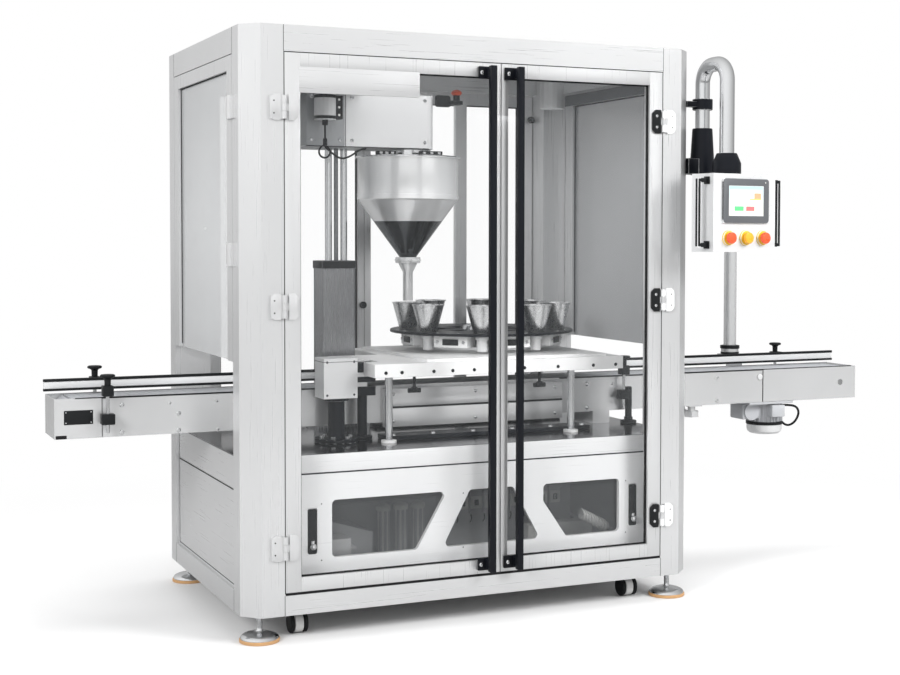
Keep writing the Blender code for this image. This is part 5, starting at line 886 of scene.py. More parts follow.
@dataclass
class GlazedDoors:
    """The six glazed doors: frames, panes and their gaskets, hinges, pull bars and the blank plate."""

    rebate: float = 0.0117
    gasket: float = 0.004
    gasket_proud: float = 0.002
    pin: Point = (0.673, -0.5283, 0.0)
    hinge_z: tuple[float, ...] = (0.2975, 1.0430, 1.6530)
    hinge_face: float = -0.5285
    knuckle: float = 0.008
    plate_near: float = 0.013
    plate_far: float = 0.0445
    plate_half: float = 0.040
    leaf_edge: float = 0.670
    split_x: float = 0.0605
    half_gap: float = 0.0015
    stile: float = 0.050
    meeting_stile: float = 0.024
    rail: float = 0.045
    low_z: float = 0.156
    high_z: float = 1.821
    front_y: float = -0.520
    back_y: float = -0.490
    pane_y: Span = (-0.508, -0.502)
    pull_y: Span = (-0.572, -0.550)
    pull_z: Span = (0.168, 1.809)
    foot_height: float = 0.040
    plate_low: Point = (-0.6235, -0.5203, 1.700)
    plate_high: Point = (-0.225, -0.508, 1.7795)
    rail_shade_low: Point = (0.7688, -0.360, 1.7775)
    rail_shade_high: Point = (0.7702, 0.395, 1.8200)

    def build(self) -> None:
        """Makes the front doors anew, dresses the side and rear ones and lays painted shade on the right side door's
        rail.
        """
        for side, name in ((-1, "left"), (1, "right")):
            self.make_leaf(side, name)
            self.make_pull(name)
            coat([f"side_door_{name}", f"rear_door_{name}"], STEEL_Z)
            for door in (f"side_door_{name}", f"rear_door_{name}"):
                low, high = [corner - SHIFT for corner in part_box(f"{door}_glass")]
                self.make_gasket(door, low, high)
        coat(["side_door_left_glass"], HAZY_PANE)
        coat(["side_door_right_glass"], GREY_PANE)
        coat(["rear_door_left_glass", "rear_door_right_glass"], CLEAR_GLASS)
        dress(Maker.block("bare_plate", self.plate_low, self.plate_high), STEEL_X, "front_door_left")
        # A dark grey plate on the right side door's inner rail face: painted shade on the rail
        dress(Maker.block("side_door_rail_painted_shade", self.rail_shade_low, self.rail_shade_high, 0.0), BEZEL_GREY, "side_door_right")

    def make_leaf(self, side: int, name: str) -> None:
        """Makes one front leaf: stiles, rails, hinge halves and pane.

        Args:
            side: -1 for the left leaf, 1 for the right.
            name: left or right.
        """
        body = f"front_door_{name}"
        hinge, meet = side * self.leaf_edge, self.split_x + side * self.half_gap
        inner_hinge, inner_meet = hinge - side * self.stile, meet + side * self.meeting_stile
        spans = [
            (hinge, inner_hinge, self.low_z, self.high_z),
            (inner_meet, meet, self.low_z, self.high_z),
            (inner_hinge, inner_meet, self.low_z, self.low_z + self.rail),
            (inner_hinge, inner_meet, self.high_z - self.rail, self.high_z),
        ]
        parts = []
        for start, stop, low, high in spans:
            parts.append(Maker.span("member", (start, stop), (self.front_y, self.back_y), (low, high), 0.0006))
        parts += self.make_hinges(side, name)
        fit(f"leaf_{name}", parts, STEEL_Z, body, node=body)
        near, far = sorted((inner_hinge, inner_meet))
        low = Vector((near - self.rebate, self.pane_y[0], self.low_z + self.rail - self.rebate))
        high = Vector((far + self.rebate, self.pane_y[1], self.high_z - self.rail + self.rebate))
        pane = dress(Maker.block(f"pane_{name}", tuple(low), tuple(high), 0.0), CLEAR_GLASS, body)
        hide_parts(f"{body}_glass")
        self.make_gasket(body, low, high)

    def make_gasket(self, door: str, low: Vector, high: Vector) -> None:
        """Makes the dark rubber strip round the sight area of a pane.

        Args:
            door: name of the door and its body.
            low: lowest corner of the pane in the machine frame.
            high: highest corner of the pane.
        """
        thin = min((0, 1), key=lambda axis: high[axis] - low[axis])
        across = 1 - thin
        inner_low = [low[0], low[1], low[2] + self.rebate]
        inner_high = [high[0], high[1], high[2] - self.rebate]
        inner_low[across] += self.rebate
        inner_high[across] -= self.rebate
        inner_low[thin] -= self.gasket_proud
        inner_high[thin] += self.gasket_proud
        strips = []
        for axis in (across, 2):
            for end in (0, 1):
                if axis == 2 and end == 0 and door.startswith("side"):
                    continue
                start, stop = list(inner_low), list(inner_high)
                if end:
                    start[axis] = stop[axis] - self.gasket
                else:
                    stop[axis] = start[axis] + self.gasket
                strips.append(Maker.block("strip", tuple(start), tuple(stop), 0.0))
        fit(f"gasket_{door}", strips, RUBBER, door)

    def make_hinges(self, side: int, name: str) -> list[Piece]:
        """Makes the hinges of a front leaf: corner-cut plates, knuckles and screws.

        Args:
            side: -1 for the left leaf, 1 for the right.
            name: left or right.

        Returns:
            The moving parts in the leaf's own steel.
        """
        x, y, _ = self.pin
        x, face, root, body = x * side, self.hinge_face, (-0.5270, -0.5202), f"front_door_{name}"
        fixed, moving, black, door_screws, post_screws = [], [], [], [], []
        for z in self.hinge_z:
            for sign, parts, back in ((side, fixed, -0.5201), (-side, black if side > 0 else moving, -0.5199)):
                near, far = sorted((x + sign * self.plate_near, x + sign * self.plate_far))
                low, high = (near, face, z - self.plate_half), (far, back, z + self.plate_half)
                parts.append(Maker.clipped("leaf", low, high, 0.012, side=sign))
            for low, high in ((-0.036, -0.0115), (0.0115, 0.036)):
                fixed.append(Maker.rod("knuckle", self.knuckle, (x, y, z + low), high - low, edge=0.0005))
                fixed.append(Maker.span("root", (x + side * 0.008, x + side * 0.0135), root, (z + low, z + high)))
            half = 0.011
            moving.append(Maker.rod("knuckle", self.knuckle, (x, y, z - half), 2 * half, edge=0.0005))
            moving.append(Maker.span("root", (x - side * 0.006, x - side * 0.0135), root, (z - half, z + half)))
            for offset in (-0.019, 0.019):
                door_screws.append((x - side * 0.029, face, z + offset))
                post_screws.append((x + side * 0.033, face, z + offset))
        fit(f"hinge_posts_{name}", fixed, HOUSING if side > 0 else STEEL_Z)
        if black:
            fit(f"hinge_plates_{name}", black, BLACK_PLASTIC, body)
            screws(f"hinge_door_screws_{name}", (0.0050, 0.0025), door_screws, POLISHED, body)
        screws(f"hinge_post_screws_{name}", (0.0024, 0.0010), post_screws, BLACK_PLASTIC)
        return moving

    def make_pull(self, name: str) -> None:
        """Makes a full-height square pull bar with a screwed foot plate at each end.

        Args:
            name: left or right.
        """
        body, (low, high), foot_y = f"front_door_{name}", self.pull_z, (-0.5283, -0.5203)
        (left, right), foot, screw_x = {
            "left": ((0.0018, 0.0228), (-0.0220, 0.0425), (-0.0115, 0.0335)),
            "right": ((0.1010, 0.1210), (0.0710, 0.1390), (0.0850,)),
        }[name]
        parts = [Maker.span("bar", (left, right), self.pull_y, (low, high), 0.0015)]
        places = []
        for start, stop in ((low, low + self.foot_height), (high - self.foot_height, high)):
            parts.append(Maker.span("foot", foot, foot_y, (start, stop), 0.0015))
            neck_x, neck_z = (left + 0.001, right - 0.001), (start + 0.004, stop - 0.004)
            parts.append(Maker.span("neck", neck_x, (-0.5505, -0.5280), neck_z, 0.001))
            places += [(x, foot_y[0], (start + stop) / 2) for x in screw_x]
        fit(f"pull_{name}", parts, BLACK_PAINT, body, f"{body}_pull")
        screws(f"pull_screws_{name}", (0.0070, 0.003), places, POLISHED, body)


@dataclass
class Cabinet:
    """The lower cover with its latches, and the electrics behind its windows."""

    front_y: float = -0.445
    latch_x: tuple[float, ...] = (-0.560, 0.604)
    cylinder_x: tuple[float, ...] = (-0.200, -0.135, -0.070)
    cylinder_y: float = -0.120
    cylinder_radius: float = 0.0255
    rack_face_y: float = -0.060
    rail_z: Span = (0.3175, 0.4375)
    modules: int = 9
    rivet_x: tuple[float, ...] = (-0.530, -0.040, 0.090, 0.576)
    rivet_z: Span = (0.232, 0.412)
    band_x: float = 0.6725
    hose_start: Point = (0.452, -0.350, 0.288)
    hose_ribs: int = 9

    def build(self) -> None:
        """Dresses the cover and fills the rack."""
        coat(["cabinet_cover"], BRIGHT_SHEET)
        coat(["cabinet_window"], SMOKED_PANE)
        coat(["control_rack"], PARTS_GREY)
        self.make_latches()
        self.make_seam()
        self.make_cylinders()
        self.make_modules()
        self.make_lining()

    def make_latches(self) -> None:
        """Makes the black latch slots' liners, the chrome balls in them and the cover's rivets."""
        liners, balls = [], []
        for x in self.latch_x:
            low, high = (x - 0.0145, self.front_y - 0.0008, 0.254), (x + 0.0145, self.front_y + 0.0080, 0.396)
            liners.append(Maker.clipped("liner", low, high, 0.005, steps=4))
            turn = [math.pi * step / 10 for step in range(11)]
            ball = [(0.0105 * math.sin(a), -0.0105 * math.cos(a)) for a in turn]
            balls.append(Maker.turned("ball", ball, (x, self.front_y - 0.010, 0.2790), Axis.Y, 24))
            balls.append(Maker.rod("neck", 0.006, (x, self.front_y - 0.004, 0.268), 0.030, edge=0.002))
        fit("latch_liners", liners, BLACK_PLASTIC)
        fit("latch_balls", balls, POLISHED)
        rivets = [(x, self.front_y, z) for x in self.rivet_x for z in self.rivet_z]
        screws("cover_rivets", (0.0022, 0.0008), rivets, BLACK_PLASTIC)
        across, depth = (-self.band_x, self.band_x), (self.front_y - 0.0014, self.front_y + 0.0002)
        dress(Maker.span("table_band", across, depth, (0.5125, 0.5695), 0.0005), BRIGHT_SHEET)

    def make_lining(self) -> None:
        """Makes the pale tray and the ribbed hose that show behind the outer windows."""
        tray = [Maker.block("tray", (-0.548, -0.400, 0.2250), (-0.415, -0.300, 0.2850), 0.002)]
        tray.append(Maker.block("tray", (-0.548, -0.300, 0.2250), (-0.360, -0.260, 0.2350), 0.002))
        fit("cabinet_tray", tray, BRIGHT_SHEET)
        ribs = []
        x, y, z = self.hose_start
        for index in range(self.hose_ribs):
            place = (x + 0.011 * index, y, z - 0.0055 * index)
            ribs.append(Maker.rod("rib", 0.021, place, 0.0065, Axis.X, 0.0015, 28))
        ribs.append(Maker.swept("core", [self.hose_start, (x + 0.100, y, z - 0.050)], 0.0165, smooth=False))
        fit("ribbed_hose", ribs, DUCT_WHITE)

    def make_seam(self) -> None:
        """Makes the dark seal line between the table band and the cover."""
        across, depth = (-self.band_x, self.band_x), (self.front_y - 0.0004, self.front_y + 0.004)
        dress(Maker.span("cover_seal", across, depth, (0.5075, 0.5118)), RUBBER)

    def make_cylinders(self) -> None:
        """Makes the white air cylinders with their caps."""
        radius = self.cylinder_radius
        profile = [(0.0, 0.0), (radius, 0.0), (radius, 0.012), (radius - 0.003, 0.014), (radius - 0.003, 0.222)]
        profile += [(radius, 0.224), (radius, 0.238), (radius * 0.5, 0.246), (0.0, 0.246)]
        columns = [Maker.turned("cylinder", profile, (x, self.cylinder_y, 0.0905), steps=32) for x in self.cylinder_x]
        fit("air_cylinders", columns, DUCT_WHITE)

    def make_modules(self) -> None:
        """Makes the fronts of the rail modules, their dark keys, the wires and the wiring duct."""
        fronts, keys, wires = [], [], []
        face, pitch = self.rack_face_y - 0.012 - 0.060, 0.052024
        front_y, key_y = (face - 0.006, face), (face - 0.0085, face - 0.006)
        stations = [(0.020 + pitch * index, z) for z in self.rail_z for index in range(self.modules)]
        for x, z in stations:
            fronts.append(Maker.span("front", (x + 0.002, x + 0.043), front_y, (z - 0.022, z + 0.022), 0.001))
            keys.append(Maker.span("key", (x + 0.014, x + 0.030), key_y, (z - 0.010, z + 0.010), 0.001))
        fit("module_fronts", fronts, DUCT_WHITE)
        fit("module_keys", keys, BLACK_PLASTIC)
        duct = Maker.block("wiring_duct", (0.300, -0.240, 0.150), (0.556, -0.180, 0.242), 0.002)
        base = Maker.block("duct_foot", (0.320, -0.235, 0.0895), (0.536, -0.185, 0.151), 0.002)
        fit("wiring_duct", [duct, base], DUCT_WHITE)
        for x, z in stations:
            route = [(x + 0.010, face + 0.02, z - 0.045), (x + 0.010, face + 0.004, z - 0.060)]
            wires.append(Maker.swept("wire", [*route, (x + 0.012, face + 0.03, z - 0.075)], 0.002, steps=2))
        fit("module_wires", wires, BLACK_PLASTIC)


@dataclass
class ChainConveyor:
    """The slat chain, the side plates' screws and covers, the shroud groove and the outfeed motor."""

    front_y: float = -0.117
    plate_y: float = -0.115
    middle_y: float = -0.0225
    chain_width: float = 0.150
    loop_left: float = -1.225
    loop_right: float = 1.745
    loop_z: float = 0.681
    loop_radius: float = 0.0565
    slat_sheet: float = 0.0062
    slat_gap: float = 0.0014
    slat_count: int = 166
    motor_x: float = 1.448
    motor_low: float = 0.482
    motor_radius: float = 0.072
    fin_count: int = 28
    mast: Point = (1.368, 0.104, 0.7905)
    cover_seams: Span = (-1.1515, 1.3755)
    wear_strips: tuple[Span, ...] = ((-1.235, -0.345), (0.486, 1.800))
    shroud_x: Span = (-0.1985, 0.4835)
    shroud_panels: tuple[Span, ...] = ((0.6045, 0.6665), (0.6735, 0.7335))
    large_screws: tuple[Span, ...] = (
        (-1.089, 0.718), (-1.089, 0.631), (-0.907, 0.683), (-0.907, 0.628), (0.600, 0.718),
        (0.600, 0.632), (0.905, 0.718), (0.905, 0.632), (1.165, 0.632), (1.165, 0.718),
    )  # fmt: skip
    small_screws: tuple[Span, ...] = (
        (-0.935, 0.717), (-0.780, 0.717), (-0.777, 0.624), (-0.500, 0.717), (-0.500, 0.628), (0.705, 0.716),
    )  # fmt: skip

    def build(self) -> None:
        """Dresses the conveyor."""
        coat(["conveyor_body"], PLATE_STEEL)
        coat(["drive_sprocket"], POLISHED)
        self.make_chain()
        self.make_cover_plates()
        self.make_screws()
        self.make_shroud()
        self.make_motor()
        self.make_lobe_knob()

    def loop_point(self, distance: float) -> tuple[float, float, float]:
        """Where the chain loop is after a distance, from the left end of its top run.

        Args:
            distance: length along the loop.

        Returns:
            The place along X and Z, and the turn about Y.
        """
        run = self.loop_right - self.loop_left
        arc = math.pi * self.loop_radius
        if distance < run:
            return self.loop_left + distance, self.loop_z + self.loop_radius, 0.0
        if distance < run + arc:
            turn = (distance - run) / self.loop_radius
            x = self.loop_right + self.loop_radius * math.sin(turn)
            return x, self.loop_z + self.loop_radius * math.cos(turn), turn
        if distance < run + arc + run:
            return self.loop_right - (distance - run - arc), self.loop_z - self.loop_radius, math.pi
        turn = math.pi + (distance - run - arc - run) / self.loop_radius
        x = self.loop_left + self.loop_radius * math.sin(turn)
        return x, self.loop_z + self.loop_radius * math.cos(turn), turn

    def make_chain(self) -> None:
        """Models one slat, copies it round the loop and lays the hinge core under the top run."""
        length = 2 * (self.loop_right - self.loop_left) + math.tau * self.loop_radius
        pitch = length / self.slat_count
        half, width = (pitch - self.slat_gap) / 2, self.chain_width / 2
        slat = Maker.block("slat", home(-half, -width, 0.0), home(half, width, self.slat_sheet), 0.0012)
        places, turns = [], []
        for index in range(self.slat_count):
            x, z, turn = self.loop_point(index * pitch)
            places.append((x, self.middle_y, z))
            turns.append(Matrix.Rotation(turn, 4, "Y"))
        chain = dress(Maker.scattered("chain_slats", slat, places, turns), CHAIN_GREY)
        core_low = (self.loop_left, self.middle_y - 0.022, self.loop_z + self.loop_radius - 0.004)
        core_high = (self.loop_right, self.middle_y + 0.022, self.loop_z + self.loop_radius + 0.001)
        dress(Maker.block("chain_hinge_core", core_low, core_high, 0.0), RUBBER)
        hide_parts("conveyor_chain")

    def make_cover_plates(self) -> None:
        """Makes the bare black plate with its rivets, the end foot and the pale disc."""
        face = self.front_y
        plate = Maker.block("bare_black_plate", (-1.270, face - 0.0012, 0.662), (-1.180, face + 0.0005, 0.707), 0.0006)
        dress(plate, BLACK_PLASTIC)
        rivets = [(x, face - 0.0012, z) for x in (-1.264, -1.186) for z in (0.668, 0.701)]
        screws("plate_rivets", (0.0024, 0.0014), rivets, POLISHED)
        dress(Maker.block("end_foot", (-1.296, face - 0.002, 0.6175), (-1.262, face + 0.02, 0.629), 0.002), RUBBER)
        disc = Maker.rod("cover_disc", 0.011, (1.361, face - 0.003, 0.716), 0.004, Axis.Y)
        dress(disc, MACHINED)
        seams = [
            Maker.block("seam", (x - 0.0006, face - 0.0004, 0.619), (x + 0.0006, face + 0.002, 0.7425), 0.0)
            for x in self.cover_seams
        ]
        fit("cover_seams", seams, BLACK_PLASTIC)
        strips = [
            Maker.block("strip", (start, face + 0.0002, 0.7412), (stop, face + 0.006, 0.7462), 0.0008)
            for start, stop in self.wear_strips
        ]
        fit("wear_strips", strips, BLACK_PLASTIC)
        collar = [(0.0252, 0.0), (0.0365, 0.0), (0.0365, 0.008), (0.0300, 0.010), (0.0300, 0.020), (0.0385, 0.022)]
        collar += [(0.0385, 0.034), (0.0252, 0.036), (0.0252, 0.0)]
        dress(Maker.turned("mast_collar", collar, self.mast), BLACK_PLASTIC)

    def make_screws(self) -> None:
        """Makes the domed screws along the side plate."""
        for name, radius, places in (("large", 0.0075, self.large_screws), ("small", 0.0045, self.small_screws)):
            spots = [(x, self.plate_y, z) for x, z in places]
            screws(f"conveyor_screws_{name}", (radius, radius * 0.4), spots, POLISHED)

    def make_shroud(self) -> None:
        """Makes the pale face of the chain shroud with its dark groove and flat screws."""
        face = -0.140
        panels = [
            Maker.span("panel", self.shroud_x, (face - 0.0012, face + 0.001), heights, 0.0006)
            for heights in self.shroud_panels
        ]
        fit("shroud_face", panels, PLATE_STEEL)
        groove = Maker.block("shroud_groove", (-0.199, face - 0.0004, 0.6665), (0.484, face + 0.003, 0.6735), 0.0)
        dress(groove, BLACK_PLASTIC)
        spots = [(x, face - 0.0012, z) for x in (-0.170, 0.140, 0.455) for z in (0.622, 0.716)]
        screws("shroud_screws", (0.0055, 0.002), spots, POLISHED)

    def make_motor(self) -> None:
        """Makes the finned motor with its silver cap, black rim and the gearbox."""
        x, y, radius = self.motor_x, self.middle_y, self.motor_radius
        cap = [(0.0, 0.0), (0.040, 0.0), (0.058, 0.003), (0.066, 0.010), (0.069, 0.020), (0.069, 0.038), (0.0, 0.038)]
        dress(Maker.turned("motor_cap", cap, (x, y, self.motor_low)), BRIGHT_SHEET)
        rim = [(0.050, 0.038), (0.0715, 0.038), (radius, 0.0385), (radius, 0.0495), (0.0715, 0.050), (0.050, 0.050)]
        dress(Maker.turned("motor_rim", rim + rim[:1], (x, y, self.motor_low)), BLACK_PLASTIC)
        parts = [Maker.rod("motor_core", radius - 0.0065, (x, y, self.motor_low + 0.049), 0.0755, steps=56)]
        fin = Maker.block("fin", home(radius - 0.0075, -0.0013, 0.0), home(radius - 0.0004, 0.0013, 0.066), 0.0006)
        turns = [math.tau * index / self.fin_count for index in range(self.fin_count)]
        parts.append(Maker.spun("fins", fin, (x, y, 0.533), turns))
        left = x - radius - 0.060
        parts.append(Maker.block("gearbox", (left, y - 0.045, 0.5455), (x, y + 0.045, 0.6055), 0.006))
        parts.append(Maker.rod("gear_flange", 0.034, (left + 0.040, y - 0.052, 0.576), 0.010, Axis.Y))
        parts.append(Maker.block("motor_plate", (left, -0.114, 0.607), (x + radius, 0.069, 0.6165), 0.001))
        fit("motor_housing", parts, MOTOR_GREY, node="conveyor_motor")
        box_low, box_high = (x - 0.030, y - 0.098, 0.556), (x + 0.030, y - 0.062, 0.602)
        dress(Maker.block("motor_terminal_box", box_low, box_high, 0.003), MOTOR_GREY)
        route = [(x + 0.020, y - 0.080, 0.600), (x + 0.060, y - 0.085, 0.600), (x + 0.100, y - 0.080, 0.590)]
        route += [(x + 0.118, y - 0.070, 0.560), (x + 0.108, y - 0.050, 0.520), (x + 0.080, y - 0.030, 0.508)]
        route += [(x + 0.066, y - 0.020, 0.530)]
        dress(Maker.swept("motor_lead", route, 0.0045), RUBBER)

    def make_lobe_knob(self) -> None:
        """Makes the silver five-lobed knob under the plate."""
        foot = (1.070, self.middle_y, 0.5722)
        profile = [(0.0, 0.0), (0.022, 0.001), (0.024, 0.010), (0.012, 0.022), (0.0, 0.022)]
        parts = [Maker.rod("stem", 0.008, (foot[0], foot[1], 0.573), 0.046), Maker.turned("hub", profile, foot)]
        parts += [Maker.rod("lobe", 0.0105, place, 0.014, edge=0.002, steps=20) for place in around(foot, 0.019, 5)]
        fit("lobe_knob", parts, MACHINED)


@dataclass
class Guides:
    """The guide rail with its lips, the rear and front clamps with their knobs, and the right clamp's stand."""

    clamp_rear_x: tuple[float, ...] = (-1.135, 1.588)
    clamp_rear_y: float = 0.105
    clamp_front_x: tuple[float, ...] = (-1.139, 0.738)
    clamp_front_y: float = -0.145
    rail_top: float = 0.793
    front_top: float = 0.785
    knob_radius: float = 0.024

    def build(self) -> None:
        """Makes the rails and the clamps."""
        self.make_rail()
        self.make_rear_clamps()
        self.make_front_clamps()

    def knob(self, x: float, y: float, base: float) -> list[Piece]:
        """A hand knob with a fluted rim.

        Args:
            x: place of its axis.
            y: place of its axis.
            base: height of its foot.

        Returns:
            The knob's pieces.
        """
        radius = self.knob_radius
        profile = [(0.0, 0.0), (0.010, 0.0), (0.0105, 0.020), (0.014, 0.024), (0.021, 0.0265)]
        profile += [(radius - 0.001, 0.0285), (radius - 0.001, 0.0335), (0.020, 0.0355), (0.0, 0.036)]
        pieces = [Maker.turned("knob", profile, (x, y, base))]
        for place in around((x, y, base + 0.0275), radius - 0.0035, 10):
            pieces.append(Maker.rod("flute", 0.0034, place, 0.0065, edge=0.001, steps=12))
        return pieces

    def make_rail(self) -> None:
        """Makes the bright rail strip with its black lips."""
        strip = Maker.block("guide_strip", (-1.3085, 0.039, 0.7635), (1.8205, 0.0478, 0.786), 0.0005)
        strip = dress(strip, BRIGHT_SHEET)
        lips = [
            Maker.block("lip", (-1.310, 0.036, low), (1.822, 0.048, high), 0.0015)
            for low, high in ((0.7555, 0.7637), (0.7858, 0.795))
        ]
        fit("guide_lips", lips, BLACK_PLASTIC)
        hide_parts("guide_rail")

    def make_rear_clamps(self) -> None:
        """Makes the two clamps behind the rail, with rod and knob."""
        y, parts, rods = self.clamp_rear_y, [], []
        for x in self.clamp_rear_x:
            parts.append(Maker.block("grip", (x - 0.017, 0.0478, 0.754), (x + 0.017, y + 0.017, self.rail_top), 0.003))
            parts.append(Maker.block("foot", (x - 0.017, 0.0702, 0.685), (x + 0.017, y + 0.017, 0.715), 0.003))
            parts += self.knob(x, y, self.rail_top)
            rods.append(Maker.rod("rod", 0.006, (x, y, 0.655), 0.100))
        fit("rear_clamps", parts, BLACK_PLASTIC)
        fit("rear_clamp_rods", rods, POLISHED)

    def make_front_clamps(self) -> None:
        """Makes the two clamps in front of the conveyor."""
        y = self.clamp_front_y
        for x, name in zip(self.clamp_front_x, ("left", "right")):
            parts = [Maker.block("head", (x - 0.017, y - 0.017, 0.751), (x + 0.017, y + 0.017, self.front_top), 0.003)]
            parts.append(Maker.block("grip", (x - 0.021, y - 0.017, 0.661), (x + 0.021, y + 0.017, 0.695), 0.003))
            parts += self.knob(x, y, self.front_top)
            fit(f"clamp_{name}", parts, BLACK_PLASTIC, node=f"front_clamp_{name}")
            rods = [Maker.rod("rod", 0.006, (x, y, 0.634), 0.120)]
            rods.append(Maker.rod("stub", 0.006, (x, y, 0.678), 0.0297, Axis.Y))
            fit(f"clamp_rods_{name}", rods, POLISHED)
        stand = [Maker.block("stand", (0.748, y - 0.010, 0.586), (0.768, y + 0.010, 0.706), 0.003)]
        stand.append(Maker.rod("foot", 0.030, (0.758, y, 0.5715), 0.010, edge=0.002))
        stand.append(Maker.rod("boss", 0.016, (0.758, y, 0.5805), 0.014, edge=0.002))
        fit("clamp_stand", stand, BLACK_PLASTIC)


@dataclass
class FillingHead:
    """The lift column, the drive housing with its sensor, and the polished hopper under its lid."""

    axis: Point = (0.030, 0.230, 0.0)
    bowl_radius: float = 0.185
    rim_radius: float = 0.194
    bowl_top: float = 1.54797
    shoulder: float = 1.39296
    throat: float = 1.18198
    throat_radius: float = 0.030
    sheet: float = 0.003
    tube_bottom: float = 1.021
    rod_x: tuple[float, ...] = (-0.277, -0.219)
    screw_x: float = -0.248
    lift_y: float = 0.235
    body: str = "lift_carriage"
    lid_z: Span = (1.54827, 1.57671)
    lid_clamps: tuple[tuple[Span, Span], ...] = (((-0.128, 0.128), (-0.056, 0.150)), ((0.018, 0.074), (0.104, 0.096)))
    stop_button: Span = (0.182, 0.128)
    sensor: Point = (-0.345, 0.067, 1.665)
    column_low: Point = (-0.315, 0.185, 0.5713)
    column_high: Point = (-0.195, 0.285, 1.142)

    def build(self) -> None:
        """Makes the column, the housing, the hopper and the lid."""
        coat(["auger", "agitator"], POLISHED)
        self.make_column()
        self.make_housing()
        self.make_sensor()
        self.make_hopper()
        self.make_lid()
        self.make_fittings()

    def make_column(self) -> None:
        """Coats the column and adds its dark edge strips, its cap and the bright rods."""
        coat(["lift_column"], COLUMN_GREY)
        low, high, half, lip = self.column_low, self.column_high, 0.0012, 0.0046
        strips, heights = [], (low[2] + 0.018, high[2])
        for x in (low[0], high[0]):
            for y in (low[1], high[1]):
                strips.append(Maker.span("strip", (x - half, x + half), (y - half, y + half), heights))
        fit("column_edges", strips, DARK_POLISH)
        across, along = (low[0] - lip, high[0] + lip), (low[1] - lip, high[1] + lip)
        dress(Maker.span("column_cap", across, along, (1.1415, 1.1708), 0.003), BLACK_PLASTIC)
        start = 1.1700
        rods = [Maker.rod("rod", 0.0128, (x, self.lift_y, start), 0.5295, steps=32) for x in self.rod_x]
        fit("lift_rods", rods, POLISHED)
        screw, z = [(0.0, start)], start
        while z < 1.6960:
            screw += [(0.0082, z), (0.0082, z + 0.0022), (0.0070, z + 0.0030), (0.0070, z + 0.0036)]
            z += 0.0044
        screw.append((0.0, z))
        dress(Maker.turned("lift_screw", screw, (self.screw_x, self.lift_y, 0.0), steps=24), DARK_POLISH)

    def make_housing(self) -> None:
        """Coats the drive housing and adds its grey end cover, seams and screws."""
        coat(["filler_head"], HEAD_SHEET)
        cover = Maker.block("housing_end_cover", (-0.3958, 0.1242, 1.5765), (-0.250, 0.3558, 1.7755), 0.0)
        Maker.only(cover)
        bevel = cover.modifiers.new("corner", "BEVEL")
        bevel.width = 0.006
        bevel.segments = 3
        bpy.ops.object.modifier_apply(modifier=bevel.name)
        bpy.ops.object.shade_smooth_by_angle(angle=math.radians(35))
        shafts = [(x, 0.0150) for x in self.rod_x] + [(self.screw_x, 0.0105)]
        Maker.cut(cover, [Maker.rod("hole", radius, (x, self.lift_y, 1.560), 0.186) for x, radius in shafts])
        dress(cover, HOUSING_GREY, self.body)
        seam = Maker.block("housing_seam", (-0.2502, 0.1236, 1.5762), (-0.2488, 0.2, 1.7758), 0.0)
        dress(seam, BLACK_PLASTIC, self.body)
        line = Maker.block("housing_low_line", (-0.3955, 0.1234, 1.5762), (0.070, 0.1270, 1.5790), 0.0)
        dress(line, BLACK_PLASTIC, self.body)
        corners = [(-0.225, 0.1250), (0.055, 0.1250), (-0.375, 0.1242), (-0.270, 0.1242)]
        spots = [(x, y, z) for x, y in corners for z in (1.600, 1.752)]
        screws("housing_screws", (0.0065, 0.0026), spots, POLISHED, self.body)

    def make_sensor(self) -> None:
        """Makes the level sensor on the left of the housing and its cable into the lid."""
        body = self.body
        x, y, z = self.sensor
        profile = [(0.0, 0.008), (0.0370, 0.008), (0.0370, 0.082), (0.0, 0.082)]
        dress(Maker.turned("sensor_can", profile, (x, y, z)), POLISHED, body)
        bottom = [(0.0, 0.0), (0.034, 0.0), (0.0384, 0.004), (0.0384, 0.014), (0.030, 0.014)]
        top = [(0.030, 0.076), (0.0384, 0.076), (0.0384, 0.0862), (0.034, 0.0902), (0.0, 0.0902)]
        bands = [Maker.turned("band", bottom, (x, y, z)), Maker.turned("band", top, (x, y, z))]
        side, depth = (x + 0.034, x + 0.062), (y - 0.012, y + 0.030)
        bands.append(Maker.span("socket", side, depth, (z + 0.004, z + 0.086), 0.002))
        bands.append(Maker.rod("gland", 0.010, (x, y, z - 0.018), 0.020))
        bands.append(Maker.rod("plug", 0.0075, (x, y, z - 0.090), 0.026, edge=0.0015))
        fit("sensor_bands", bands, BLACK_PLASTIC, body)
        dots = [(x + 0.048, y - 0.012, z + rise) for rise in (0.018, 0.045, 0.072)]
        screws("sensor_dots", (0.0042, 0.0015), dots, HUB_WHITE, body)
        ring_z, turns = z - 0.110, [math.pi / 2 + math.tau * step / 12 for step in range(13)]
        route = [(x, y, z - 0.016), (x, y, z - 0.050), (x, y, z - 0.084)]
        loop = 0.022
        for step, turn in enumerate(turns):
            route.append((x + loop * math.cos(turn), y + 0.001 * step, ring_z + loop * math.sin(turn)))
        sag = [(0.030, 0.016, -0.004), (0.070, 0.030, -0.025), (0.115, 0.050, -0.010), (0.150, 0.075, 0.012)]
        route += [(x + along, y + back, ring_z + rise) for along, back, rise in [*sag, (0.185, 0.095, 0.0205)]]
        dress(Maker.swept("sensor_lead", route, 0.0034), RUBBER, body)

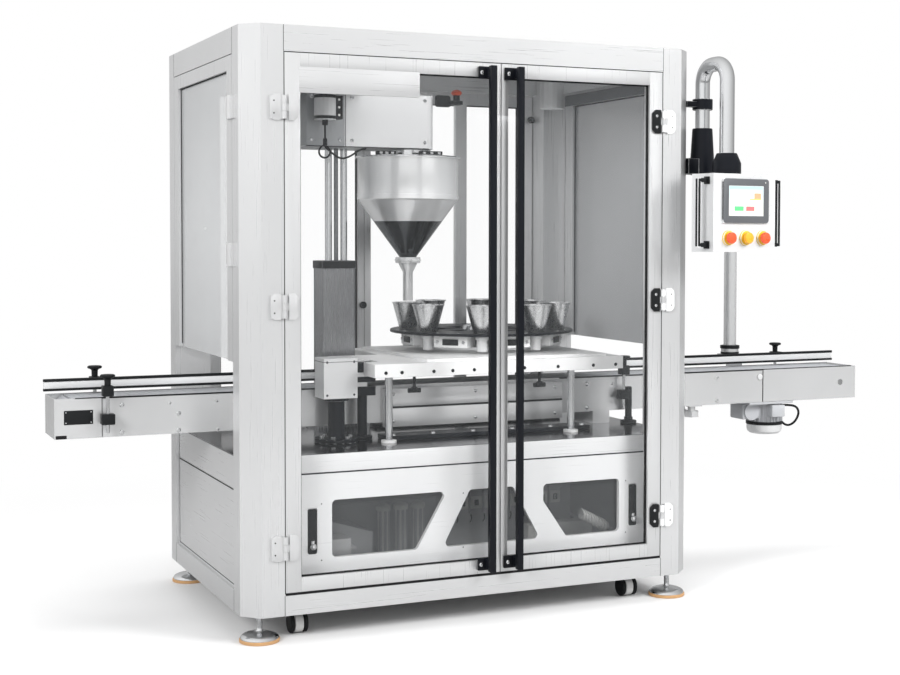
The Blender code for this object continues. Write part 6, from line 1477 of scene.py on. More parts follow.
    def make_hopper(self) -> None:
        """Turns the thin bowl with its rolled rim, cone, collar, reducer and tube, with a near-black skin on the cone
        as painted reflection.
        """
        sheet, bowl, rim = self.sheet, self.bowl_radius, self.rim_radius
        collar, reducer = self.throat - 0.022, self.throat - 0.056
        outer = [(rim - 0.001, self.bowl_top), (rim, self.bowl_top - 0.001), (rim, self.bowl_top - 0.003)]
        outer += [(bowl + 0.002, self.bowl_top - 0.0035), (bowl, self.bowl_top - 0.007), (bowl, self.shoulder + 0.019)]
        outer += [(bowl + 0.003, self.shoulder + 0.018), (bowl + 0.003, self.shoulder + 0.002), (bowl, self.shoulder)]
        outer += [(bowl - 0.004, self.shoulder - 0.0053), (self.throat_radius, self.throat), (0.045, self.throat)]
        outer += [(0.046, self.throat - 0.001), (0.046, collar + 0.001), (0.045, collar), (0.0335, collar)]
        outer += [(0.0335, collar - 0.004), (0.0185, reducer), (0.0185, self.tube_bottom)]
        inner = [(0.0160, self.tube_bottom), (0.0160, reducer), (0.0270, collar), (0.0270, self.throat)]
        inner += [(bowl - sheet, self.shoulder), (bowl - sheet, self.bowl_top), (rim - 0.001, self.bowl_top)]
        bowl_piece = Maker.turned("hopper_bowl", outer + inner, self.axis, steps=96)
        dress(bowl_piece, BOWL_STEEL, self.body)
        # A thin skin over the cone in near-black steel: painted dark reflection
        dark_reflection_skin = [(bowl - 0.0045, self.shoulder - 0.0056), (self.throat_radius + 0.0008, self.throat + 0.0004)]
        dark_reflection_skin += [(self.throat_radius, self.throat + 0.002), (bowl - 0.0062, self.shoulder - 0.0046), dark_reflection_skin[0]]
        dress(Maker.turned("hopper_cone_painted_reflection", dark_reflection_skin, self.axis, steps=96), CONE_PAINTED_REFLECTION, self.body)
        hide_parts("hopper")
        x, y, _ = self.axis
        band = [(0.044, 0.0), (0.0485, 0.0), (0.0485, 0.006), (0.044, 0.006), (0.044, 0.0)]
        bands = [Maker.turned("band", band, (x, y, self.throat - 0.0142), steps=64)]
        bands.append(Maker.block("band_lug", (x - 0.010, y - 0.066, 1.1660), (x + 0.010, y - 0.044, 1.1760), 0.002))
        bands.append(Maker.rod("band_screw", 0.004, (x - 0.022, y - 0.058, 1.1710), 0.044, Axis.X))
        fit("collar_band", bands, BRIGHT_SHEET, self.body)

    def make_lid(self) -> None:
        """Turns the lid with its boss and sets the hold-down clamps on it."""
        (x, y, _), (low, top) = self.axis, self.lid_z
        profile = [(0.0148, 0.0), (self.rim_radius, 0.0), (self.rim_radius, 0.003), (self.rim_radius - 0.001, 0.004)]
        profile += [(0.088, 0.004), (0.085, 0.007), (0.085, top - low), (0.0148, top - low), (0.0148, 0.0)]
        lid = dress(Maker.turned("hopper_cover", profile, (x, y, low), steps=96), POLISHED, self.body)
        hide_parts("hopper_lid")
        clamps, buckles = [], []
        for start, stop in self.lid_clamps:
            clamps.append(Maker.block("clamp", (*start, low + 0.0042), (*stop, low + 0.0190), 0.002))
            middle = (start[0] + stop[0]) / 2
            depth, heights = (start[1] - 0.0025, start[1] + 0.001), (low + 0.007, low + 0.0165)
            for x_at in (start[0] + 0.014, middle, stop[0] - 0.014):
                buckles.append(Maker.span("buckle", (x_at - 0.006, x_at + 0.006), depth, heights, 0.001))
        fit("lid_clamps", clamps, BLACK_PLASTIC, self.body)
        fit("lid_buckles", buckles, POLISHED, self.body)

    def make_fittings(self) -> None:
        """Makes the handle, the stop button on its bracket and the boss on the housing's top."""
        body = self.body
        profile = [(0.0, 0.0), (0.026, 0.0), (0.028, 0.003), (0.028, 0.009), (0.026, 0.012), (0.0, 0.012)]
        dress(Maker.turned("motor_boss", profile, (0.056, 0.180, 1.7745)), HOUSING, body)
        low, high = (0.0955, 0.1185, 1.732), (0.158, 0.1375, 1.775)
        dress(Maker.block("side_handle", low, high, 0.009), BLACK_PLASTIC, body)
        arm = Maker.block("stop_bracket", (0.150, 0.110, 1.742), (0.200, 0.160, 1.756), 0.002)
        neck = Maker.rod("stop_neck", 0.012, (*self.stop_button, 1.7555), 0.022)
        fit("stop_bracket", [arm, neck], BLACK_PLASTIC, body)
        mushroom = [(0.0, 0.0), (0.014, 0.0), (0.0195, 0.006), (0.0195, 0.011), (0.015, 0.017), (0.008, 0.0205)]
        mushroom.append((0.0, 0.022))
        dress(Maker.turned("stop_mushroom", mushroom, (*self.stop_button, 1.7765)), BUTTON_RED, body)


@dataclass
class Turret:
    """The bed plate with its bolts, and the turning table of carriers, ring, funnels and nozzles."""

    centre: Point = (0.280, 0.120, 0.0)
    ring_radius: float = 0.27313
    count: int = 8
    phase: float = math.atan2(0.110, -0.250)
    rim_radius: float = 0.056
    lip_radius: float = 0.059
    rim_z: float = 1.015
    throat_z: float = 0.921
    throat_radius: float = 0.032
    nozzle_radius: float = 0.019
    nozzle_low: float = 0.852
    ring_top: float = 0.917
    ring_low: float = 0.903
    star_low: float = 0.8533
    star_top: float = 0.8653
    sheet: float = 0.002
    edge_bolt_x: tuple[float, ...] = (-0.261, -0.204, -0.089, -0.020, 0.060, 0.140, 0.250, 0.380, 0.520, 0.610)
    runner_bolt_x: tuple[float, ...] = (-0.205, -0.060, 0.090, 0.240, 0.390, 0.515)
    runner_top: float = 0.5860
    rod_places: tuple[Span, ...] = ((-0.240, -0.282), (0.445, -0.282), (-0.080, 0.392), (0.600, 0.392))
    wing_x: Span = (-0.150, 0.320)

    def build(self) -> None:
        """Makes the table and dresses the bed."""
        coat(["turret_bed"], BED_WHITE)
        self.make_table()
        self.make_carriers()
        self.make_funnels()
        self.make_bed_details()

    def turn_of(self, index: float) -> float:
        """The angle of a station, halves lying between two funnels."""
        return self.phase + math.tau * index / self.count

    def middles(self) -> list[float]:
        """The angles halfway between the stations."""
        return [self.turn_of(index + 0.5) for index in range(self.count)]

    def make_table(self) -> None:
        """Turns the hub, the star plate and the black ring with its arms."""
        ring = [(0.169, 0.005), (0.338, 0.005), (0.339, 0.006), (0.339, 0.013), (0.338, 0.014), (0.170, 0.014)]
        ring += [(0.169, 0.013), (0.169, 0.005)]
        x, y, _ = self.centre
        parts = [Maker.turned("ring", ring, (x, y, self.ring_low), steps=128)]
        arm = Maker.block("arm", home(0.066, -0.018, 0.001), home(0.172, 0.018, 0.013))
        parts.append(Maker.spun("arms", arm, (x, y, self.ring_low), self.middles()))
        fit("carrier_ring", parts, BLACK_PAINT, "turret", node="funnel_turret")
        star = [(0.0362, 0.0), (0.244, 0.0), (0.2455, 0.0015), (0.2455, 0.0105), (0.244, 0.012), (0.0362, 0.012)]
        dress(Maker.turned("star_plate", star + star[:1], (x, y, self.star_low), steps=96), MACHINED, "turret")
        hub = [(0.0362, 0.0005), (0.068, 0.0005), (0.070, 0.0025), (0.070, 0.070), (0.066, 0.0777), (0.050, 0.0817)]
        hub += [(0.0, 0.0817), (0.0, 0.0475), (0.0362, 0.0475), (0.0362, 0.0005)]
        dress(Maker.turned("turret_hub", hub, (x, y, self.star_low), steps=64), POLISHED, "turret")
        spots = around((x, y, self.star_low + 0.0817), 0.036, 6)
        dress(Maker.scattered("hub_screws", Maker.screw(0.0065, 0.003, Axis.Z, 1.0), spots), DARK_POLISH, "turret")

    def make_carriers(self) -> None:
        """Makes the white blocks between the nozzles with their black inserts and bolts."""
        x, y, _ = self.centre
        face = self.ring_radius + 0.0200
        low, high = home(face - 0.075, -0.0648, self.star_top - 0.0005), home(face, 0.0648, self.ring_low + 0.0052)
        block = Maker.block("block", low, high, 0.002)
        dress(Maker.spun("carrier_blocks", block, self.centre, self.middles()), HOUSING, "turret")
        low = home(face - 0.0004, -0.030, self.star_top + 0.008)
        insert = Maker.block("insert", low, home(face + 0.0035, 0.030, self.ring_low - 0.008), 0.001)
        dress(Maker.spun("carrier_inserts", insert, self.centre, self.middles()), BLACK_PLASTIC, "turret")
        starts = [home(face - 0.0005, across, 0.8845) for across in (-0.050, 0.050)]
        pair = Maker.joined("bolt", [Maker.rod("bolt", 0.0065, start, 0.006, Axis.X, 0.001, 6) for start in starts])
        dress(Maker.spun("carrier_bolts", pair, self.centre, self.middles()), POLISHED, "turret")
        heads = []
        for offset in (-0.16, 0.16):
            heads += around((x, y, self.ring_top), 0.318, self.count, self.turn_of(0.5 + offset))
        dress(Maker.scattered("ring_screws", Maker.screw(0.0055, 0.0024, Axis.Z, 1.0), heads), POLISHED, "turret")

    def make_funnels(self) -> None:
        """Turns one funnel and one nozzle and copies them to the stations."""
        sheet, origin = self.sheet, tuple(-SHIFT)
        outer = [(0.0195, self.ring_top + 0.001), (self.throat_radius, self.throat_z)]
        outer += [(self.rim_radius, self.rim_z - 0.004)]
        outer += [(self.lip_radius - 0.0005, self.rim_z - 0.003), (self.lip_radius, self.rim_z - 0.0015)]
        outer += [(self.lip_radius - 0.0005, self.rim_z), (self.rim_radius - sheet, self.rim_z)]
        inner = [(self.throat_radius - sheet, self.throat_z + sheet), (0.0170, self.ring_top + 0.001)]
        funnel = Maker.turned("funnel", outer + inner + outer[:1], origin, steps=56)
        bore = self.nozzle_radius - sheet
        nozzle = [(bore, self.nozzle_low), (self.nozzle_radius - 0.0008, self.nozzle_low)]
        nozzle += [(self.nozzle_radius, self.nozzle_low + 0.001), (self.nozzle_radius, self.ring_low - 0.012)]
        nozzle += [(0.0245, self.ring_low - 0.010), (0.0245, self.ring_low - 0.0005)]
        nozzle += [(self.nozzle_radius, self.ring_low), (self.nozzle_radius, self.ring_top + 0.001)]
        nozzle += [(bore, self.ring_top + 0.001)]
        tube = Maker.turned("nozzle", nozzle + nozzle[:1], origin, steps=40)
        places = around(self.centre, self.ring_radius, self.count, self.phase)
        dress(Maker.scattered("funnels", funnel, places), BRUSHED_BOWL, "turret")
        dress(Maker.scattered("nozzles", tube, places), BRIGHT_SHEET, "turret")

    def make_bed_details(self) -> None:
        """Makes the bolts on the bed's edge, its rods, the dark runners below it and the wing screws."""
        spots = [(x, -0.310, 0.806) for x in self.edge_bolt_x]
        screws("bed_bolts", (0.0060, 0.003), spots, BLACK_PLASTIC)
        heights = (0.5720, self.runner_top)
        plates = [
            Maker.span("runner", (-0.235, 0.540), (-0.250, -0.160), heights, 0.001),
            Maker.span("runner", (-0.150, 0.590), (0.080, 0.150), heights, 0.001),
        ]
        fit("base_runners", plates, BLACK_PAINT)
        bolts = [(x, -0.232, self.runner_top) for x in self.runner_bolt_x]
        dress(Maker.scattered("runner_bolts", Maker.screw(0.0085, 0.007, Axis.Z, 1.0), bolts), POLISHED)
        rods = [Maker.rod("rod", 0.0130, (x, y, 0.5725), 0.2190) for x, y in self.rod_places]
        fit("bed_rods", rods, POLISHED)
        wings = []
        for x in self.wing_x:
            wings.append(Maker.rod("stem", 0.005, (x, -0.285, 0.752), 0.040))
            wings.append(Maker.rod("hub", 0.011, (x, -0.285, 0.738), 0.016, edge=0.002))
            wings.append(Maker.span("wing", (x - 0.024, x + 0.024), (-0.289, -0.281), (0.734, 0.750), 0.003))
        fit("wing_screws", wings, BLACK_PLASTIC)


@dataclass
class InfeedDrive:
    """The drive box on its round post, with the flange bolts and the slim post."""

    box_low: Point = (-0.450, -0.230, 0.719)
    box_high: Point = (-0.332, -0.135, 0.853)
    post: Point = (-0.391, -0.1825, 0.5713)
    flange_radius: float = 0.072
    post_radius: float = 0.028

    def build(self) -> None:
        """Coats the drive and rounds its posts."""
        coat(["infeed_drive"], BRIGHT_SHEET)
        x, y, z = self.post
        flange = [(0.0, 0.0), (self.flange_radius - 0.001, 0.0), (self.flange_radius + 0.0003, 0.001)]
        flange += [(self.flange_radius + 0.0003, 0.011), (self.flange_radius - 0.001, 0.0123), (0.034, 0.0123)]
        flange += [(0.0300, 0.015), (self.post_radius + 0.0003, 0.019), (self.post_radius + 0.0003, 0.1380)]
        flange += [(0.0423, 0.1380), (0.0423, 0.1480), (0.0, 0.1480)]
        parts = [Maker.turned("drive_post", flange, (x, y, z), steps=64)]
        slim = [(0.0, 0.0), (0.0343, 0.0), (0.0343, 0.0115), (0.0335, 0.0123), (0.0168, 0.0123), (0.0168, 0.1509)]
        slim.append((0.0, 0.1509))
        parts.append(Maker.turned("slim_post", slim, (-0.2945, -0.17025, z)))
        for low, high in ((0.7217, 0.7535), (0.7675, 0.7865), (0.8005, 0.8323)):
            parts.append(Maker.block("slot_block", (-0.3325, -0.20055, low), (-0.2567, -0.13995, high), 0.001))
        fit("drive_post", parts, BLACK_PAINT)
        places = around((x, y, z + 0.0115), 0.050, 6)
        bolts = [Maker.rod("bolt", 0.0074, place, 0.0090, edge=0.0012, steps=6) for place in places]
        fit("drive_bolts", bolts, POLISHED)
        low, high = self.box_low, self.box_high
        inset = 0.012
        heights = (low[2] + inset, high[2] - inset)
        spots = [(across, low[1], z) for across in (low[0] + inset, high[0] - inset) for z in heights]
        screws("drive_screws", (0.0042, 0.002), spots, DARK_POLISH)
        proud = 0.0003
        across, along = (low[0] - proud, high[0] + proud), (low[1] - proud, high[1] + proud)
        dress(Maker.span("drive_lid_seam", across, along, (0.8405, 0.8420)), BLACK_PLASTIC)


class ScreenArt:
    """The generic picture on the panel's screen, drawn by the shader over the screen's own UV."""

    def __init__(self) -> None:
        """Starts the material and splits the screen's UV."""
        self.book = NodeBook("panel_screen")
        uv = self.book.tree.nodes.new("ShaderNodeUVMap")
        uv.uv_map = "UVMap"
        split = self.book.tree.nodes.new("ShaderNodeSeparateXYZ")
        self.book.link(uv.outputs["UV"], split.inputs["Vector"])
        self.u, self.v = split.outputs["X"], split.outputs["Y"]

    def gate(self, value: Socket, low: float, high: float) -> Socket:
        """One where a value lies between two bounds, else zero.

        Args:
            value: the socket to test.
            low: lower bound.
            high: upper bound.

        Returns:
            The result.
        """
        tree = self.book.tree
        above, below = maths(tree, "GREATER_THAN", value, low), maths(tree, "LESS_THAN", value, high)
        return maths(tree, "MULTIPLY", above, below)

    def patch(self, under: Socket, area: tuple[float, float, float, float], colour: Point) -> Socket:
        """Lays a rectangle of colour over what is there.

        Args:
            under: the colour so far.
            area: left, bottom, right and top in UV.
            colour: its colour.

        Returns:
            The new colour.
        """
        across, up = self.gate(self.u, area[0], area[2]), self.gate(self.v, area[1], area[3])
        mix = self.book.tree.nodes.new("ShaderNodeMix")
        mix.data_type = "RGBA"
        self.book.link(maths(self.book.tree, "MULTIPLY", across, up), mix.inputs["Factor"])
        self.book.link(under, mix.inputs["A"])
        mix.inputs["B"].default_value = (*colour, 1.0)
        return mix.outputs["Result"]

    def make(self) -> bpy.types.Material:
        """Draws the gradient ground, a header, patches and keys.

        Returns:
            The material.
        """
        book = self.book
        ramp = book.tree.nodes.new("ShaderNodeValToRGB")
        ramp.color_ramp.elements[0].position = 0.10
        ramp.color_ramp.elements[1].position = 0.70
        ramp.color_ramp.elements[0].color = (0.90, 0.90, 0.66, 1.0)
        ramp.color_ramp.elements[1].color = (0.55, 0.84, 0.88, 1.0)
        book.link(self.v, ramp.inputs["Fac"])
        colour = ramp.outputs["Color"]
        areas = [
            ((0.03, 0.88, 0.97, 0.97), (0.42, 0.66, 0.76)),
            ((0.10, 0.50, 0.58, 0.82), (0.84, 0.92, 0.88)),
            ((0.73, 0.53, 0.93, 0.76), (0.90, 0.36, 0.20)),
            ((0.60, 0.53, 0.93, 0.57), (0.92, 0.74, 0.16)),
            ((0.17, 0.17, 0.43, 0.32), (0.12, 0.62, 0.22)),
            ((0.50, 0.17, 0.74, 0.32), (0.88, 0.16, 0.16)),
        ]
        for area, patch in areas:
            colour = self.patch(colour, area, patch)
        book.link(colour, book.shader.inputs["Base Color"])
        book.link(colour, book.shader.inputs["Emission Color"])
        book.shader.inputs["Emission Strength"].default_value = 0.22
        book.shader.inputs["Roughness"].default_value = 0.12
        book.shader.inputs["Coat Weight"].default_value = 0.5
        return book.material


@dataclass
class ControlPanel:
    """The gooseneck arm, the box with its bezel and screen, the buttons and the grips."""

    axis: Point = (0.872, -0.612, 0.0)
    far_y: float = -0.457
    pipe_radius: float = 0.0255
    arm_top: float = 1.858
    bend: float = 0.062
    top: float = 1.474
    left: float = -0.120
    width: float = 0.280
    height: float = 0.265
    front: float = -0.070
    turn: float = math.radians(8.0)
    bezel_left: float = -0.081
    bezel_width: float = 0.205
    bezel_top: float = 1.457
    bezel_height: float = 0.150
    bezel_face: float = -0.077
    buttons: tuple[tuple[str, float], ...] = (("left", -0.053), ("middle", 0.024), ("right", 0.101))
    button_z: float = 1.256

    def build(self) -> None:
        """Makes the arm, the panel's face and the controls."""
        coat(["panel_box"], BRIGHT_SHEET)
        self.make_arm()
        self.make_bezel()
        self.make_screen()
        self.make_buttons()
        self.make_grips()

    def turned_box(self, name: str, low: Point, high: Point, edge: float) -> Piece:
        """A block in the panel's own directions, measured from its swivel axis.

        Args:
            name: name of the piece.
            low: lowest corner.
            high: highest corner.
            edge: bevel width.

        Returns:
            The piece.
        """
        return Maker.spun(name, Maker.block(name, home(*low), home(*high), edge), self.axis, [self.turn])

    def turned_round(self, name: str, profile: Profile, across: float, z: float, steps: int = 40) -> Piece:
        """A turned piece square to the panel's front; heights run forwards from the swivel axis.

        Args:
            name: name of the piece.
            profile: radius and distance in front of the axis.
            across: place along the panel.
            z: height.
            steps: sides.

        Returns:
            The piece.
        """
        backwards = [(radius, -ahead) for radius, ahead in profile]
        model = Maker.turned(name, backwards, home(across, 0.0, z), Axis.Y, steps)
        return Maker.spun(name, model, self.axis, [self.turn])

    def make_arm(self) -> None:
        """Sweeps the polished pipe and adds the black ring, the socket and the cone."""
        x, near, _ = self.axis
        points = [(x, self.far_y, 1.488)]
        rise = self.arm_top - self.bend
        for centre_y, start in ((self.far_y - self.bend, 0.0), (near + self.bend, math.pi / 2)):
            for step in range(13):
                turn = start + math.pi / 2 * step / 12
                points.append((x, centre_y + self.bend * math.cos(turn), rise + self.bend * math.sin(turn)))
        points.append((x, near, 1.4864))
        pipe = dress(Maker.swept("gooseneck", points, self.pipe_radius, smooth=False, steps=12), POLISHED, "panel_arm")
        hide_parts("panel_arm")
        socket = [(0.0262, 0.162), (0.034, 0.162), (0.0355, 0.158), (0.0415, 0.057), (0.0415, 0.001), (0.040, -0.0005)]
        socket += [(0.0262, -0.0005), (0.0262, 0.162)]
        socket_piece = Maker.turned("arm_socket", socket, (x, self.far_y, 1.478))
        arms = []
        sizes = (("socket", 0.0285, (1.4785, 1.5345), 0.003), ("ring", 0.0155, (1.714, 1.734), 0.002))
        for name, half, heights, edge in sizes:
            along = (self.far_y - half, self.far_y + half)
            arms.append(Maker.span(f"{name}_back", (0.7985, x - 0.030), along, heights, edge))
        ring = [(0.0262, 0.0), (0.034, 0.0), (0.0355, 0.002), (0.0355, 0.036), (0.034, 0.0382), (0.0262, 0.0382)]
        ring.append(ring[0])
        ring_piece = Maker.turned("arm_ring", ring, (x, self.far_y, 1.705))
        fit("arm_holders", [socket_piece, ring_piece, *arms], BLACK_PAINT)
        cone = [(0.0262, 0.0722), (0.0340, 0.0722), (0.0358, 0.0700), (0.0494, 0.0370), (0.0494, 0.001)]
        cone += [(0.0262, 0.0005), (0.0262, 0.0722)]
        dress(Maker.turned("panel_cone", cone, (x, near, self.top)), BLACK_PAINT, "control_panel")

    def make_bezel(self) -> None:
        """Makes the rounded dark bezel as a frame round the screen."""
        left, right = self.bezel_left, self.bezel_left + self.bezel_width
        low, high = self.bezel_top - self.bezel_height, self.bezel_top
        margin, face, back = 0.0235, self.bezel_face, self.front + 0.0002
        plate = Maker.clipped("bezel", home(left, face - 0.001, low), home(right, back, high), 0.011, steps=5)
        start = home(left + margin, face - 0.01, low + margin)
        Maker.cut(plate, [Maker.block("hole", start, home(right - margin, back + 0.01, high - margin), 0.0)])
        dress(Maker.spun("screen_bezel", plate, self.axis, [self.turn]), BEZEL_GREY, "control_panel")
        lamp = [(0.0, -face + 0.0006), (0.0022, -face + 0.0006), (0.0022, -face + 0.0016), (0.0, -face + 0.0020)]
        dress(self.turned_round("power_lamp", lamp, right - 0.016, high - 0.012, 16), HUB_WHITE, "control_panel")

    def make_screen(self) -> None:
        """Makes the screen as a thin plate with its picture laid out by UV."""
        left, right = self.bezel_left + 0.0235, self.bezel_left + self.bezel_width - 0.0235
        low, high = self.bezel_top - self.bezel_height + 0.0235, self.bezel_top - 0.0235
        depth = self.bezel_face + 0.0008
        screen = self.turned_box("screen", (left, depth, low), (right, depth + 0.002, high), 0.0)
        layers = screen.data.uv_layers
        layer = layers["UVMap"] if "UVMap" in layers else layers.new(name="UVMap")
        back_turn = Matrix.Rotation(-self.turn, 3, "Z")
        axis = at(*self.axis)
        for loop in screen.data.loops:
            local = back_turn @ (screen.data.vertices[loop.vertex_index].co - axis)
            layer.data[loop.index].uv = ((local.x - left) / (right - left), (local.z - low) / (high - low))
        screen.data.materials.clear()
        screen.data.materials.append(ScreenArt().make())
        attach(screen, "control_panel")
        LOG.info("made %s", screen.name)

    def make_buttons(self) -> None:
        """Turns the collars and the mushroom buttons."""
        ahead = -self.front
        for name, across in self.buttons:
            collar = [(0.0120, ahead - 0.001), (0.0262, ahead - 0.001), (0.0262, ahead + 0.003)]
            collar += [(0.0240, ahead + 0.0073), (0.0120, ahead + 0.0073), (0.0120, ahead - 0.001)]
            piece = self.turned_round(f"button_collar_{name}", collar, across, self.button_z)
            dress(piece, COLLAR_YELLOW, "control_panel")
            back = ahead + 0.0073 + 0.0053
            head = [(0.0, ahead + 0.0005), (0.0108, ahead + 0.0005), (0.0108, back), (0.0185, back)]
            head += [(0.0200, back + 0.002), (0.0200, back + 0.007), (0.0180, back + 0.0108)]
            head += [(0.0110, back + 0.0126), (0.0, back + 0.0130)]
            cap = self.turned_round(f"button_cap_{name}", head, across, self.button_z)
            dress(cap, BUTTON_AMBER if name == "middle" else BUTTON_RED, f"button_{name}")
            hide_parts(f"button_{name}")

    def make_grips(self) -> None:
        """Makes the two square black grips and their feet."""
        low, high = self.top - self.height / 2 - 0.116, self.top - self.height / 2 + 0.116
        y, half = self.front + 0.030, 0.0073
        for side, edge, name in ((-1, self.left, "left"), (1, self.left + self.width, "right")):
            reach, parts = edge + side * 0.041, []
            near, far = sorted((reach - side * half, reach + side * half))
            parts.append(self.turned_box("bar", (near, y - half, low), (far, y + half, high), 0.003))
            for z in (low + 0.0072, high - 0.0072):
                near, far = sorted((edge + side * 0.0002, reach))
                parts.append(self.turned_box("arm", (near, y - half, z - half), (far, y + half, z + half), 0.003))
                near, far = sorted((edge + side * 0.0002, edge + side * 0.006))
                parts.append(self.turned_box("foot", (near, y - 0.013, z - 0.013), (far, y + 0.013, z + 0.013), 0.002))
            fit(f"panel_grip_{name}", parts, BLACK_PLASTIC, "control_panel")


@dataclass
class RearFittings:
    """The black knobs of the rear bars."""

    rear_y: float = 0.470
    knobs: tuple[Span, ...] = ((0.354, 1.300), (-0.056, 0.995), (0.660, 1.727))

    def build(self) -> None:
        """Turns the knobs."""
        profile = [(0.0, 0.0), (0.010, 0.0), (0.013, 0.003), (0.013, 0.014), (0.010, 0.018), (0.0, 0.018)]
        knobs = [Maker.turned("knob", profile, (x, self.rear_y, z), Axis.Y, 28) for x, z in self.knobs]
        fit("rear_knobs", knobs, BLACK_PLASTIC)


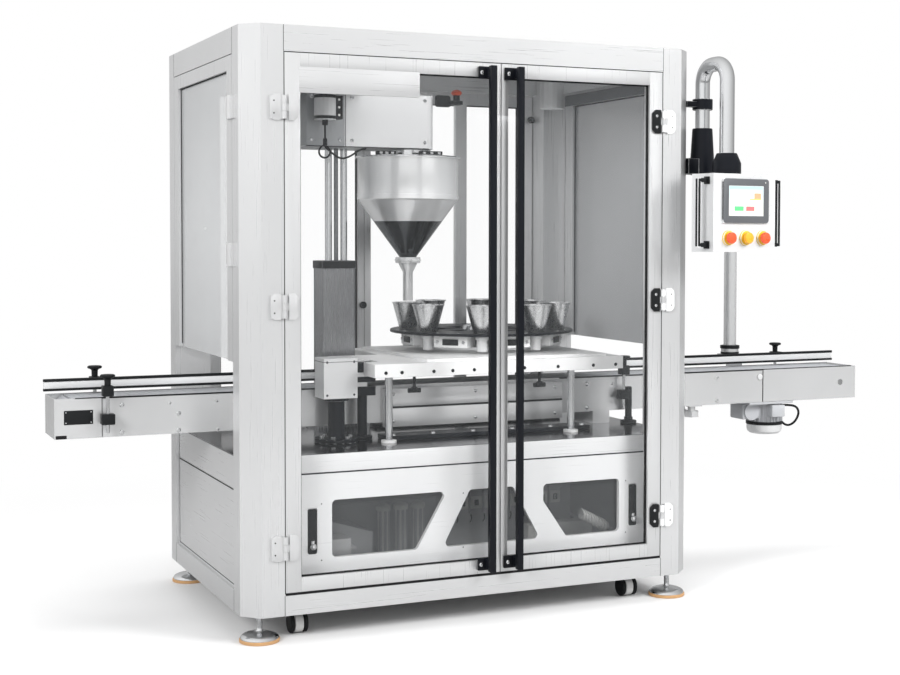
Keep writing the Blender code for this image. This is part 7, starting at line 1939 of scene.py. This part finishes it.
@dataclass
class Studio:
    """The pale floor, the soft lamps, the white surround and the camera at the photograph's angle."""

    location: Point = (-2.0308, -4.9911, 1.2636)
    yaw: float = 0.43547
    pitch: float = 0.037056
    roll: float = 0.00219
    lens: float = 60.4
    shift: Span = (-0.0531, -0.0514)
    floor_size: float = 60.0
    fade: Span = (0.8, 3.4)
    floor_bounce: Point = (0.43, 0.43, 0.43)
    surround: float = 0.60
    bright_side: Point = (-0.85, -0.50, 0.18)
    mirror: Span = (0.34, 1.0)
    lamps: tuple[tuple[str, Point, float, float], ...] = (
        ("key", (3.0, -4.2, 3.2), 2.2, 225.0),
        ("fill", (-4.6, -3.4, 3.0), 2.2, 222.0),
        ("top", (0.2, 0.2, 5.0), 2.4, 150.0),
        ("cabin", (0.1, -0.15, 1.72), 0.8, 3.0),
    )

    def build(self) -> None:
        """Sets up everything around the object."""
        self.make_floor()
        self.make_surround()
        self.make_lamps()
        self.make_camera()
        bpy.context.scene.view_settings.view_transform = "Standard"

    def make_floor(self) -> None:
        """Lays the floor below the feet."""
        Maker.clear_selection()
        bpy.ops.mesh.primitive_plane_add(size=self.floor_size, location=(0.0, 0.0, -0.0004))
        floor = bpy.context.object
        floor.name = "floor"
        Maker.settle(floor)
        book = NodeBook("pale_floor")
        cloud = book.noise((0.2, 0.2, 0.2), 2.0, 1.0)
        pale = book.shades(cloud, (0.90, 0.90, 0.90), (0.92, 0.92, 0.92))
        path, mix = book.tree.nodes.new("ShaderNodeLightPath"), book.tree.nodes.new("ShaderNodeMix")
        mix.data_type = "RGBA"
        mix.inputs["A"].default_value = (*self.floor_bounce, 1.0)
        book.link(path.outputs["Is Camera Ray"], mix.inputs["Factor"])
        book.link(pale, mix.inputs["B"])
        book.link(mix.outputs["Result"], book.shader.inputs["Base Color"])
        book.shader.inputs["Roughness"].default_value = 0.6
        self.fade_to_white(book)
        floor.data.materials.append(book.material)

    def fade_to_white(self, book: NodeBook) -> None:
        """Lets the floor run into the white surround away from the object, to the camera only.

        Args:
            book: the floor's node tree.
        """
        tree = book.tree
        length = tree.nodes.new("ShaderNodeVectorMath")
        length.operation = "LENGTH"
        book.link(book.coords, length.inputs[0])
        ranged = tree.nodes.new("ShaderNodeMapRange")
        ranged.interpolation_type = "SMOOTHSTEP"
        ranged.inputs["From Min"].default_value, ranged.inputs["From Max"].default_value = self.fade
        book.link(length.outputs["Value"], ranged.inputs["Value"])
        path = tree.nodes.new("ShaderNodeLightPath")
        seen = maths(tree, "MULTIPLY", ranged.outputs["Result"], path.outputs["Is Camera Ray"])
        white = tree.nodes.new("ShaderNodeEmission")
        mix = tree.nodes.new("ShaderNodeMixShader")
        book.link(seen, mix.inputs["Fac"])
        book.link(book.shader.outputs["BSDF"], mix.inputs[1])
        book.link(white.outputs["Emission"], mix.inputs[2])
        book.link(mix.outputs["Shader"], tree.nodes["Material Output"].inputs["Surface"])

    def make_surround(self) -> None:
        """Makes the world white to the camera and to mirrors, softer as a light."""
        world = bpy.data.worlds.new("surround")
        world.use_nodes = True
        tree = world.node_tree
        background = tree.nodes["Background"]
        background.inputs["Color"].default_value = (1.0, 1.0, 1.0, 1.0)
        path = tree.nodes.new("ShaderNodeLightPath")
        widest = path.outputs["Is Camera Ray"]
        for name in ("Is Glossy Ray", "Is Transmission Ray"):
            widest = maths(tree, "MAXIMUM", widest, path.outputs[name])
        ranged = tree.nodes.new("ShaderNodeMapRange")
        ranged.inputs["To Min"].default_value = self.surround
        ranged.inputs["To Max"].default_value = 1.0
        tree.links.new(widest, ranged.inputs["Value"])
        least = maths(tree, "MINIMUM", ranged.outputs["Result"], self.mirror_light(tree))
        tree.links.new(least, background.inputs["Strength"])
        bpy.context.scene.world = world

    def mirror_light(self, tree: bpy.types.NodeTree) -> Socket:
        """How bright the surround is in mirrors: brightest on one side, darker away from it.

        Args:
            tree: the world's node tree.

        Returns:
            The strength for mirror rays, and 1 for all others.
        """
        coords, turn = tree.nodes.new("ShaderNodeTexCoord"), tree.nodes.new("ShaderNodeVectorMath")
        turn.operation = "DOT_PRODUCT"
        turn.inputs[1].default_value = self.bright_side
        tree.links.new(coords.outputs["Generated"], turn.inputs[0])
        ranged, path = tree.nodes.new("ShaderNodeMapRange"), tree.nodes.new("ShaderNodeLightPath")
        ranged.inputs["From Min"].default_value = -1.0
        ranged.inputs["To Min"].default_value, ranged.inputs["To Max"].default_value = self.mirror
        tree.links.new(turn.outputs["Value"], ranged.inputs["Value"])
        mix = tree.nodes.new("ShaderNodeMix")
        mix.inputs["A"].default_value = 1.0
        tree.links.new(path.outputs["Is Glossy Ray"], mix.inputs["Factor"])
        tree.links.new(ranged.outputs["Result"], mix.inputs["B"])
        return mix.outputs["Result"]

    def make_lamps(self) -> None:
        """Hangs the soft area lamps, each looking at the machine's middle."""
        for name, place, size, power in self.lamps:
            data = bpy.data.lights.new(name, "AREA")
            data.shape = "DISK"
            data.size = size
            data.energy = power
            lamp = bpy.data.objects.new(name, data)
            bpy.context.scene.collection.objects.link(lamp)
            lamp.location = at(*place)
            lamp.visible_glossy = False
            lamp.rotation_euler = (at(0.1, 0.0, 0.9) - lamp.location).to_track_quat("-Z", "Y").to_euler()
            lamp.visible_camera = False

    def make_camera(self) -> None:
        """Places the camera from the solved heading, tilt and roll."""
        data = bpy.data.cameras.new("camera")
        data.lens = self.lens
        data.sensor_width = 36.0
        data.shift_x, data.shift_y = self.shift
        data.clip_end = 200.0
        camera = bpy.data.objects.new("camera", data)
        bpy.context.scene.collection.objects.link(camera)
        reach = math.cos(self.pitch)
        forward = Vector((math.sin(self.yaw) * reach, math.cos(self.yaw) * reach, -math.sin(self.pitch)))
        level = Vector((math.cos(self.yaw), -math.sin(self.yaw), 0.0))
        upright = level.cross(forward)
        right = math.cos(self.roll) * level + math.sin(self.roll) * upright
        up = -math.sin(self.roll) * level + math.cos(self.roll) * upright
        frame_axes = Matrix((right, up, -forward)).transposed().to_4x4()
        camera.matrix_world = Matrix.Translation(at(*self.location)) @ frame_axes
        bpy.context.scene.camera = camera


def main() -> None:
    """Builds the classes in order."""
    assemblies = [
        MachineFrame(),
        FeetAndCasters(),
        GlazedDoors(),
        Cabinet(),
        ChainConveyor(),
        Guides(),
        FillingHead(),
        Turret(),
        InfeedDrive(),
        ControlPanel(),
        RearFittings(),
    ]
    coat(["table_top"], TABLE_STEEL)
    for assembly in assemblies:
        LOG.info("building %s", type(assembly).__name__)
        assembly.build()
    Studio().build()


if __name__ == "__main__":
    main()
